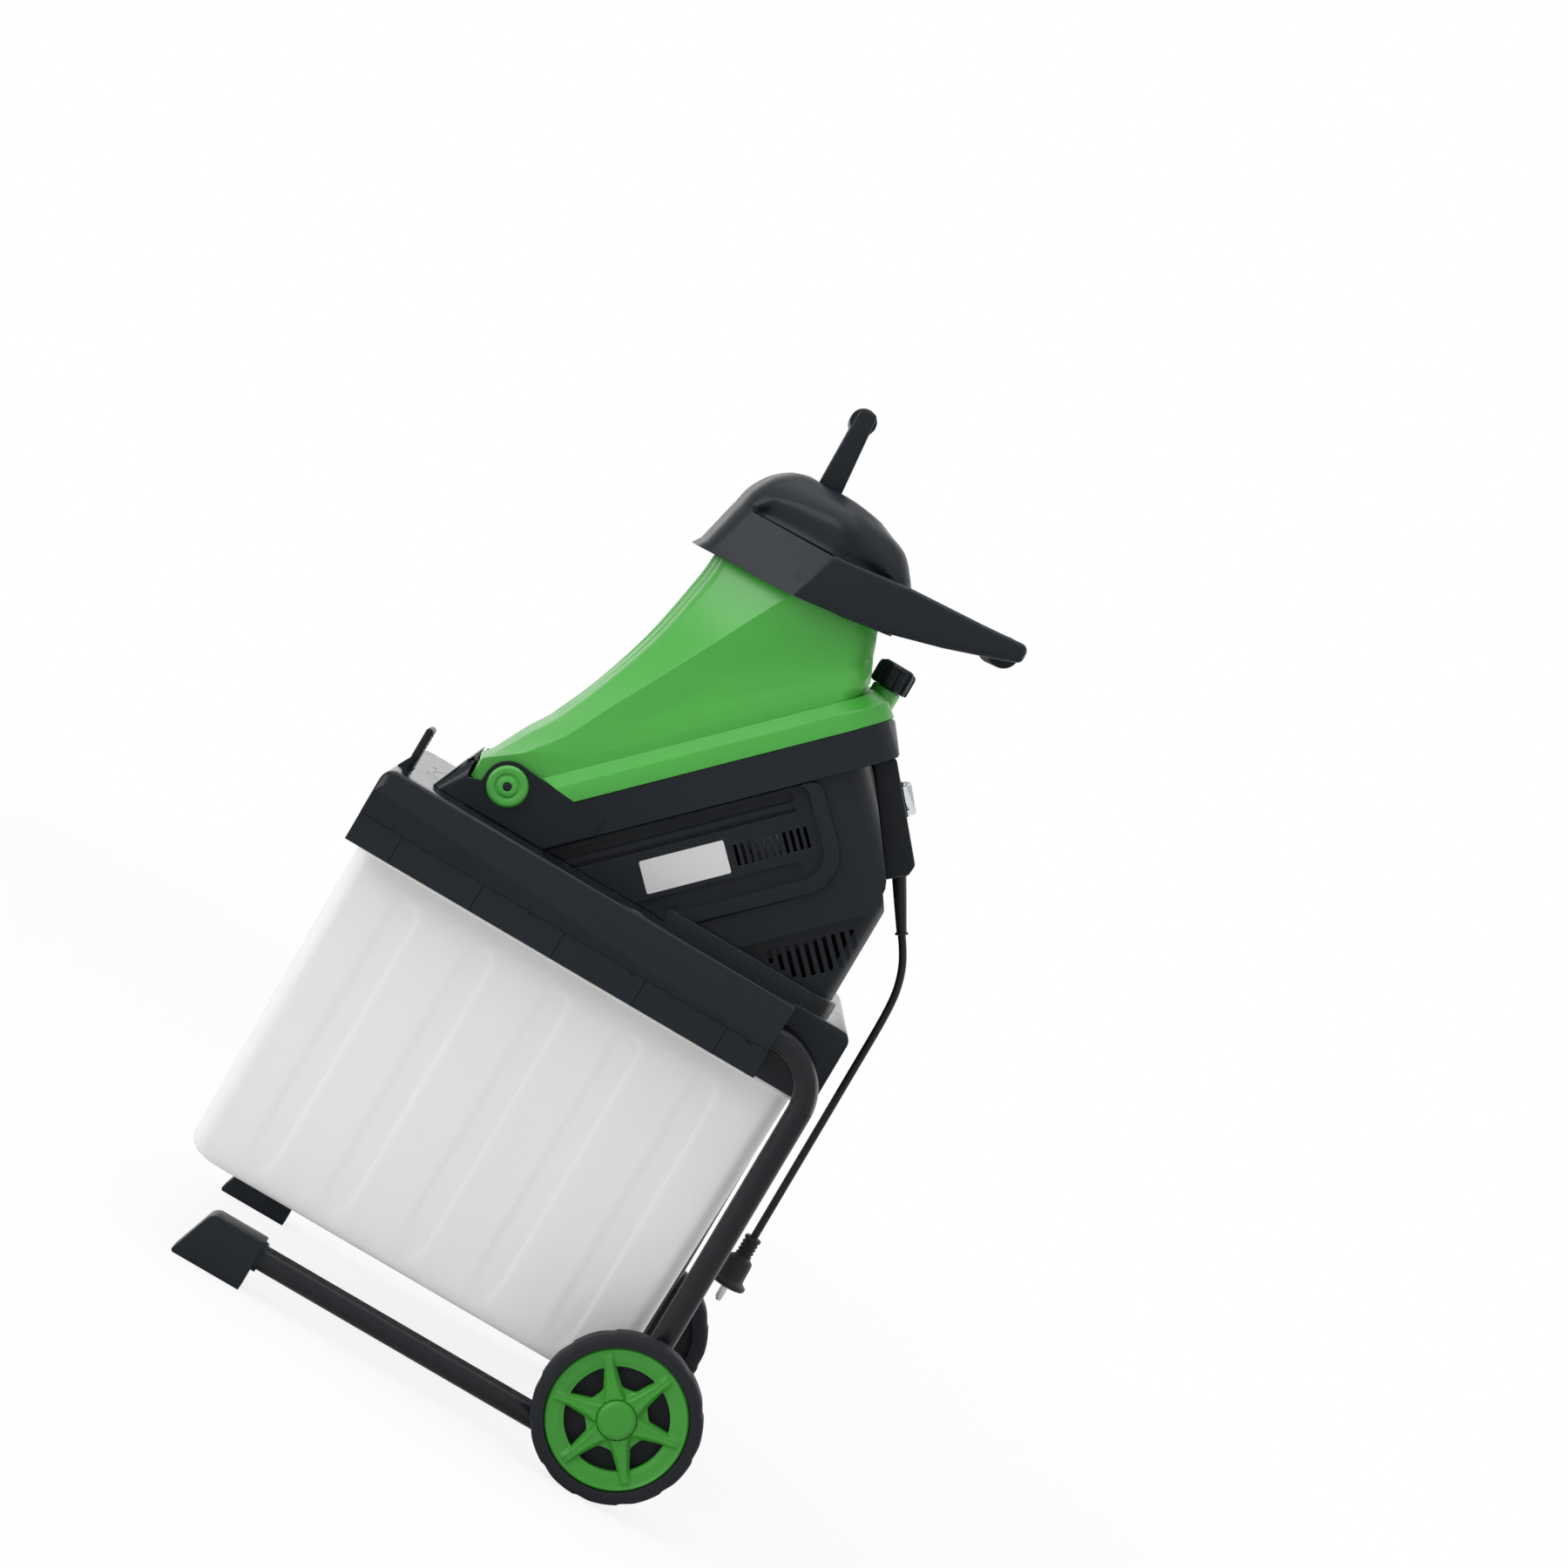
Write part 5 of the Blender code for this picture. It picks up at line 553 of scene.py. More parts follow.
def through_tool(outline):
    """A block over an (x, z) outline that goes right through the machine."""
    return flat_tool(outline, -THROUGH, THROUGH, across)


def rod(centre, axis, radius, low, high, steps=48):
    """A round bar between two heights along its axis, to carve or join with."""
    return loose(turned([(0.0, low), (radius, low), (radius, high), (0.0, high)], centre, axis, steps))


def square(x0, x1, y0, y1):
    """The four corners of an oblong outline."""
    return [(x0, y0), (x1, y0), (x1, y1), (x0, y1)]


def oblong(x0, x1, y0, y1, radius, steps=8):
    return rounded([(x, y, radius) for x, y in square(x0, x1, y0, y1)], steps)


def round_backed(half, rear, radius, front, steps=14):
    """A plan that is square in front and has its rear corners rounded."""
    return rounded(
        ((front, -half, 0.0), (rear, -half, radius), (rear, half, radius), (front, half, 0.0)), steps
    )


def graded(place, stops):
    """The value at a place along a line of (place, value) stops."""
    for (a, low), (b, high) in zip(stops, stops[1:]):
        if place <= b:
            return low + (high - low) * max(0.0, (place - a) / (b - a))
    return stops[-1][1]


def eased(share):
    """0 to 1 with a soft start and end."""
    share = min(max(share, 0.0), 1.0)
    return share * share * (3.0 - 2.0 * share)


def sloped(points):
    return [slope(u, n) for u, n in points]


def square_to_slope(u, y, n):
    """Drawn on the slope and carried square to it."""
    x, z = slope(u, n)
    return (x, y, z)


def where_level(z, n):
    """The x at which the slope's line n meets a level."""
    return z - SLOPE_Z - n * math.sqrt(2) + SLOPE_X


def above(height):
    """A level given as its height above the tray's top."""
    return TRAY_TOP + height


# Stage


def aimed(made, place, aim, roll=0.0):
    """Stands a lamp or camera at place, looking at aim, turned about its own line of sight."""
    sight = (Vector(aim) - Vector(place)).normalized().to_track_quat("-Z", "Y").to_matrix().to_4x4()
    made.matrix_world = Matrix.Translation(place) @ sight @ Matrix.Rotation(math.radians(roll), 4, "Z")


def make_camera():
    """The photograph's view. Its roll makes the upright machine lean as it does there."""
    lens = bpy.data.cameras.new("photograph camera")
    lens.sensor_fit = "HORIZONTAL"
    lens.sensor_width = 36.0
    lens.lens = 90.523
    lens.clip_end = 60.0
    camera = linked("photograph camera", lens)
    bpy.context.scene.camera = camera
    aimed(camera, (-0.10032, -3.92815, 0.85136), (0.04751, 0.0, 0.67243), 30.668)


def softbox(name, place, aim, width, height, power):
    lamp = bpy.data.lights.new(name, "AREA")
    lamp.shape = "RECTANGLE"
    lamp.size, lamp.size_y = width, height
    lamp.energy = power
    aimed(linked(name, lamp), place, aim)


def make_lights():
    middle = (0.0, 0.0, 0.5)
    softbox("top softbox", (-0.8, -0.3, 3.3), middle, 2.6, 2.6, 38.0)
    softbox("front softbox", (-3.0, -2.2, 1.7), middle, 2.2, 2.4, 58.0)
    softbox("rear softbox", (2.6, 1.2, 1.4), middle, 2.0, 2.4, 20.0)


def make_surround():
    """A plain pale world that the camera, gloss and clear pieces see as white."""
    world = bpy.data.worlds.new("studio")
    bpy.context.scene.world = world
    world.use_nodes = True
    world.node_tree.nodes.clear()
    made = Nodes(world.node_tree)
    strength = bpy.context.scene.shredder_stage.surround
    light = made.add("ShaderNodeBackground", {}, {"Color": WHITE, "Strength": strength})
    seen = made.add("ShaderNodeBackground", {}, {"Color": WHITE, "Strength": 1.0})
    path = made.add("ShaderNodeLightPath").outputs
    camera, gloss, clear = (
        Value(made, path["Is %s Ray" % kind]) for kind in ("Camera", "Glossy", "Transmission")
    )
    either = camera.highest(gloss).highest(clear)
    mix = made.add("ShaderNodeMixShader", {}, {0: either, 1: light.outputs[0], 2: seen.outputs[0]})
    made.add("ShaderNodeOutputWorld", {}, {"Surface": mix.outputs[0]})


def make_floor():
    made = Finish("pale studio floor")
    tint = made.noise(0.6, 2.0)
    made.finish(base_color=made.blend(toned(WHITE, 0.90), toned(WHITE, 0.93), tint), roughness=0.9)
    glow = made.add("ShaderNodeEmission", {}, {"Color": WHITE, "Strength": 1.0})
    seen = Value(made, made.add("ShaderNodeLightPath").outputs["Is Camera Ray"])
    x, y = made.axis(0), made.axis(1)
    far = (x * x + y * y).ramp(0.9, 7.0)
    sockets = {0: seen * (far * 0.16 + 0.84), 1: made.shader.outputs[0], 2: glow.outputs[0]}
    mix = made.add("ShaderNodeMixShader", {}, sockets)
    made.feed(made.tree.nodes["Material Output"].inputs["Surface"], mix.outputs[0])
    bm = bmesh.new()
    half = 14.0
    bm.faces.new([bm.verts.new((x, y, 0.0)) for x, y in square(-half, half, -half, half)])
    floor = mesh_object("studio_floor", bm)
    floor.data.materials.append(made.material)


# Cord

CORD_RADIUS = 0.004
CORD_ROUTE = (
    (0.0162, 0.0, 0.6018),
    (0.0198, 0.0, 0.5968),
    (0.0250, 0.0, 0.5890),
    (0.0302, 0.0, 0.5800),
    (0.0345, 0.0, 0.5705),
    (0.0380, 0.0, 0.5600),
    (0.0405, 0.0, 0.5490),
    (0.0420, 0.0, 0.5370),
    (0.0428, 0.0, 0.5240),
    (0.0432, 0.0, 0.5100),
    (0.0434, 0.0, 0.4900),
    (0.0435, 0.0, 0.4600),
    (0.0436, 0.0, 0.4300),
    (0.0437, 0.0, 0.4000),
    (0.0438, 0.0, 0.3600),
    (0.0439, 0.0, 0.3200),
    (0.0440, 0.0, 0.2900),
    (0.0440, 0.0, 0.2650),
)


def four_around(points, index):
    """The point at index with the one before it and the two after it, held at the ends."""
    return [points[min(max(index + step, 0), len(points) - 1)] for step in (-1, 0, 1, 2)]


def between(p0, p1, p2, p3, t):
    """The point at share t from p1 to p2 on the smooth curve through four points."""
    square_part = (2 * p0 - 5 * p1 + 4 * p2 - p3) * t**2
    cube_part = (3 * p1 - p0 - 3 * p2 + p3) * t**3
    return 0.5 * (2 * p1 + (p2 - p0) * t + square_part + cube_part)


def smooth_route(points, spacing):
    """Evenly spaced points on a smooth curve through the route's own points."""
    spots = [Vector(point) for point in points]
    dense = [
        between(*four_around(spots, index), step / 12)
        for index in range(len(spots) - 1)
        for step in range(12)
    ]
    dense.append(spots[-1])
    total = sum((b - a).length for a, b in zip(dense, dense[1:]))
    count = max(2, round(total / spacing))
    even, walked, target = [dense[0]], 0.0, total / count
    for a, b in zip(dense, dense[1:]):
        length = (b - a).length
        while walked + length >= target - 1e-9 and len(even) < count:
            even.append(a.lerp(b, (target - walked) / length))
            target += total / count
        walked += length
    even.append(dense[-1])
    return even, total


def make_cord():
    route, length = smooth_route(CORD_ROUTE, 0.006)
    curve = bpy.data.curves.new("mains_cord", "CURVE")
    curve.dimensions = "3D"
    curve.bevel_depth = CORD_RADIUS
    curve.bevel_resolution = 6
    curve.use_fill_caps = True
    line = curve.splines.new("POLY")
    line.use_smooth = True
    line.points.add(len(route) - 1)
    for point, spot in zip(line.points, route):
        point.co = (spot.x + AXLE_X, spot.y, spot.z, 1.0)
    curve.materials.append(finish_for("cord"))
    cord = linked("mains_cord", curve)
    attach(cord, "chassis")
    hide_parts("power_cord")
    HIDDEN.add("power_cord")
    return cord, route, length


# Running gear


def side_tube(word, side):
    """One side frame: a base run, an upright and a top run in one bent tube."""
    path = [(-0.4189, 0.035)] + arc((-0.0445, 0.083), 0.048, -90, 0, 22)
    path += arc((-0.0485, 0.4153), 0.052, 0, 90, 22) + [(-0.488, 0.4673)]
    last = len(path) - 1
    rings = []
    for radius, order in ((TUBE_RADIUS, range(last + 1)), (TUBE_RADIUS - TUBE_WALL, range(last, -1, -1))):
        for index in order:
            ahead = (Vector(path[min(index + 1, last)]) - Vector(path[max(index - 1, 0)])).normalized()
            ring = []
            for step in range(40):
                angle = 2 * math.pi * step / 40
                out = radius * math.cos(angle)
                x, z = path[index][0] - ahead.y * out, path[index][1] + ahead.x * out
                ring.append((x, side * TRACK + radius * math.sin(angle), z))
            rings.append(ring)
    bm = skin(rings, closed=True)
    new_piece("side_tube_" + word, bm, "tube_paint", 60.0, "chassis", ["frame_tube_" + word])


def block_foot(word, side):
    """Wedge-nosed plastic block on the front end of a side frame, with its collar round the tube."""
    rear, top, half = -0.3676, 0.0518, 0.018
    outline = rounded(
        ((-0.4479, 0.0, 0.003), (rear, 0.0, 0.003), (rear, top, 0.007), (-0.4298, top, 0.011)), 8
    )
    y = side * TRACK
    mouth = (rear, y, 0.035)
    made = loose(eased_prism(outline, y - half, y + half, across, 0.0018, 4))
    carve(made, rod(mouth, (1, 0, 0), TUBE_RADIUS + 0.0004, -0.052, 0.01))
    carve(made, loose(turned(square(0.0154, 0.0400, -0.0046, 0.0040), mouth, (1, 0, 0), closed=True)))
    settle("block_foot_" + word, made, "black_plastic", "chassis", ["foot_" + word])


def wheel_point(side, radius, angle, level):
    """A point of a wheel, its level measured outwards from the wheel's inner face."""
    return (radius * math.cos(angle), side * (WHEEL_IN + level), WHEEL_RADIUS + radius * math.sin(angle))


# Stops along a spoke: distance from the wheel's middle, then a level or a half width
DISH_LEVELS = (
    (0.0198, -0.0082), (0.0518, -0.0082), (0.0560, -0.0063), (0.0640, -0.0050), (0.0672, -0.0034),
    (0.0688, -0.0046),
)
RIDGE_LEVELS = ((0.0198, -0.0020), (0.0400, -0.0030), (0.0600, -0.0026), (0.0655, -0.0046))
CREST_HALVES = ((0.0198, 0.0068), (0.0250, 0.0048), (0.0360, 0.0030), (0.0480, 0.0023), (0.0630, 0.0020))
FOOT_HALVES = (
    (0.0198, 0.0135), (0.0250, 0.0125), (0.0320, 0.0105), (0.0450, 0.0078), (0.0550, 0.0068),
    (0.0630, 0.0066), (0.0665, 0.0050),
)


def cover_level(radius, angle):
    """Height of the green cover's face: a dished ring, and six flat-topped ridges from the hub."""
    if radius < 0.0198:
        return -0.0047
    base = graded(radius, DISH_LEVELS)
    turn = (angle - math.radians(FIRST_SPOKE)) % (math.pi / 3)
    off = radius * math.sin(min(turn, math.pi / 3 - turn))
    crest, foot = graded(radius, CREST_HALVES), graded(radius, FOOT_HALVES)
    share = eased((foot - off) / (foot - crest))
    top = graded(radius, RIDGE_LEVELS)
    dip = 0.0005 * (1.0 - min(1.0, off / crest) ** 2)
    return base + max(0.0, top - dip - base) * share


def wheel_cover(word, side):
    """Green cover with six dark windows between raised spokes."""
    count = 432
    angles = [2 * math.pi * step / count for step in range(count)]
    bore, boss, outer, back = 0.0053, 0.0165, 0.0688, WHEEL_WIDTH - 0.0150
    radii = [bore, boss, 0.0190, 0.0197, 0.0199]
    radii += [0.0199 + 0.0011 * step for step in range(1, 44)] + [0.0681, outer]
    rings = [[wheel_point(side, r, a, WHEEL_WIDTH + cover_level(r, a)) for a in angles] for r in radii]
    for radius, level in ((outer, back), (boss, back), (boss, 0.0003), (bore, 0.0003)):
        rings.append([wheel_point(side, radius, a, level) for a in angles])
    made = loose(skin(rings, closed=True))
    windows = bmesh.new()
    for index in range(6):
        middle = math.radians(FIRST_SPOKE + 30.0 + 60 * index)
        rim = arc((0.0, 0.0), 0.0507, math.degrees(middle) - 23.6, math.degrees(middle) + 23.6, 20)
        corners = [(x, z, 0.0010 if step in (0, 20) else 0.0) for step, (x, z) in enumerate(rim)]
        for turn in (13.0, -13.0):
            a = middle + math.radians(turn)
            corners.append((0.0305 * math.cos(a), 0.0305 * math.sin(a), 0.0062))
        outline = [(x, z + WHEEL_RADIUS) for x, z in rounded(corners, 8)]
        levels = span(side, WHEEL_IN + 0.010, WHEEL_IN + 0.045)
        skin([[across(x, z, y) for x, z in outline] for y in levels], into=windows)
    carve(made, loose(windows))
    settle("wheel_cover_" + word, made, "wheel_green", "wheel_" + word, ["wheel_rim_" + word], edge=50.0)


# Distance from the wheel's middle, distance from its inner face, share of the tread's depth
TYRE_SECTION = (
    (0.0171, 0.0110, 0.0),
    (0.0654, 0.0110, 0.0),
    (0.0654, 0.0022, 0.0),
    (0.0662, 0.0010, 0.0),
    (0.0740, 0.0005, 0.0),
    (0.0776, 0.0009, 0.2),
    (0.0802, 0.0020, 0.6),
    (0.0819, 0.0038, 1.0),
    (0.0825, 0.0062, 1.0),
    (0.0825, 0.0170, 1.0),
    (0.0825, 0.0278, 1.0),
    (0.0819, 0.0302, 1.0),
    (0.0802, 0.0320, 0.6),
    (0.0776, 0.0331, 0.2),
    (0.0740, 0.0335, 0.0),
    (0.0702, 0.0334, 0.0),
    (0.0695, 0.0327, 0.0),
    (0.0695, 0.0140, 0.0),
    (0.0171, 0.0140, 0.0),
)


# Stops along one twelfth of the tread: how far round, then the share of the gap's depth
GAP_SHARES = ((0.0, 0.0), (0.07, 1.0), (0.14, 1.0), (0.40, 0.0), (1.0, 0.0))


def wheel_tyre(word, side):
    """Black wheel body with a smooth sidewall and twelve shallow gaps in its tread."""
    count = 288
    rings = []
    depth = bpy.context.scene.shredder_sizes.tread
    for radius, level, share in TYRE_SECTION:
        ring = []
        for step in range(count):
            angle = 2 * math.pi * step / count
            gap = graded(angle * 6 / math.pi % 1.0, GAP_SHARES)
            ring.append(wheel_point(side, radius - depth * share * gap, angle - math.pi / 2, level))
        rings.append(ring)
    new_piece(
        "wheel_tyre_" + word, skin(rings, closed=True), "rubber", 34.0, "wheel_" + word, ["tyre_" + word]
    )


def wheel_hub(word, side):
    """Domed cover on the wheel's middle."""
    base = WHEEL_WIDTH - 0.0042
    dome = ((0.0, 0.0), (0.0190, 0.0), (0.0192, 0.0006), (0.0190, 0.0020), (0.0182, 0.0036))
    dome += ((0.0170, 0.0047), (0.0156, 0.0052), (0.0150, 0.0056), (0.0140, 0.0057), (0.0, 0.0057))
    profile = [(radius, base + rise) for radius, rise in dome]
    bm = turned(profile, (0.0, side * WHEEL_IN, WHEEL_RADIUS), (0.0, side, 0.0), 96)
    new_piece("hub_cover_" + word, bm, "wheel_green", 50.0, "wheel_" + word, ["hub_cap_" + word])


# Tray, runners, bin and its lock


def rail_ring(y, top, inset):
    """The tray's long outline at one distance from the middle, moved in by inset at both ends."""
    front, rear = TRAY_FRONT + inset, RAIL_REAR - inset
    corners = ((front, RAIL_LOW, 0.0), (front, top, 0.013), (rear, top, 0.0035), (rear, RAIL_LOW, 0.0))
    return [(x, y, z) for x, z in rounded(corners, 10)]


def tray():
    """Base tray: side rails, deck, chute hole, plinth for the casing, guide for the lock."""
    levels = ((0.2000, 0.4880, 0.0012), (0.1991, 0.4893, 0.0004), (0.1950, 0.5005, 0.0))
    levels += ((0.1936, 0.5032, 0.0), (0.1920, 0.5042, 0.0), (0.1900, TRAY_TOP, 0.0))
    half = [rail_ring(-y, top, inset) for y, top, inset in levels]
    other = [rail_ring(y, top, inset) for y, top, inset in reversed(levels)]
    made = loose(skin(half + other))
    front, rear, heel, apron = TRAY_FRONT + 0.001, 0.012, -0.0518, 0.4240
    corners = ((front, RAIL_LOW, 0.0), (front, TRAY_TOP, 0.013), (rear, TRAY_TOP, 0.011))
    corners += ((rear, apron, 0.004), (heel, apron, 0.0), (heel, RAIL_LOW, 0.0))
    join(made, loose(eased_prism(rounded(corners, 10), -BODY_HALF, BODY_HALF, across, 0.0022, 4)))
    deck = TRAY_TOP - 0.004
    carve(made, flat_tool(square(TRAY_FRONT + 0.005, 0.007, -0.164, 0.164), 0.404, deck, upward))
    for side in (-1.0, 1.0):
        channel = square(TRAY_FRONT + 0.005, -0.0021, *span(side, 0.1673, 0.1950))
        carve(made, flat_tool(channel, 0.404, deck - 0.006, upward))
    plinth = round_backed(0.1345, -0.0127, 0.030, -0.200, 12)
    join(made, loose(eased_prism(plinth, TRAY_TOP - 0.004, TRAY_TOP + 0.0145, upward, 0.0025, 4)))
    carve(made, flat_tool(casing_outline(-0.0003), -0.1283, 0.1283, across))
    carve(
        made, flat_tool(oblong(-0.210, -0.0174, -0.1123, 0.1123, 0.024), TRAY_TOP + 0.00005, 0.56, upward)
    )
    carve(made, flat_tool(oblong(-0.428, -0.346, -0.085, 0.085, 0.012), deck - 0.01, 0.52, upward))
    guide = [
        (-0.4985, above(-0.002)), (LOCK_X, above(-0.002)), (LOCK_X, above(0.0125)),
        (-0.4925, above(0.0095)),
    ]
    join(made, flat_tool(guide, LOCK_Y - 0.024, LOCK_Y + 0.024, across))
    slot = square(LOCK_X - 0.0043, LOCK_X + 0.0043, LOCK_Y - 0.0217, LOCK_Y + 0.0217)
    carve(made, flat_tool(slot, deck - 0.01, TRAY_TOP + 0.02, upward))
    for x, y in ((-0.4720, -0.030), (-0.4720, 0.050), (-0.2300, -0.150), (-0.2300, 0.150)):
        carve(made, rod((x, y, TRAY_TOP), (0, 0, 1), 0.0026, -0.0022, 0.005, 24))
    seam = turned(square(0.0455, 0.0462, -0.0006, 0.002), (-0.4230, 0.0, TRAY_TOP), (0, 0, 1), 96, True)
    bmesh.ops.scale(seam, vec=(1.0, 1.9, 1.0), verts=seam.verts)
    carve(made, loose(seam))
    settle("tray", made, "deck_black", "chassis", ["base_tray"])


def runner(word, side):
    """Rail under the tray's edge, moulded in joined lengths, that carries the bin's rim."""
    outer, wall = 0.1985, 0.195
    section = (
        (0.153, 0.4545), (outer, 0.4545), (outer, 0.4262), (outer - 0.001, 0.4252), (wall, 0.4252),
        (wall, 0.4325),
    )
    section += ((BODY_HALF, 0.4325), (BODY_HALF, 0.4365), (wall, 0.4365), (wall, 0.4505), (0.153, 0.4505))
    made = loose(skin([[(x, side * y, z) for y, z in section] for x in (-0.502, RAIL_REAR)]))
    for index in range(5):
        x = -0.0986 - index * 0.0893
        seam = square(x, x + 0.0007, side * (outer - 0.0012), side * 0.21)
        carve(made, flat_tool(seam, 0.42, 0.46, upward))
    for x in (-0.313, -0.202, -0.073):
        clip = oblong(x - 0.0035, x + 0.0035, 0.4515, 0.4560, 0.001, 4)
        carve(made, side_tool(clip, side, outer - 0.0015, 0.21))
    settle("runner_" + word, made, "cad_black", "chassis", ["bin_runner_" + word])


FLUTES = (-0.4180, -0.3350, -0.2510, -0.1700, -0.0850)


def flute_depth(x, z):
    """How far a flute draws the bin's wall in: soft on its front side, crisper behind, arched on top."""
    nearest = min(FLUTES, key=lambda centre: abs(centre - x))
    place = (x - nearest) / (0.0185 if x < nearest else 0.0165)
    crown = max(0.0, z - 0.3835) / 0.0165
    toe = max(0.0, 0.128 - z) / 0.034
    reach = math.sqrt(place * place + crown * crown + toe * toe)
    soft = 0.60 if x < nearest else 0.32
    return bpy.context.scene.shredder_sizes.flute * eased((1.0 - reach) / soft)


def bin_ring(z, reach, wall):
    """The bin's plan at one height: reach moves it out, wall moves it in."""
    share = min(max((z - 0.0834) / 0.3361, 0.0), 1.0)
    front = -0.4868 - 0.0030 * share - reach + wall
    rear = -0.0154 + 0.0071 * share + reach - wall
    half = 0.1560 + 0.0045 * share + (reach * 0.2 if reach < 0.0 else reach) - wall
    corner = 0.017 - wall
    run = [front + corner + (rear - front - 2 * corner) * step / 230 for step in range(231)]
    near = [(x, -half + (flute_depth(x, z) if abs(reach) < 0.004 else 0.0)) for x in run]
    angles = [math.pi / 2 * step / 10 for step in range(1, 11)]
    turn = [(rear - corner + corner * math.sin(a), -half + corner - corner * math.cos(a)) for a in angles]
    head = [
        (front + corner - corner * math.cos(a), -half + corner - corner * math.sin(a))
        for a in [0.0] + angles[:-1]
    ]
    line = head + near + turn
    return [(x, y, z) for x, y in line] + [(x, -y, z) for x, y in reversed(line)]


def rim_ring(z):
    """The bin's rim stands out on both sides only, along the runners that hold it."""
    ring = bin_ring(z, 0.0, 0.0)
    return [(x, math.copysign(0.178, y) if abs(y) > 0.1565 and x < -0.056 else y, z) for x, y, z in ring]


def bin_shell():
    """Blow-moulded collection bin with five shallow arched flutes on each side."""
    outer = [
        (0.0834, -0.0240), (0.0840, -0.0175), (0.0862, -0.0105), (0.0904, -0.0050), (0.0960, -0.0015),
        (0.1020, 0.0),
    ]
    outer += [(0.1075 + 0.0064 * step, 0.0) for step in range(34)]
    outer += [(0.3270 + 0.0026 * step, 0.0) for step in range(30)] + [(0.4120, 0.0), (0.4192, 0.0)]
    outer += [
        (0.4197, 0.0022), (0.4205, 0.0030), (0.4278, 0.0030), (0.4285, 0.0022), (0.4290, 0.0),
        (0.4368, 0.0),
    ]
    rings = [bin_ring(z, reach, 0.0) for z, reach in outer]
    rings += [rim_ring(0.43681), rim_ring(0.4407), rim_ring(0.4408)]
    inner = (
        (0.4408, 0.0), (0.30, 0.0), (0.105, 0.0), (0.095, -0.003), (0.0875, -0.014), (0.0864, -0.022)
    )
    rings += [bin_ring(z, reach, 0.003) for z, reach in inner]
    new_piece("bin_shell", skin(rings), "bin_plastic", 40.0, "bin", ["collection_bin"])


def lock_plate():
    """Sliding lock at the front of the tray: a plate that leans to the rear, with its tooth below."""
    front, rear, top = LOCK_X - 0.0036, LOCK_X + 0.0036, 0.5492
    outline = rounded(
        ((front, 0.4785, 0.0), (rear, 0.4785, 0.0), (rear, top, 0.0033), (front, top, 0.0033)), 8
    )
    made = loose(eased_prism(outline, LOCK_Y - 0.021, LOCK_Y + 0.021, across, 0.0016, 4))
    tooth = ((LOCK_X + 0.0026, 0.4845), (-0.4968, 0.4845), (-0.4968, 0.4447))
    tooth += ((-0.4936, 0.4447), (-0.4936, 0.4790), (LOCK_X + 0.0026, 0.4790))
    join(made, flat_tool(tooth, LOCK_Y - 0.012, LOCK_Y + 0.012, across))
    for step in range(4):
        z = 0.5275 + 0.0046 * step
        for x in (front, rear):
            carve(made, rod((x, LOCK_Y, z), (0, 1, 0), 0.0009, -0.016, 0.016, 16))
    settle("lock_plate", made, "black_plastic", "bin_lock", ["bin_lock"])


# Cutting unit


def ear_outline(grow=0.0):
    """(x, z) outline of one hinge ear, round over the pivot."""
    crown = arc((PIVOT_X, PIVOT_Z), 0.0245 + grow, 172, 82, 24)
    notch = (-0.3335, above(0.0552) + grow)
    front, rear, low = PIVOT_X - 0.0245 - grow, -0.30 + grow, TRAY_TOP - 0.02
    return [(front - 0.0045, low)] + crown + [notch, (rear, above(0.0552)), (rear, low)]


# Height above the tray, front of the nose, radius of its side corners
NOSE_LEVELS = (
    (-0.10, -0.4590, 0.0090),
    (0.0, -0.4587, 0.0095),
    (0.0372, -0.4438, 0.0215),
    (0.0420, -0.4430, 0.0225),
    (0.40, -0.4430, 0.0225),
)


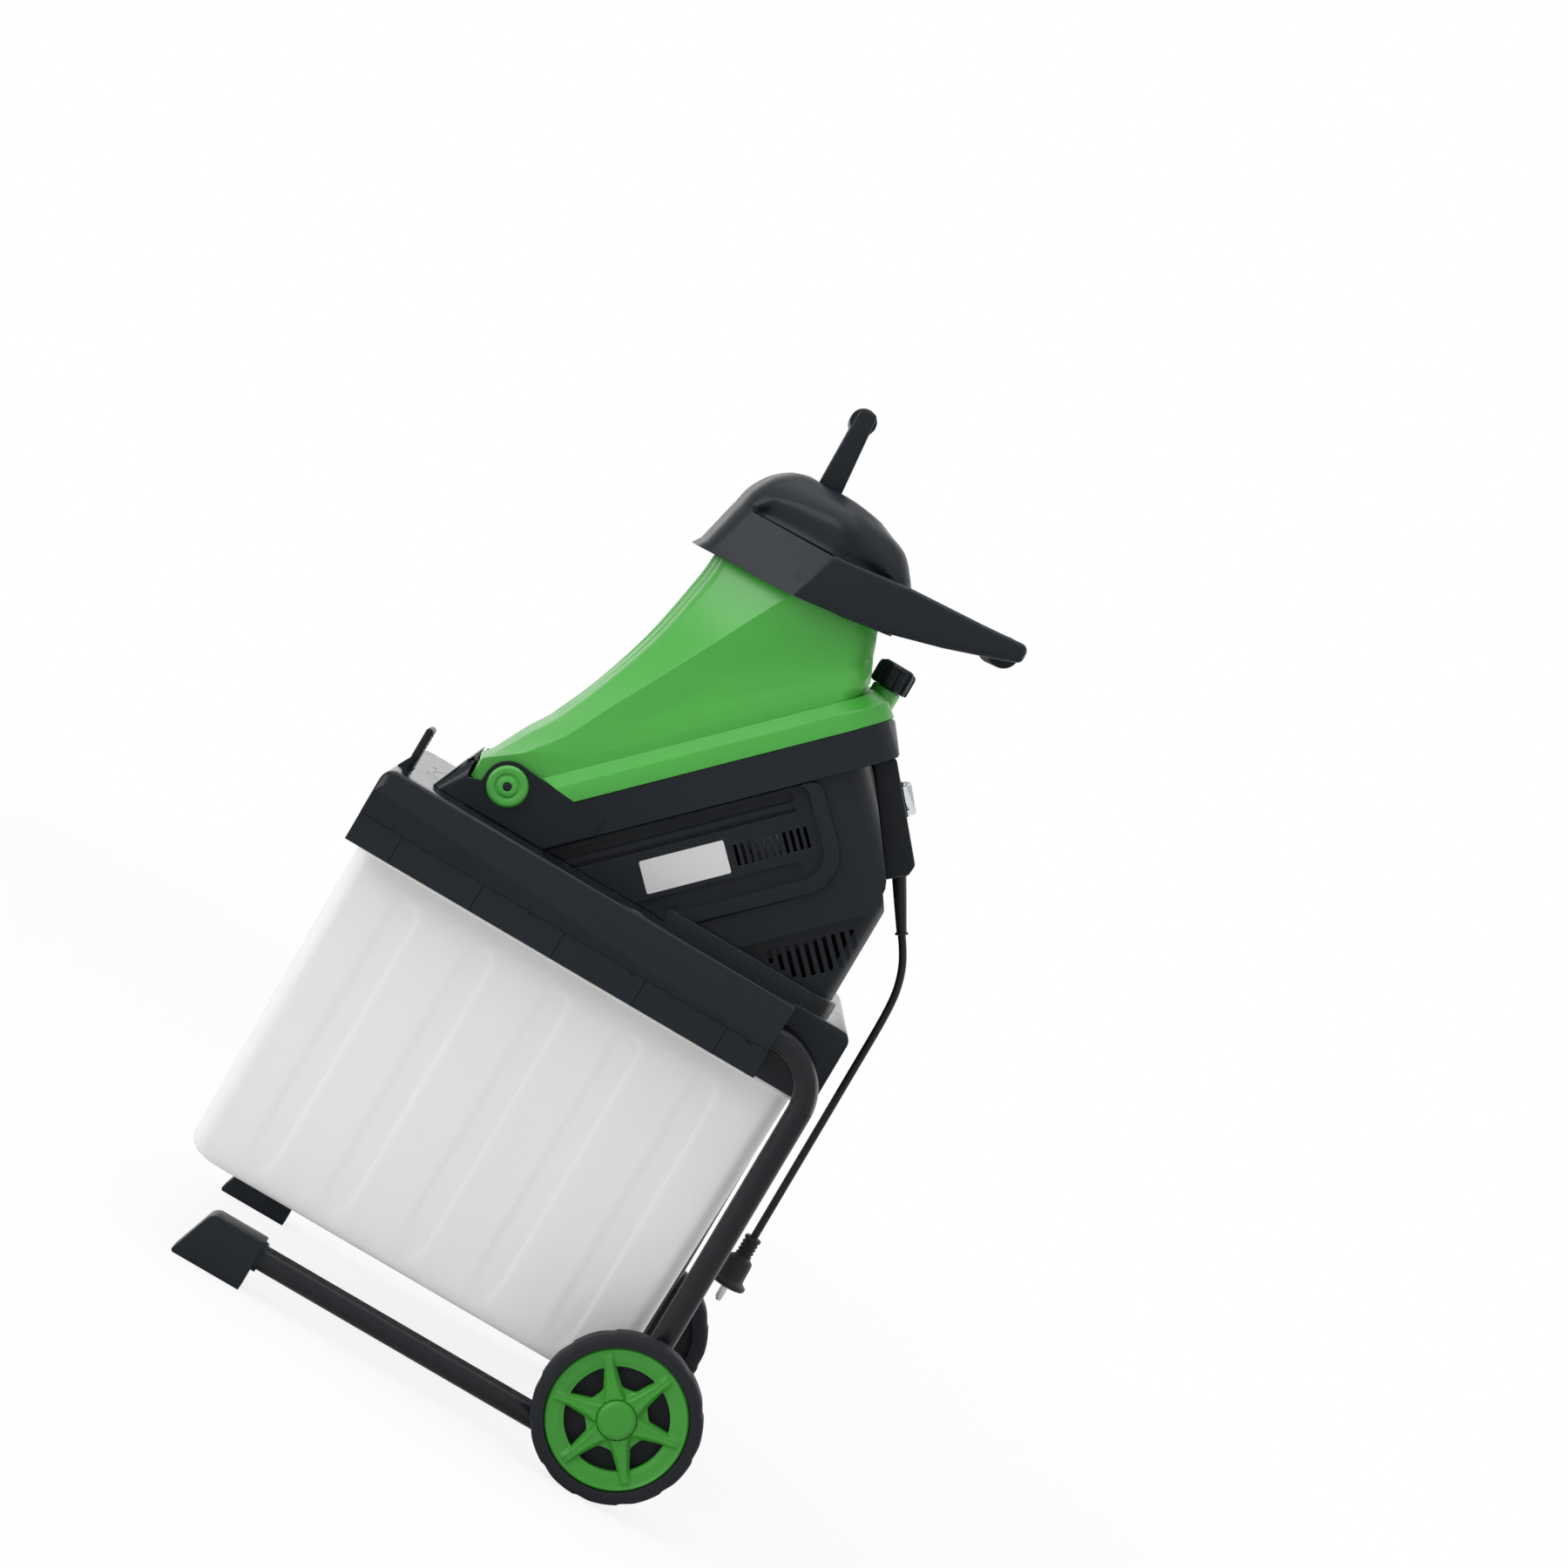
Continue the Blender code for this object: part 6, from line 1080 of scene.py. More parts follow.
def band_housing():
    """Sloping band with the blade chamber, the chute, the curved nose and the two hinge ears."""
    floor = UNIT_FLOOR
    profile = [(-0.4585, floor), (-0.4436, above(0.0372)), (-0.4428, above(0.0388))]
    profile += [(-0.4412, above(0.0395)), (-0.4300, above(0.0395))]
    profile += sloped(
        ((0.1310, -0.0003), (0.4785, -0.0003), (0.4815, -0.0032), (0.4768, -0.0352), (0.4745, -0.0371))
    )
    profile.append((where_level(floor, -0.0371), floor))
    made = flat_tool(profile, -UNIT_HALF, UNIT_HALF, across)
    keep_inside(made, flat_tool(round_backed(0.131, 0.4816, 0.048, -0.2), -0.40, 0.20, square_to_slope))
    rings = []
    for z, front, radius in NOSE_LEVELS:
        nose = rounded(
            (
                (front, -0.1275, radius), (0.10, -0.1305, 0.0), (0.10, 0.1305, 0.0),
                (front, 0.1275, radius),
            ),
            12,
        )
        rings.append([(x, y, above(z)) for x, y in nose])
    keep_inside(made, loose(skin(rings)))
    inside = 0.1195
    carve(made, flat_tool(arc((PIVOT_X, PIVOT_Z), 0.0458, 60, 330, 48), -inside, inside, across))
    carve(made, through_tool([(PIVOT_X, PIVOT_Z)] + arc((PIVOT_X, PIVOT_Z), 0.0400, 95, 198, 28)))
    for side in (-1.0, 1.0):
        ear = side_tool(ear_outline(), side, inside + 0.0003, 0.1306)
        low = floor + 0.0008
        carve(ear, through_tool(square(-0.50, -0.2, low - 0.1, low)))
        carve(ear, through_tool(sloped(square(0.0, 0.60, -0.40, -0.0359))))
        carve(ear, through_tool(sloped(square(0.1590, 0.40, -0.002, 0.20))))
        join(made, ear)
    x, z = slope(0.325, 0.0)
    axis = (-math.sqrt(0.5), 0.0, math.sqrt(0.5))
    carve(made, rod((x, 0, z), axis, 0.117, -0.0334, 0.02, 96))
    chute = [
        (-0.428, floor - 0.02), (-0.346, floor - 0.02), (-0.346, floor + 0.004), slope(0.252, -0.0333),
        slope(0.252, 0.02),
    ]
    chute += [(PIVOT_X, PIVOT_Z + 0.03), (PIVOT_X - 0.02, PIVOT_Z)]
    carve(made, flat_tool(chute, -0.085, 0.085, across))
    join(made, rod((x, 0, z), axis, 0.018, -0.0485, -0.0344, 40))
    carve(made, rod((x, 0, z), axis, 0.0133, -0.0600, -0.0385, 40))
    carve(made, rod((x, 0, z), axis, 0.0090, -0.05, 0.0, 32))
    low = STUD_LOW - 0.001
    slot = [
        (KNOB_X - 0.0046, low), (KNOB_X + 0.0046, low), (KNOB_X + 0.0046, low + 0.0655),
        (KNOB_X - 0.0734, low + 0.0655),
    ]
    carve(made, flat_tool(slot, -0.0046, 0.0046, across))
    for side in (-1.0, 1.0):
        carve(made, rod((PIVOT_X, 0, PIVOT_Z), (0, side, 0), PIVOT_HOLE, 0.11, 0.14, 40))
    settle("band_housing", made, "deck_black", "chassis", ["cutter_housing"], 28.0)


def on_box(s, t):
    """The (x, z) of a point on the switch box: s down its back, t out of it."""
    along = Vector((math.cos(BOX_SLOPE), math.sin(BOX_SLOPE)))
    out = Vector((-along.y, along.x))
    place = Vector((-0.1007, above(0.2332))) + along * s + out * t
    return place.x, place.y


def box_back(s):
    """How far in the switch box's back is at s: it deepens towards the cord."""
    return -BOX_DEEPENS * s / BOX_LENGTH


def casing_outline(grow=0.0):
    """(x, z) outline of the motor body, from the tray up the slope and round to its end."""
    floor, top, end = UNIT_FLOOR + grow, -0.0374 - grow, -0.177 + grow
    toe, heel = where_level(floor, top), where_level(floor, end)
    outline = [(toe, floor), slope(0.4485, top)]
    outline += [on_box(0.0, -0.0003), on_box(0.1128, box_back(0.1128) - 0.0003)]
    return outline + [(-0.0300, above(0.1355)), slope(0.4150, end), (heel, floor)]


def panel_outline(rear, high, low, high_radius, low_radius, steps):
    """A field on the casing's side, along the slope from the tray to a rounded rear end."""
    corners = ((0.060, high, 0.0), (rear, high, high_radius), (rear, low, low_radius), (0.060, low, 0.0))
    return [slope(point.x, point.y) for point in rounded(corners, steps)]


def motor_body():
    """Motor casing with its ridged side panels, long grooves, vents and rear foot."""
    floor = UNIT_FLOOR
    made = flat_tool(casing_outline(), -0.1225, 0.1225, across)
    keep_inside(made, flat_tool(round_backed(0.1226, 0.4486, 0.045, 0.0), -0.30, 0.05, square_to_slope))
    panel = panel_outline(0.3975, -0.0374, -0.144, 0.012, 0.040, 14)
    raised = loose(eased_prism(panel, -0.1280, 0.1280, across, 0.0028, 4))
    carve(raised, through_tool(square(-0.60, 0.1, floor - 0.2, floor)))
    join(made, raised)
    corners = (
        (-0.170, floor, 0.0), (-0.170, above(0.0555), 0.0), (-0.060, above(0.1355), 0.0),
        (-0.0290, above(0.1295), 0.0),
    )
    corners += ((-0.0177, above(0.1141), 0.010), (-0.0177, floor, 0.0))
    foot = flat_tool(rounded(corners, 10), -0.112, 0.112, across)
    keep_inside(
        foot, flat_tool(round_backed(0.113, -0.0176, 0.026, -0.30, 12), floor - 0.1, floor + 0.2, upward)
    )
    join(made, foot)
    recess = panel_outline(0.3825, -0.0389, -0.129, 0.010, 0.026, 12)
    trough = panel_outline(0.3590, -0.1105, -0.1265, 0.0079, 0.0079, 10)
    grooves = [
        panel_outline(0.366, high, low, 0.0015, 0.0015, 5)
        for high, low in ((-0.0445, -0.0530), (-0.0590, -0.0630))
    ]
    for side in (-1.0, 1.0):
        carve(made, side_tool(recess, side, 0.1165))
        carve(made, side_tool(trough, side, 0.1130))
        for groove in grooves:
            carve(made, side_tool(groove, side, 0.1105))
    hollow = [slope(0.175, -0.0174), slope(0.4430, -0.0174), on_box(0.010, box_back(0.010) - 0.0053)]
    hollow += [
        on_box(0.1028, box_back(0.1028) - 0.0053), slope(0.4090, -0.172), slope(0.2600, -0.172),
        slope(0.175, -0.095),
    ]
    room = flat_tool(hollow, -0.109, 0.109, across)
    keep_inside(room, flat_tool(round_backed(0.1091, 0.4440, 0.034, 0.0), -0.30, 0.05, square_to_slope))
    carve(made, room)
    under = [
        (-0.125, floor - 0.0248), (-0.0227, floor - 0.0248), (-0.0227, floor + 0.0952),
        (-0.040, floor + 0.0852),
    ]
    inner = round_backed(0.107, -0.0226, 0.021, -0.30, 8)
    for side in (-1.0, 1.0):
        below = side_tool(under, side, 0.0015, 0.107)
        keep_inside(below, flat_tool(inner, floor - 0.1, floor + 0.2, upward))
        carve(made, below)
    vents = bmesh.new()
    for side in (-1.0, 1.0):
        for index in range(11):
            u = 0.2985 + index * 0.0070
            vent_block(vents, side, 0.1065, square(u, u + 0.0031, -0.1005, -0.0795))
        for index in range(10):
            u = 0.3040 + index * 0.0092
            vent_block(vents, side, 0.1050, square(u, u + 0.0042, max(-0.2220, 0.1032 - u), -0.1880))
    carve(made, loose(vents))
    settle("motor_body", made, "cad_black", "chassis", ["motor_casing"], 28.0)


def vent_block(bm, side, inner, corners):
    """Adds one slot's tool to the mesh that cuts all vents."""
    outline = rounded([(*slope(u, n), 0.0005) for u, n in corners], 2)
    skin([[across(x, z, y) for x, z in outline] for y in span(side, inner, OUTSIDE)], into=bm)


def bare_plate():
    """The rating plate's place, with its plate left blank."""
    outline = sloped(oblong(0.2060, 0.2905, -0.1052, -0.0722, 0.002, 4))
    bm = eased_prism(outline, -0.1169, -0.1163, across, 0.0001, 1)
    new_piece("bare_plate", bm, "plate", 32.0, "chassis")


# Switch, cord boot and plug


def box_block(s0, s1, t0, t1, half, edge=0.0):
    """A block on the switch box, with eased edges unless edge is zero."""
    outline = [on_box(s, t) for s, t in square(s0, s1, t0, t1)]
    if edge:
        return loose(eased_prism(outline, -half, half, across, edge, 2))
    return flat_tool(outline, -half, half, across)


def rocker_block(reach, t0, t1, half, edge=0.0):
    """A block centred on the rocker, reaching as far up the box as down it."""
    return box_block(ROCKER_S - reach, ROCKER_S + reach, t0, t1, half, edge)


def boot_axis():
    """Where the boot leaves the switch box, and its direction towards the cord's first point."""
    x, z = on_box(BOX_LENGTH, (BOX_THICK - BOX_DEEPENS) / 2)
    start = Vector((x, 0.0, z))
    return start, (Vector(CORD_ROUTE[0]) - start).normalized()


def switch_housing():
    """Hollow switch box on the casing's back, with the rocker's window and the boot's hole."""
    corners = ((0.0, 0.0003, 0.0), (0.0, BOX_THICK, 0.004), (0.1083, BOX_THICK, 0.007))
    corners += ((BOX_LENGTH, BOX_THICK - 0.0085, 0.006), (BOX_LENGTH, -0.0072, 0.0))
    outline = rounded([(*on_box(s, t), radius) for s, t, radius in corners], 8)
    made = loose(eased_prism(outline, -0.055, 0.055, across, 0.0026, 5))
    inside = [
        on_box(s, t)
        for s, t in ((0.004, -0.02), (0.004, 0.0203), (0.1058, 0.0203), (0.1128, 0.0133), (0.1128, -0.02))
    ]
    carve(made, flat_tool(inside, -0.051, 0.051, across))
    carve(made, rocker_block(0.0140, BOX_THICK - 0.01, BOX_THICK + 0.01, 0.0095))
    start, way = boot_axis()
    carve(made, rod(start, way, 0.0063, -0.012, 0.010))
    settle("switch_housing", made, "black_plastic", "chassis", ["switch_box"])


def switch_frame():
    """Thin frame round the rocker, with two small ears that hold the clear flap's pins."""
    made = rocker_block(0.0175, BOX_FACE, BOX_FACE + 0.0022, 0.0125, 0.0007)
    join(made, rocker_block(0.0137, BOX_FACE - 0.006, BOX_FACE + 0.001, 0.0092))
    corners = square(FLAP_HINGE_S - 0.002, FLAP_HINGE_S + 0.002, BOX_FACE + 0.001, BOX_FACE + 0.0062)
    ear = rounded([(*on_box(s, t), 0.0012) for s, t in corners], 5)
    for side in (-1.0, 1.0):
        join(made, side_tool(ear, side, 0.0098, 0.0122))
    carve(made, rocker_block(0.0126, BOX_FACE - 0.02, BOX_FACE + 0.02, 0.0081))
    x, z = on_box(FLAP_HINGE_S, BOX_FACE + 0.0042)
    carve(made, rod((x, 0, z), (0, 1, 0), 0.0014, -0.02, 0.02, 24))
    settle("switch_frame", made, "black_plastic", "chassis", ["switch_bezel"])


def rocker():
    """Two-part rocker: one half stands out, with a shallow hollow for the finger."""
    half, lean = 0.0116, math.radians(7)
    line = [(-half, -0.0040), (half, -0.0040), (half, 0.0030), (half - 0.0005, 0.0034)]
    line += [(half * (1 - step / 6), 0.0018 + 0.0016 * (1 - step / 6) ** 2) for step in range(1, 12)]
    line += [(-half + 0.0005, 0.0034), (-half, 0.0030)]
    cosine, sine = math.cos(lean), math.sin(lean)
    outline = [
        on_box(ROCKER_S + s * cosine - t * sine, BOX_FACE + s * sine + t * cosine) for s, t in line
    ]
    made = loose(eased_prism(outline, -0.0075, 0.0075, across, 0.0004, 2))
    settle("rocker", made, "black_plastic", "rocker", ["rocker_switch"])


def clear_flap():
    """Clear dust flap over the rocker, on two small pins."""
    start, stop, high = FLAP_HINGE_S - 0.0016, ROCKER_S + 0.0167, BOX_FACE + 0.0110
    corners = ((start, BOX_FACE + 0.0030, 0.0008), (stop, BOX_FACE + 0.0025, 0.0))
    corners += ((stop - 0.0010, high, 0.003), (start + 0.0010, high, 0.003))
    outline = rounded([(*on_box(s, t), radius) for s, t, radius in corners], 6)
    made = loose(eased_prism(outline, -0.0094, 0.0094, across, 0.0005, 2))
    carve(made, box_block(start + 0.0040, stop - 0.0012, BOX_FACE - 0.0075, high - 0.0012, 0.0082))
    x, z = on_box(FLAP_HINGE_S, BOX_FACE + 0.0042)
    join(made, rod((x, 0, z), (0, 1, 0), 0.0011, -0.0120, 0.0120, 24))
    settle("clear_flap", made, "clear_plastic", "cover", ["switch_cover"])


def cord_boot():
    """Tapered boot that guides the cord out of the switch box, with a small flange at its end."""
    start, way = boot_axis()
    length = (Vector(CORD_ROUTE[0]) - start).length
    profile = [(0.0, -0.009), (0.0060, -0.009), (0.0060, 0.0016), (0.0070, 0.0016), (0.0073, 0.0022)]
    profile += [
        (0.0073 - 0.0022 * (step / 10) ** 1.2, 0.0022 + (length - 0.0058) * step / 10)
        for step in range(1, 11)
    ]
    flange = ((0.0058, 0.0030), (0.0066, 0.0027), (0.0068, 0.0020), (0.0068, 0.0011))
    flange += ((0.0064, 0.0007), (0.0052, 0.0004), (0.0, 0.0003))
    profile += [(radius, length - back) for radius, back in flange]
    bm = turned(profile, start, way, 56)
    new_piece("cord_boot", bm, "cord", 40.0, "chassis", ["strain_relief"])


# Radii of the plug, with how far down from the top or ring, or up from the low end, each one is
PLUG_COLLAR = (
    (0.0, 0.0), (0.0072, 0.0), (0.0084, 0.0006), (0.0088, 0.0014), (0.0088, 0.0036), (0.0080, 0.0044)
)
PLUG_RIB = ((0.0074, 0.0), (0.0074, 0.0010), (0.0084, 0.0018), (0.0086, 0.0028), (0.0082, 0.0036))
PLUG_SHOULDER = ((0.0086, 0.0225), (0.0100, 0.0236), (0.0124, 0.0252), (0.0130, 0.0270), (0.0134, 0.0320))
PLUG_FLANGE = (
    (0.0138, 0.0115),
    (0.0146, 0.0090),
    (0.0162, 0.0074),
    (0.0184, 0.0062),
    (0.0194, 0.0054),
    (0.0195, 0.0040),
    (0.0191, 0.0020),
    (0.0178, 0.0008),
    (0.0160, 0.0002),
    (0.0, 0.0),
)


def plug():
    """Two-pin plug: collar, ribbed neck, body and dished flange, with flat pins."""
    x, y, z = CORD_ROUTE[-1]
    top = z - 0.0003
    low = top - 0.056
    profile = [(radius, top - down) for radius, down in PLUG_COLLAR]
    for index in range(4):
        ring = top - 0.0052 - index * 0.0042
        profile += [(radius, ring - down) for radius, down in PLUG_RIB]
    profile += [(radius, top - down) for radius, down in PLUG_SHOULDER]
    profile += [(radius, low + up) for radius, up in PLUG_FLANGE]
    made = loose(turned(profile[::-1], (x, y, 0.0), (0, 0, 1), 72))
    pieces = []
    for number, side in ((1, -1.0), (2, 1.0)):
        middle = y + side * 0.00635
        pocket = square(x - 0.0034, x + 0.0034, middle - 0.0011, middle + 0.0011)
        carve(made, flat_tool(pocket, low - 0.01, low + 0.0043, upward))
        front, rear, tip, root = x - 0.0031, x + 0.0031, low - 0.0165, low + 0.004
        outline = rounded(
            ((front, tip, 0.0022), (rear, tip, 0.0022), (rear, root, 0.0), (front, root, 0.0)), 6
        )
        pin = loose(eased_prism(outline, middle - 0.0008, middle + 0.0008, across, 0.0003, 2))
        carve(pin, rod((x, middle, low - 0.0120), (0, 1, 0), 0.0015, -0.005, 0.005, 24))
        settle("flat_pin_%d" % number, pin, "steel", "chassis", ["plug_pin_%d" % number])
        pieces.append(pin)
    settle("plug", made, "cord", "chassis", ["plug_body"])
    return [made] + pieces


# Hopper


HOPPER_LEVELS = (
    # Heights above the tray: middle front (x, z); front corner, crease, heel, rear corner (x, z, y)
    (
        (-0.4385, 0.0420), (-0.4335, 0.0417, 0.082), (-0.4318, 0.0252, 0.1185), (-0.3560, 0.0435, 0.1195),
        (-0.1450, 0.2800, 0.1180),
    ),
    (
        (-0.4300, 0.0525), (-0.4245, 0.0530, 0.082), (-0.4075, 0.0615, 0.1185), (-0.3400, 0.1030, 0.1195),
        (-0.1436, 0.2995, 0.1180),
    ),
    (
        (-0.4116, 0.0882), (-0.4045, 0.0890, 0.081), (-0.3752, 0.1018, 0.1175), (-0.3250, 0.1375, 0.1180),
        (-0.1462, 0.3065, 0.1150),
    ),
    (
        (-0.3965, 0.1132), (-0.3890, 0.1145, 0.080), (-0.3546, 0.1414, 0.1165), (-0.3050, 0.1715, 0.1160),
        (-0.1488, 0.3125, 0.1110),
    ),
    (
        (-0.3770, 0.1583), (-0.3690, 0.1600, 0.079), (-0.3288, 0.1909, 0.1150), (-0.2820, 0.2105, 0.1140),
        (-0.1512, 0.3180, 0.1070),
    ),
    (
        (-0.3535, 0.2283), (-0.3450, 0.2295, 0.078), (-0.3030, 0.2405, 0.1130), (-0.2600, 0.2515, 0.1110),
        (-0.1538, 0.3235, 0.1030),
    ),
    (
        (-0.3395, 0.2984), (-0.3310, 0.2990, 0.077), (-0.2720, 0.2999, 0.1110), (-0.2390, 0.3045, 0.1090),
        (-0.1580, 0.3355, 0.0980),
    ),
    (
        (-0.3365, 0.3284), (-0.3280, 0.3290, 0.076), (-0.2544, 0.3346, 0.1100), (-0.2330, 0.3370, 0.1080),
        (-0.1623, 0.3465, 0.0960),
    ),
    (
        (-0.3355, 0.3415), (-0.3270, 0.3422, 0.075), (-0.2510, 0.3485, 0.1090), (-0.2300, 0.3510, 0.1070),
        (-0.1640, 0.3595, 0.0950),
    ),
)


def between_levels(levels, steps):
    """More levels on smooth curves through the given ones."""
    levels = [[Vector((*corner, 0.0)[:3]) for corner in level] for level in levels]
    made = []
    for index in range(len(levels) - 1):
        four = four_around(levels, index)
        made += [[between(*corners, step / steps) for corners in zip(*four)] for step in range(steps)]
    return made + [levels[-1]]


def ring_from(corners):
    """A closed ring from near-side corners (x, z, y, radius) and their mirror images."""
    near = [(x, -y, z, radius) for x, z, y, radius in corners]
    far = [(x, y, z, radius) for x, z, y, radius in reversed(corners)][:-1]
    return rounded(near + far, 6)


def hopper_ring(level, wall):
    """The hopper's outline at one level, moved in by the wall."""
    middle, front, crease, heel, rear = level
    corners = (
        (middle[0] + wall, above(middle[1]), 0.0, 0.0),
        (front[0] + wall, above(front[1]), front[2] - wall * 0.8, 0.014),
        (crease[0] + wall * 0.3, above(crease[1]), crease[2] - wall, 0.0035),
        (heel[0], above(heel[1]), heel[2] - wall, 0.030),
        (rear[0] - wall, above(rear[1] - wall * 0.9), rear[2] - wall, 0.030),
    )
    return ring_from(corners)


def mirror_skin(rings):
    """A mesh over rings that start on the middle plane; each end joins its points to their twins."""
    bm = skin(rings, caps=False)
    bm.verts.ensure_lookup_table()
    count = len(rings[0])
    for start in (0, count * (len(rings) - 1)):
        layer = bm.verts[start : start + count]
        bm.faces.new((layer[0], layer[1], layer[-1]))
        for i in range(1, count // 2):
            bm.faces.new((layer[i], layer[i + 1], layer[count - i - 1], layer[count - i]))
    return bm


def stepped_plan(levels, radius, front):
    """A shape on the slope from (n, half width, rear) levels, square in front and rounded behind."""
    plans = [(n, round_backed(half, rear, radius, front)) for n, half, rear in levels]
    return loose(skin([[square_to_slope(u, y, n) for u, y in plan] for n, plan in plans]))


def hopper_shell():
    """Green hopper: creased funnel on a flange, with hinge lugs, the knob's post and a sloping floor."""
    outer = [HOPPER_LEVELS[0]] + between_levels(HOPPER_LEVELS[1:], 5)
    made = loose(mirror_skin([hopper_ring(level, 0.0) for level in outer]))
    flange = ((0.0, 0.1296, 0.4811), (0.0004, UNIT_HALF, 0.4815), (0.0168, UNIT_HALF, 0.4796))
    flange += ((0.0176, 0.1297, 0.4790), (0.0182, 0.1291, 0.4783), (0.0292, 0.1200, 0.4690))
    join(made, stepped_plan(flange, 0.048, 0.135))
    under = sloped(square(0.131, 0.60, -0.10, 0.0))
    carve(made, through_tool(under))
    inner = [hopper_ring(level, 0.004) for level in outer]
    low = [(x, y, z - 0.012) for x, y, z in inner[0]]
    high = [(x, y, z + 0.012) for x, y, z in inner[-1]]
    room = loose(mirror_skin([low] + inner + [high]))
    slab = ((0.0042, 0.126, 0.4735), (0.0195, 0.126, 0.4720), (0.0196, 0.1255, 0.4715))
    join(room, stepped_plan(slab, 0.042, 0.139))
    floor = [(-0.50, above(0.0935)), (-0.4180, above(0.0795)), (-0.3480, above(0.0515))]
    floor += [slope(0.139, 0.005), slope(0.60, 0.005), slope(0.60, -0.20), (-0.50, above(-0.1045))]
    carve(room, through_tool(floor))
    carve(made, room)
    throat = oblong(0.215, 0.345, -0.065, 0.065, 0.018)
    carve(made, flat_tool(throat, -0.02, 0.02, square_to_slope))
    inside = 0.1192
    corners = ((-0.4285, 0.0225, 0.002), (-0.3530, 0.0395, 0.0), (-0.3230, 0.0695, 0.0))
    corners += ((-0.3400, 0.0855, 0.004), (-0.3930, 0.0755, 0.006), (-0.4312, 0.0465, 0.006))
    lug = rounded([(x, above(z), radius) for x, z, radius in corners], 6)
    for side in (-1.0, 1.0):
        join(made, side_tool(lug, side, inside - 0.0065, inside))
    post = (
        (0.0, 0.0672), (0.0150, 0.0672), (0.0150, 0.0022), (0.0143, 0.0006), (0.0130, 0.0003),
        (0.0, 0.0003),
    )
    profile = [(radius, KNOB_LOW - down) for radius, down in post]
    join(made, loose(turned(profile, (KNOB_X, 0, 0), (0, 0, 1), 64)))
    carve(made, through_tool(under))
    carve(made, rod((KNOB_X, 0, 0), (0, 0, 1), 0.0047, KNOB_LOW - 0.1072, KNOB_LOW + 0.0228, 32))
    for side in (-1.0, 1.0):
        carve(made, side_tool(ear_outline(0.0005), side, inside, 0.16))
        carve(made, rod((PIVOT_X, 0, PIVOT_Z), (0, side, 0), PIVOT_HOLE, 0.10, 0.14, 40))
    settle("hopper_shell", made, "green_plastic", "hopper", ["hopper"], edge=24.0)


def front_ridges():
    """Three slim ribs up the front of the hopper, under the hood."""
    for number, y in enumerate((-0.046, 0.0, 0.046), 1):
        rings = []
        for level in between_levels(HOPPER_LEVELS[3:], 5):
            middle, front = level[0], level[1]
            share = abs(y) / front[2]
            x = middle[0] + (front[0] - middle[0]) * share
            z = above(middle[1] + (front[1] - middle[1]) * share)
            rise = 0.0021 * eased((middle[1] - 0.150) / 0.14)
            half = [(x + 0.0012, 0.0030), (x - rise * 0.9, 0.0014)]
            ring = [(a, y - b, z) for a, b in half] + [(x - rise, y, z)]
            rings.append(ring + [(a, y + b, z) for a, b in reversed(half)])
        new_piece("front_ridge_%d" % number, skin(rings), "green_plastic", 40.0, "hopper")


# The hinge cap's face with its ring groove: radius, then how far down from the rim
CAP_FACE = (
    (0.0205, 0.0034),
    (0.0201, 0.0020),
    (0.0194, 0.0009),
    (0.0184, 0.0002),
    (0.0172, 0.0),
    (0.0134, 0.0),
    (0.0127, 0.0004),
    (0.0120, 0.0014),
    (0.0112, 0.0017),
    (0.0104, 0.0014),
    (0.0097, 0.0004),
    (0.0090, 0.0),
    (0.0050, 0.0),
    (0.0045, 0.0004),
    (0.0044, 0.0025),
    (0.0021, 0.0025),
)


def hinge_caps(word, side):
    """Round green cap on the hinge with one ring groove, and the dark cross-head screw in it."""
    face = 0.1309
    rim = face + 0.0080
    profile = [
        (0.0, 0.1129), (0.008, 0.1129), (0.008, face), (0.0198, face), (0.0204, face + 0.0008),
        (0.0205, face + 0.0022),
    ]
    profile += [(radius, rim - down) for radius, down in CAP_FACE]
    profile += [(0.0021, face - 0.006), (0.0, face - 0.006)]
    bm = turned(profile, (PIVOT_X, 0, PIVOT_Z), (0, side, 0), 80)
    new_piece("hinge_cap_" + word, bm, "green_plastic", 34.0, "hopper", ["pivot_cap_" + word])
    head = rim - 0.0022
    profile = [
        (0.0, face - 0.0055), (0.0018, face - 0.0055), (0.0018, head), (0.0036, head),
        (0.0040, head + 0.0004),
    ]
    profile += [
        (0.0039, head + 0.0010), (0.0034, head + 0.0016), (0.0020, head + 0.0020), (0.0, head + 0.0021)
    ]
    screw = loose(turned(profile, (PIVOT_X, 0, PIVOT_Z), (0, side, 0), 40))
    for turn in (0.3, 0.3 + math.pi / 2):
        cosine, sine = math.cos(turn), math.sin(turn)
        bar = []
        for along, off in square(-0.0024, 0.0024, -0.0005, 0.0005):
            bar.append((PIVOT_X + cosine * along - sine * off, PIVOT_Z + sine * along + cosine * off))
        carve(screw, side_tool(bar, side, head + 0.0007, head + 0.01))
    settle("cap_screw_" + word, screw, "dark_steel", "hopper", ["pivot_screw_" + word])


# Hood with its handle, grip, plunger and knob


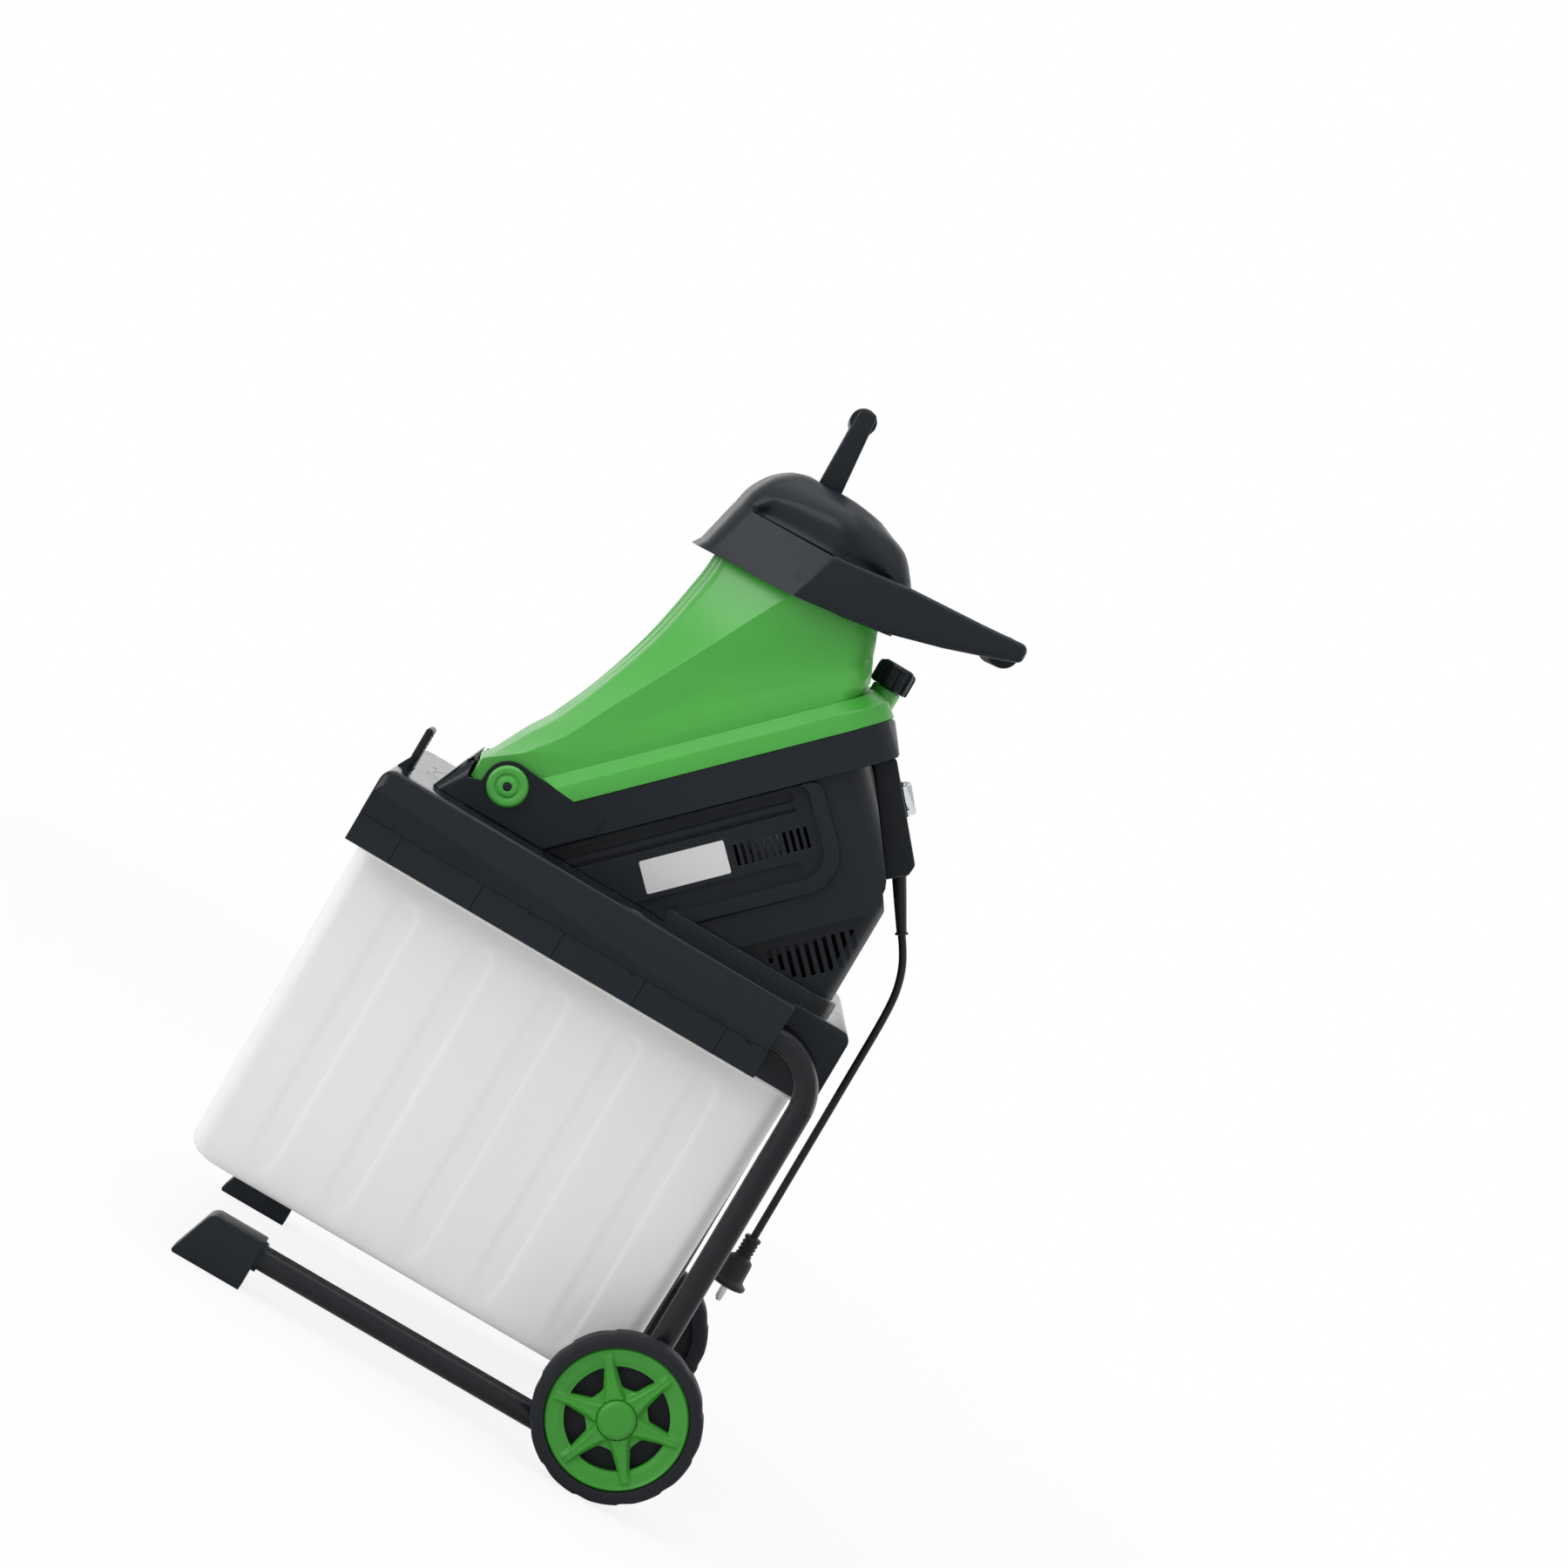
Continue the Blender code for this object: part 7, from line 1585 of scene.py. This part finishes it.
HOOD_LEVELS = (
    # Heights above the tray: middle front (x, z); front corner, crease, rear corner (x, z, y)
    ((-0.3645, 0.3285), (-0.3560, 0.3289, 0.084), (-0.2520, 0.3345, 0.1330), (-0.1500, 0.3485, 0.1235)),
    ((-0.3585, 0.3375), (-0.3505, 0.3379, 0.083), (-0.2500, 0.3425, 0.1325), (-0.1500, 0.3555, 0.1230)),
    ((-0.3480, 0.3835), (-0.3400, 0.3840, 0.079), (-0.2350, 0.3865, 0.1260), (-0.1500, 0.3915, 0.1180)),
    ((-0.3474, 0.3847), (-0.3394, 0.3852, 0.0785), (-0.2350, 0.3882, 0.1257), (-0.1530, 0.3930, 0.1150)),
    ((-0.3430, 0.4045), (-0.3350, 0.4050, 0.0755), (-0.2400, 0.4090, 0.1222), (-0.1620, 0.4065, 0.1100)),
    ((-0.3310, 0.4245), (-0.3240, 0.4250, 0.069), (-0.2450, 0.4290, 0.1110), (-0.1780, 0.4245, 0.0980)),
    ((-0.3150, 0.4380), (-0.3095, 0.4383, 0.061), (-0.2450, 0.4400, 0.0940), (-0.2000, 0.4340, 0.0860)),
    ((-0.3010, 0.4430), (-0.2975, 0.4432, 0.056), (-0.2450, 0.4440, 0.0850), (-0.2130, 0.4395, 0.0790)),
)
LEDGE_TOP = TRAY_TOP + 0.4335
GRIP_X, GRIP_Z = -0.0470, TRAY_TOP + 0.3915


# Stops along the hood's side: x, then the height of the hollow's foot, or how far up it reaches
HOLLOW_FOOT = ((-0.3394, 0.3852), (-0.2500, 0.3877), (-0.1530, 0.3930))
HOLLOW_REACH = (
    (-0.332, 0.004),
    (-0.3215, 0.013),
    (-0.3114, 0.023),
    (-0.290, 0.030),
    (-0.250, 0.034),
    (-0.2275, 0.029),
    (-0.200, 0.018),
    (-0.165, 0.0),
)


def crescent(x, z):
    """How far the hood's side is drawn in at the crescent hollow above its skirt."""
    ledge = above(graded(x, HOLLOW_FOOT))
    reach = graded(x, HOLLOW_REACH)
    if reach < 0.0005 or z < ledge - 0.0006:
        return 0.0
    depth = bpy.context.scene.shredder_sizes.crescent
    return depth * eased((1.0 - (z - ledge) / reach) / 0.9) * eased((x + 0.330) / 0.014)


def hood_ring(level, wall):
    """The hood's outline at one level, moved in by the wall and by the hollows in its sides."""
    middle, front, crease, rear = level
    lift = above(-wall * 0.25)
    soft = 0.003 if middle[1] < 0.384 else 0.039
    corners = (
        (middle[0] + wall, middle[1] + lift, 0.0, 0.0),
        (front[0] + wall, front[1] + lift, front[2] - wall * 0.8, 0.026),
        (crease[0], crease[1] + lift, crease[2] - wall, soft),
        (rear[0] - wall, rear[1] + lift, rear[2] - wall, 0.020),
    )
    line = ring_from(corners)
    ring = []
    for index, (a, b) in enumerate(zip(line, line[1:] + line[:1])):
        pieces = {0: 8, 7: 26, 14: 28, 28: 28, 35: 26, 42: 8}.get(index, 1)
        ring += [a.lerp(b, step / pieces) for step in range(pieces)]
    return [(p.x, math.copysign(abs(p.y) - crescent(p.x, p.z), p.y), p.z) for p in ring]


def mouth_outline(inset):
    """Plan of the hood's mouth: wide round corners in front, small ones behind."""
    front, rear, half = -0.300 + inset, -0.219 - inset, 0.073 - inset
    wide, small = 0.039 - inset, 0.014
    return rounded(
        ((front, -half, wide), (rear, -half, small), (rear, half, small), (front, half, wide)), 12
    )


# Corners of the handle's side bar: x, height above the tray, radius
ARM_CORNERS = (
    (-0.2550, 0.3375, 0.0),
    (-0.2013, 0.3404, 0.0),
    (-0.1613, 0.3475, 0.020),
    (-0.1012, 0.3645, 0.040),
    (-0.0462, 0.3835, 0.020),
    (-0.0280, 0.3905, 0.007),
    (-0.0285, 0.4087, 0.008),
    (-0.0800, 0.4040, 0.020),
    (-0.1600, 0.3985, 0.020),
    (-0.2385, 0.3888, 0.0),
)


def handle_arm(side):
    """One side of the handle: a deep rounded bar that runs back from the hood and tapers."""
    outline = rounded([(x, above(z), radius) for x, z, radius in ARM_CORNERS], 8)

    def place(x, z, inset):
        return (x, side * (0.1330 - (x + 0.2520) * 0.080 - 0.10 * (z - above(0.3405)) - inset), z)

    return loose(eased_prism(outline, 0.0, 0.020, place, 0.0055, 4))


def hood():
    """Hood with its crescent hollows, inner shelf, plunger ledge and towing handle."""
    levels = list(HOOD_LEVELS[:3]) + between_levels(HOOD_LEVELS[3:], 7)
    made = loose(mirror_skin([hood_ring(level, 0.0) for level in levels]))
    inner = [hood_ring(level, 0.0035) for level in levels[:-1]]
    low = [(x, y, z - 0.006) for x, y, z in inner[0]]
    room = loose(mirror_skin([low] + inner))
    shelf = [
        (x, above(0.3415) + (x + 0.3355) * 0.10496 + lift)
        for x, lift in square(-0.50, 0.0, 0.0003, 0.0038)
    ]
    carve(room, flat_tool(shelf, -0.3, 0.3, across))
    ledge = square(-0.50, 0.0, LEDGE_TOP - 0.0035, LEDGE_TOP + 0.05)
    carve(room, flat_tool(ledge, -0.3, 0.3, across))
    carve(made, room)
    mouth = hopper_ring(HOPPER_LEVELS[-1], 0.007)
    carve(made, loose(mirror_skin([[(x, y, z + lift) for x, y, z in mouth] for lift in (-0.004, 0.012)])))
    carve(made, flat_tool(mouth_outline(0.0), LEDGE_TOP, LEDGE_TOP + 0.032, upward))
    carve(made, flat_tool(mouth_outline(0.006), LEDGE_TOP - 0.03, LEDGE_TOP + 0.032, upward))
    handle = rod((GRIP_X, 0, GRIP_Z), (0, 1, 0), 0.0095, -0.100, 0.100, 40)
    for side in (-1.0, 1.0):
        join(handle, handle_arm(side))
    join(made, handle)
    settle("hood", made, "cad_black", "hopper", ["hood_handle"], 28.0)


def grip():
    """Soft sleeve on the handle's bar, with shallow rings for the hand."""
    outer, bore, half = 0.0160, 0.0098, 0.088
    end = [(bore, half), (0.0150, half), (0.0157, 0.0874), (outer, 0.0864)]
    profile = [(radius, -level) for radius, level in end]
    floor = outer - bpy.context.scene.shredder_sizes.groove
    for index in range(21):
        middle = -0.080 + 0.008 * index
        profile += [(outer, middle - 0.0016), (floor, middle - 0.0008)]
        profile += [(floor, middle + 0.0008), (outer, middle + 0.0016)]
    profile += end[::-1]
    bm = turned(profile, (GRIP_X, 0, GRIP_Z), (0, 1, 0), 56, True)
    new_piece("grip", bm, "rubber", 40.0, "hopper", ["grip_sleeve"])


def plunger():
    """Plunger: plate in the hood's mouth, ribbed tail, foot plate and the two-armed grip."""
    low, top = LEDGE_TOP + 0.0003, LEDGE_TOP + 0.0043
    tail = above(0.2655)
    made = loose(eased_prism(mouth_outline(0.0007), low, top, upward, 0.0012, 4))
    join(made, flat_tool(square(-0.2620, -0.2570, tail, low + 0.001), -0.0616, 0.0616, across))
    rib = square(-0.2906, -0.2284, tail + 0.001, low + 0.0012)
    for y in (-0.034, 0.034):
        join(made, flat_tool(rib, y - 0.0025, y + 0.0025, across))
    foot = oblong(-0.2926, -0.2264, -0.0656, 0.0656, 0.008)
    join(made, loose(eased_prism(foot, tail - 0.004, tail + 0.002, upward, 0.0010, 3)))
    root, tip = top - 0.001, above(0.5280)
    corners = ((-0.2853, root, 0.0), (-0.2600, root, 0.0), (-0.2692, tip, 0.0045), (-0.2874, tip, 0.0060))
    arm = rounded(corners, 8)
    for side in (-1.0, 1.0):
        join(made, loose(eased_prism(arm, *span(side, 0.0400, 0.0520), across, 0.0022, 4)))
    join(made, rod((-0.2783, 0, above(0.5160)), (0, 1, 0), 0.0134, -0.0420, 0.0420, 64))
    settle("pusher", made, "black_plastic", "plunger", ["plunger"], edge=28.0)


def knob_rib(drawn):
    """One rib of the knob in plan, (radius, off its middle line), with its crown drawn in."""
    half = [(0.012, 0.0036), (0.0198 - drawn, 0.0034), (0.0204 - drawn, 0.0024)]
    return [(radius, -off) for radius, off in half] + [(0.0205 - drawn, 0.0)] + half[::-1]


def knob():
    """Ribbed locking knob on its screw."""
    top = KNOB_LOW + 0.0258
    profile = [(0.0, STUD_LOW), (0.0032, STUD_LOW), (0.0040, STUD_LOW + 0.0010)]
    profile += [(0.0040, KNOB_LOW), (0.0175, KNOB_LOW), (0.0186, KNOB_LOW + 0.0010)]
    profile += [(0.0186, top - 0.0062), (0.0180, top - 0.0038), (0.0166, top - 0.0016)]
    profile += [(0.0146, top - 0.0004), (0.0130, top), (0.0, top)]
    made = loose(turned(profile, (KNOB_X, 0, 0), (0, 0, 1), 96))
    levels = ((KNOB_LOW + 0.0008, 0.0004), (KNOB_LOW + 0.0016, 0.0), (top - 0.0070, 0.0))
    levels += ((top - 0.0042, 0.0006), (top - 0.0022, 0.0022))
    for index in range(10):
        angle = math.pi / 5 * index
        rings = []
        for z, drawn in levels:
            ring = []
            for radius, off in knob_rib(drawn):
                x = KNOB_X + radius * math.cos(angle) - off * math.sin(angle)
                ring.append((x, radius * math.sin(angle) + off * math.cos(angle), z))
            rings.append(ring)
        join(made, loose(skin(rings)))
    settle("knob", made, "cad_black", "knob", ["locking_knob"], 30.0)


# Sizes and colours that a user would change


class ShredderColours(bpy.types.PropertyGroup):
    """Colours of the machine's finishes."""

    def hue(name, description, default):
        return bpy.props.FloatVectorProperty(
            name=name, description=description, default=default, min=0.0, max=1.0, subtype="COLOR"
        )

    black_plastic: hue("Black plastic", "Housing, tray, hood and feet", (0.0095, 0.0125, 0.0165))
    green_plastic: hue("Green plastic", "Hopper and hinge caps", (0.052, 0.352, 0.040))
    wheel_green: hue("Wheel green", "Wheel covers and hub caps", (0.036, 0.270, 0.022))
    bin_plastic: hue("Bin plastic", "Collection bin", (0.80, 0.795, 0.785))
    tube_paint: hue("Tube paint", "Side frames", (0.0080, 0.0095, 0.0120))
    rubber: hue("Rubber", "Tyres and grip sleeve", (0.0085, 0.0098, 0.0130))
    cord: hue("Cord", "Cord, boot and plug", (0.0120, 0.0130, 0.0145))
    plate: hue("Plate", "Bare plate on the casing", (0.70, 0.70, 0.70))


class ShredderSizes(bpy.types.PropertyGroup):
    """Small forms of the machine that a user would change."""

    def size(name, description, default, high):
        return bpy.props.FloatProperty(
            name=name, description=description, default=default, min=0.0, max=high, unit="LENGTH",
            precision=4,
        )

    flute: size("Flute", "How deep the bin's flutes are", 0.0009, 0.0035)
    tread: size("Tread", "How deep the gaps in the tread are", 0.0011, 0.0028)
    crescent: size("Crescent", "How deep the hollows in the hood's sides are", 0.0100, 0.012)
    groove: size("Grip groove", "How deep the rings in the grip are", 0.0004, 0.001)


class ShredderStage(bpy.types.PropertyGroup):
    """Light around the machine."""

    surround: bpy.props.FloatProperty(
        name="Surround", description="Strength of the plain light from all sides", default=0.56, min=0.0,
        max=2.0,
    )


class SHREDDER_OT_stage(bpy.types.Operator):
    """Camera, lamps, plain surround and pale floor"""

    bl_idname = "shredder.stage"
    bl_label = "Stage"

    def execute(self, context):
        make_camera()
        make_lights()
        make_surround()
        make_floor()
        return {"FINISHED"}


class SHREDDER_OT_cord(bpy.types.Operator):
    """Mains cord with its boot and its plug"""

    bl_idname = "shredder.cord"
    bl_label = "Cord"

    def execute(self, context):
        cord, route, length = make_cord()
        cord_boot()
        plug()
        return {"FINISHED"}


class SHREDDER_OT_frames(bpy.types.Operator):
    """Both bent side tubes with their block feet"""

    bl_idname = "shredder.frames"
    bl_label = "Side frames"

    def execute(self, context):
        for word, side in SIDES:
            side_tube(word, side)
            block_foot(word, side)
        return {"FINISHED"}


class SHREDDER_OT_wheels(bpy.types.Operator):
    """Both wheels: tyre, spoked green cover and hub cap"""

    bl_idname = "shredder.wheels"
    bl_label = "Wheels"

    def execute(self, context):
        for word, side in SIDES:
            wheel_tyre(word, side)
            wheel_cover(word, side)
            wheel_hub(word, side)
        return {"FINISHED"}


class SHREDDER_OT_tray(bpy.types.Operator):
    """Base tray and the runners under its rails"""

    bl_idname = "shredder.tray"
    bl_label = "Tray"

    def execute(self, context):
        tray()
        for word, side in SIDES:
            runner(word, side)
        return {"FINISHED"}


class SHREDDER_OT_bin(bpy.types.Operator):
    """Collection bin and its sliding lock"""

    bl_idname = "shredder.bin"
    bl_label = "Bin"

    def execute(self, context):
        bin_shell()
        lock_plate()
        return {"FINISHED"}


class SHREDDER_OT_unit(bpy.types.Operator):
    """Band housing, motor body and the bare plate on it"""

    bl_idname = "shredder.unit"
    bl_label = "Cutting unit"

    def execute(self, context):
        band_housing()
        motor_body()
        bare_plate()
        return {"FINISHED"}


class SHREDDER_OT_switch(bpy.types.Operator):
    """Switch housing with its frame, rocker and clear flap"""

    bl_idname = "shredder.switch"
    bl_label = "Switch"

    def execute(self, context):
        switch_housing()
        switch_frame()
        rocker()
        clear_flap()
        return {"FINISHED"}


class SHREDDER_OT_hopper(bpy.types.Operator):
    """Green hopper with its front ribs and hinge caps"""

    bl_idname = "shredder.hopper"
    bl_label = "Hopper"

    def execute(self, context):
        hopper_shell()
        front_ridges()
        for word, side in SIDES:
            hinge_caps(word, side)
        return {"FINISHED"}


class SHREDDER_OT_hood(bpy.types.Operator):
    """Hood with its handle and the grip on it"""

    bl_idname = "shredder.hood"
    bl_label = "Hood"

    def execute(self, context):
        hood()
        grip()
        return {"FINISHED"}


class SHREDDER_OT_plunger(bpy.types.Operator):
    """Plunger with its grip, and the locking knob"""

    bl_idname = "shredder.plunger"
    bl_label = "Plunger"

    def execute(self, context):
        plunger()
        knob()
        return {"FINISHED"}


class SHREDDER_OT_solids(bpy.types.Operator):
    """Finishes on the solids that keep their own shape"""

    bl_idname = "shredder.solids"
    bl_label = "Solids"

    def execute(self, context):
        for part in frame["record"]["subparts"]:
            name, slot = part["node"], part["material_slot"]
            if name in HIDDEN:
                continue
            if name.startswith("blade"):
                slot = "blade_steel"
            elif slot == "black_plastic":
                slot = "cad_black"
            paint_node(name, slot)
        return {"FINISHED"}


class SHREDDER_PT_pieces(bpy.types.Panel):
    """The machine's pieces and colours"""

    bl_idname = "SHREDDER_PT_pieces"
    bl_label = "Garden shredder"
    bl_space_type = "VIEW_3D"
    bl_region_type = "UI"
    bl_category = "Shredder"

    def draw(self, context):
        layout = self.layout
        for operator in OPERATORS:
            layout.operator(operator.bl_idname)
        scene = context.scene
        for group in (scene.shredder_colours, scene.shredder_sizes, scene.shredder_stage):
            for name in group.__annotations__:
                layout.prop(group, name)


OPERATORS = (
    SHREDDER_OT_stage,
    SHREDDER_OT_cord,
    SHREDDER_OT_frames,
    SHREDDER_OT_wheels,
    SHREDDER_OT_tray,
    SHREDDER_OT_bin,
    SHREDDER_OT_unit,
    SHREDDER_OT_switch,
    SHREDDER_OT_hopper,
    SHREDDER_OT_hood,
    SHREDDER_OT_plunger,
    SHREDDER_OT_solids,
)
CLASSES = (ShredderColours, ShredderSizes, ShredderStage, *OPERATORS, SHREDDER_PT_pieces)


def register():
    for kind in CLASSES:
        bpy.utils.register_class(kind)
    bpy.types.Scene.shredder_colours = bpy.props.PointerProperty(type=ShredderColours)
    bpy.types.Scene.shredder_sizes = bpy.props.PointerProperty(type=ShredderSizes)
    bpy.types.Scene.shredder_stage = bpy.props.PointerProperty(type=ShredderStage)


def unregister():
    del bpy.types.Scene.shredder_stage
    del bpy.types.Scene.shredder_sizes
    del bpy.types.Scene.shredder_colours
    for kind in reversed(CLASSES):
        bpy.utils.unregister_class(kind)


def main():
    register()
    bpy.context.scene.view_settings.view_transform = "Standard"
    for operator in OPERATORS:
        group, call = operator.bl_idname.split(".")
        getattr(getattr(bpy.ops, group), call)()


if __name__ == "__main__":
    main()
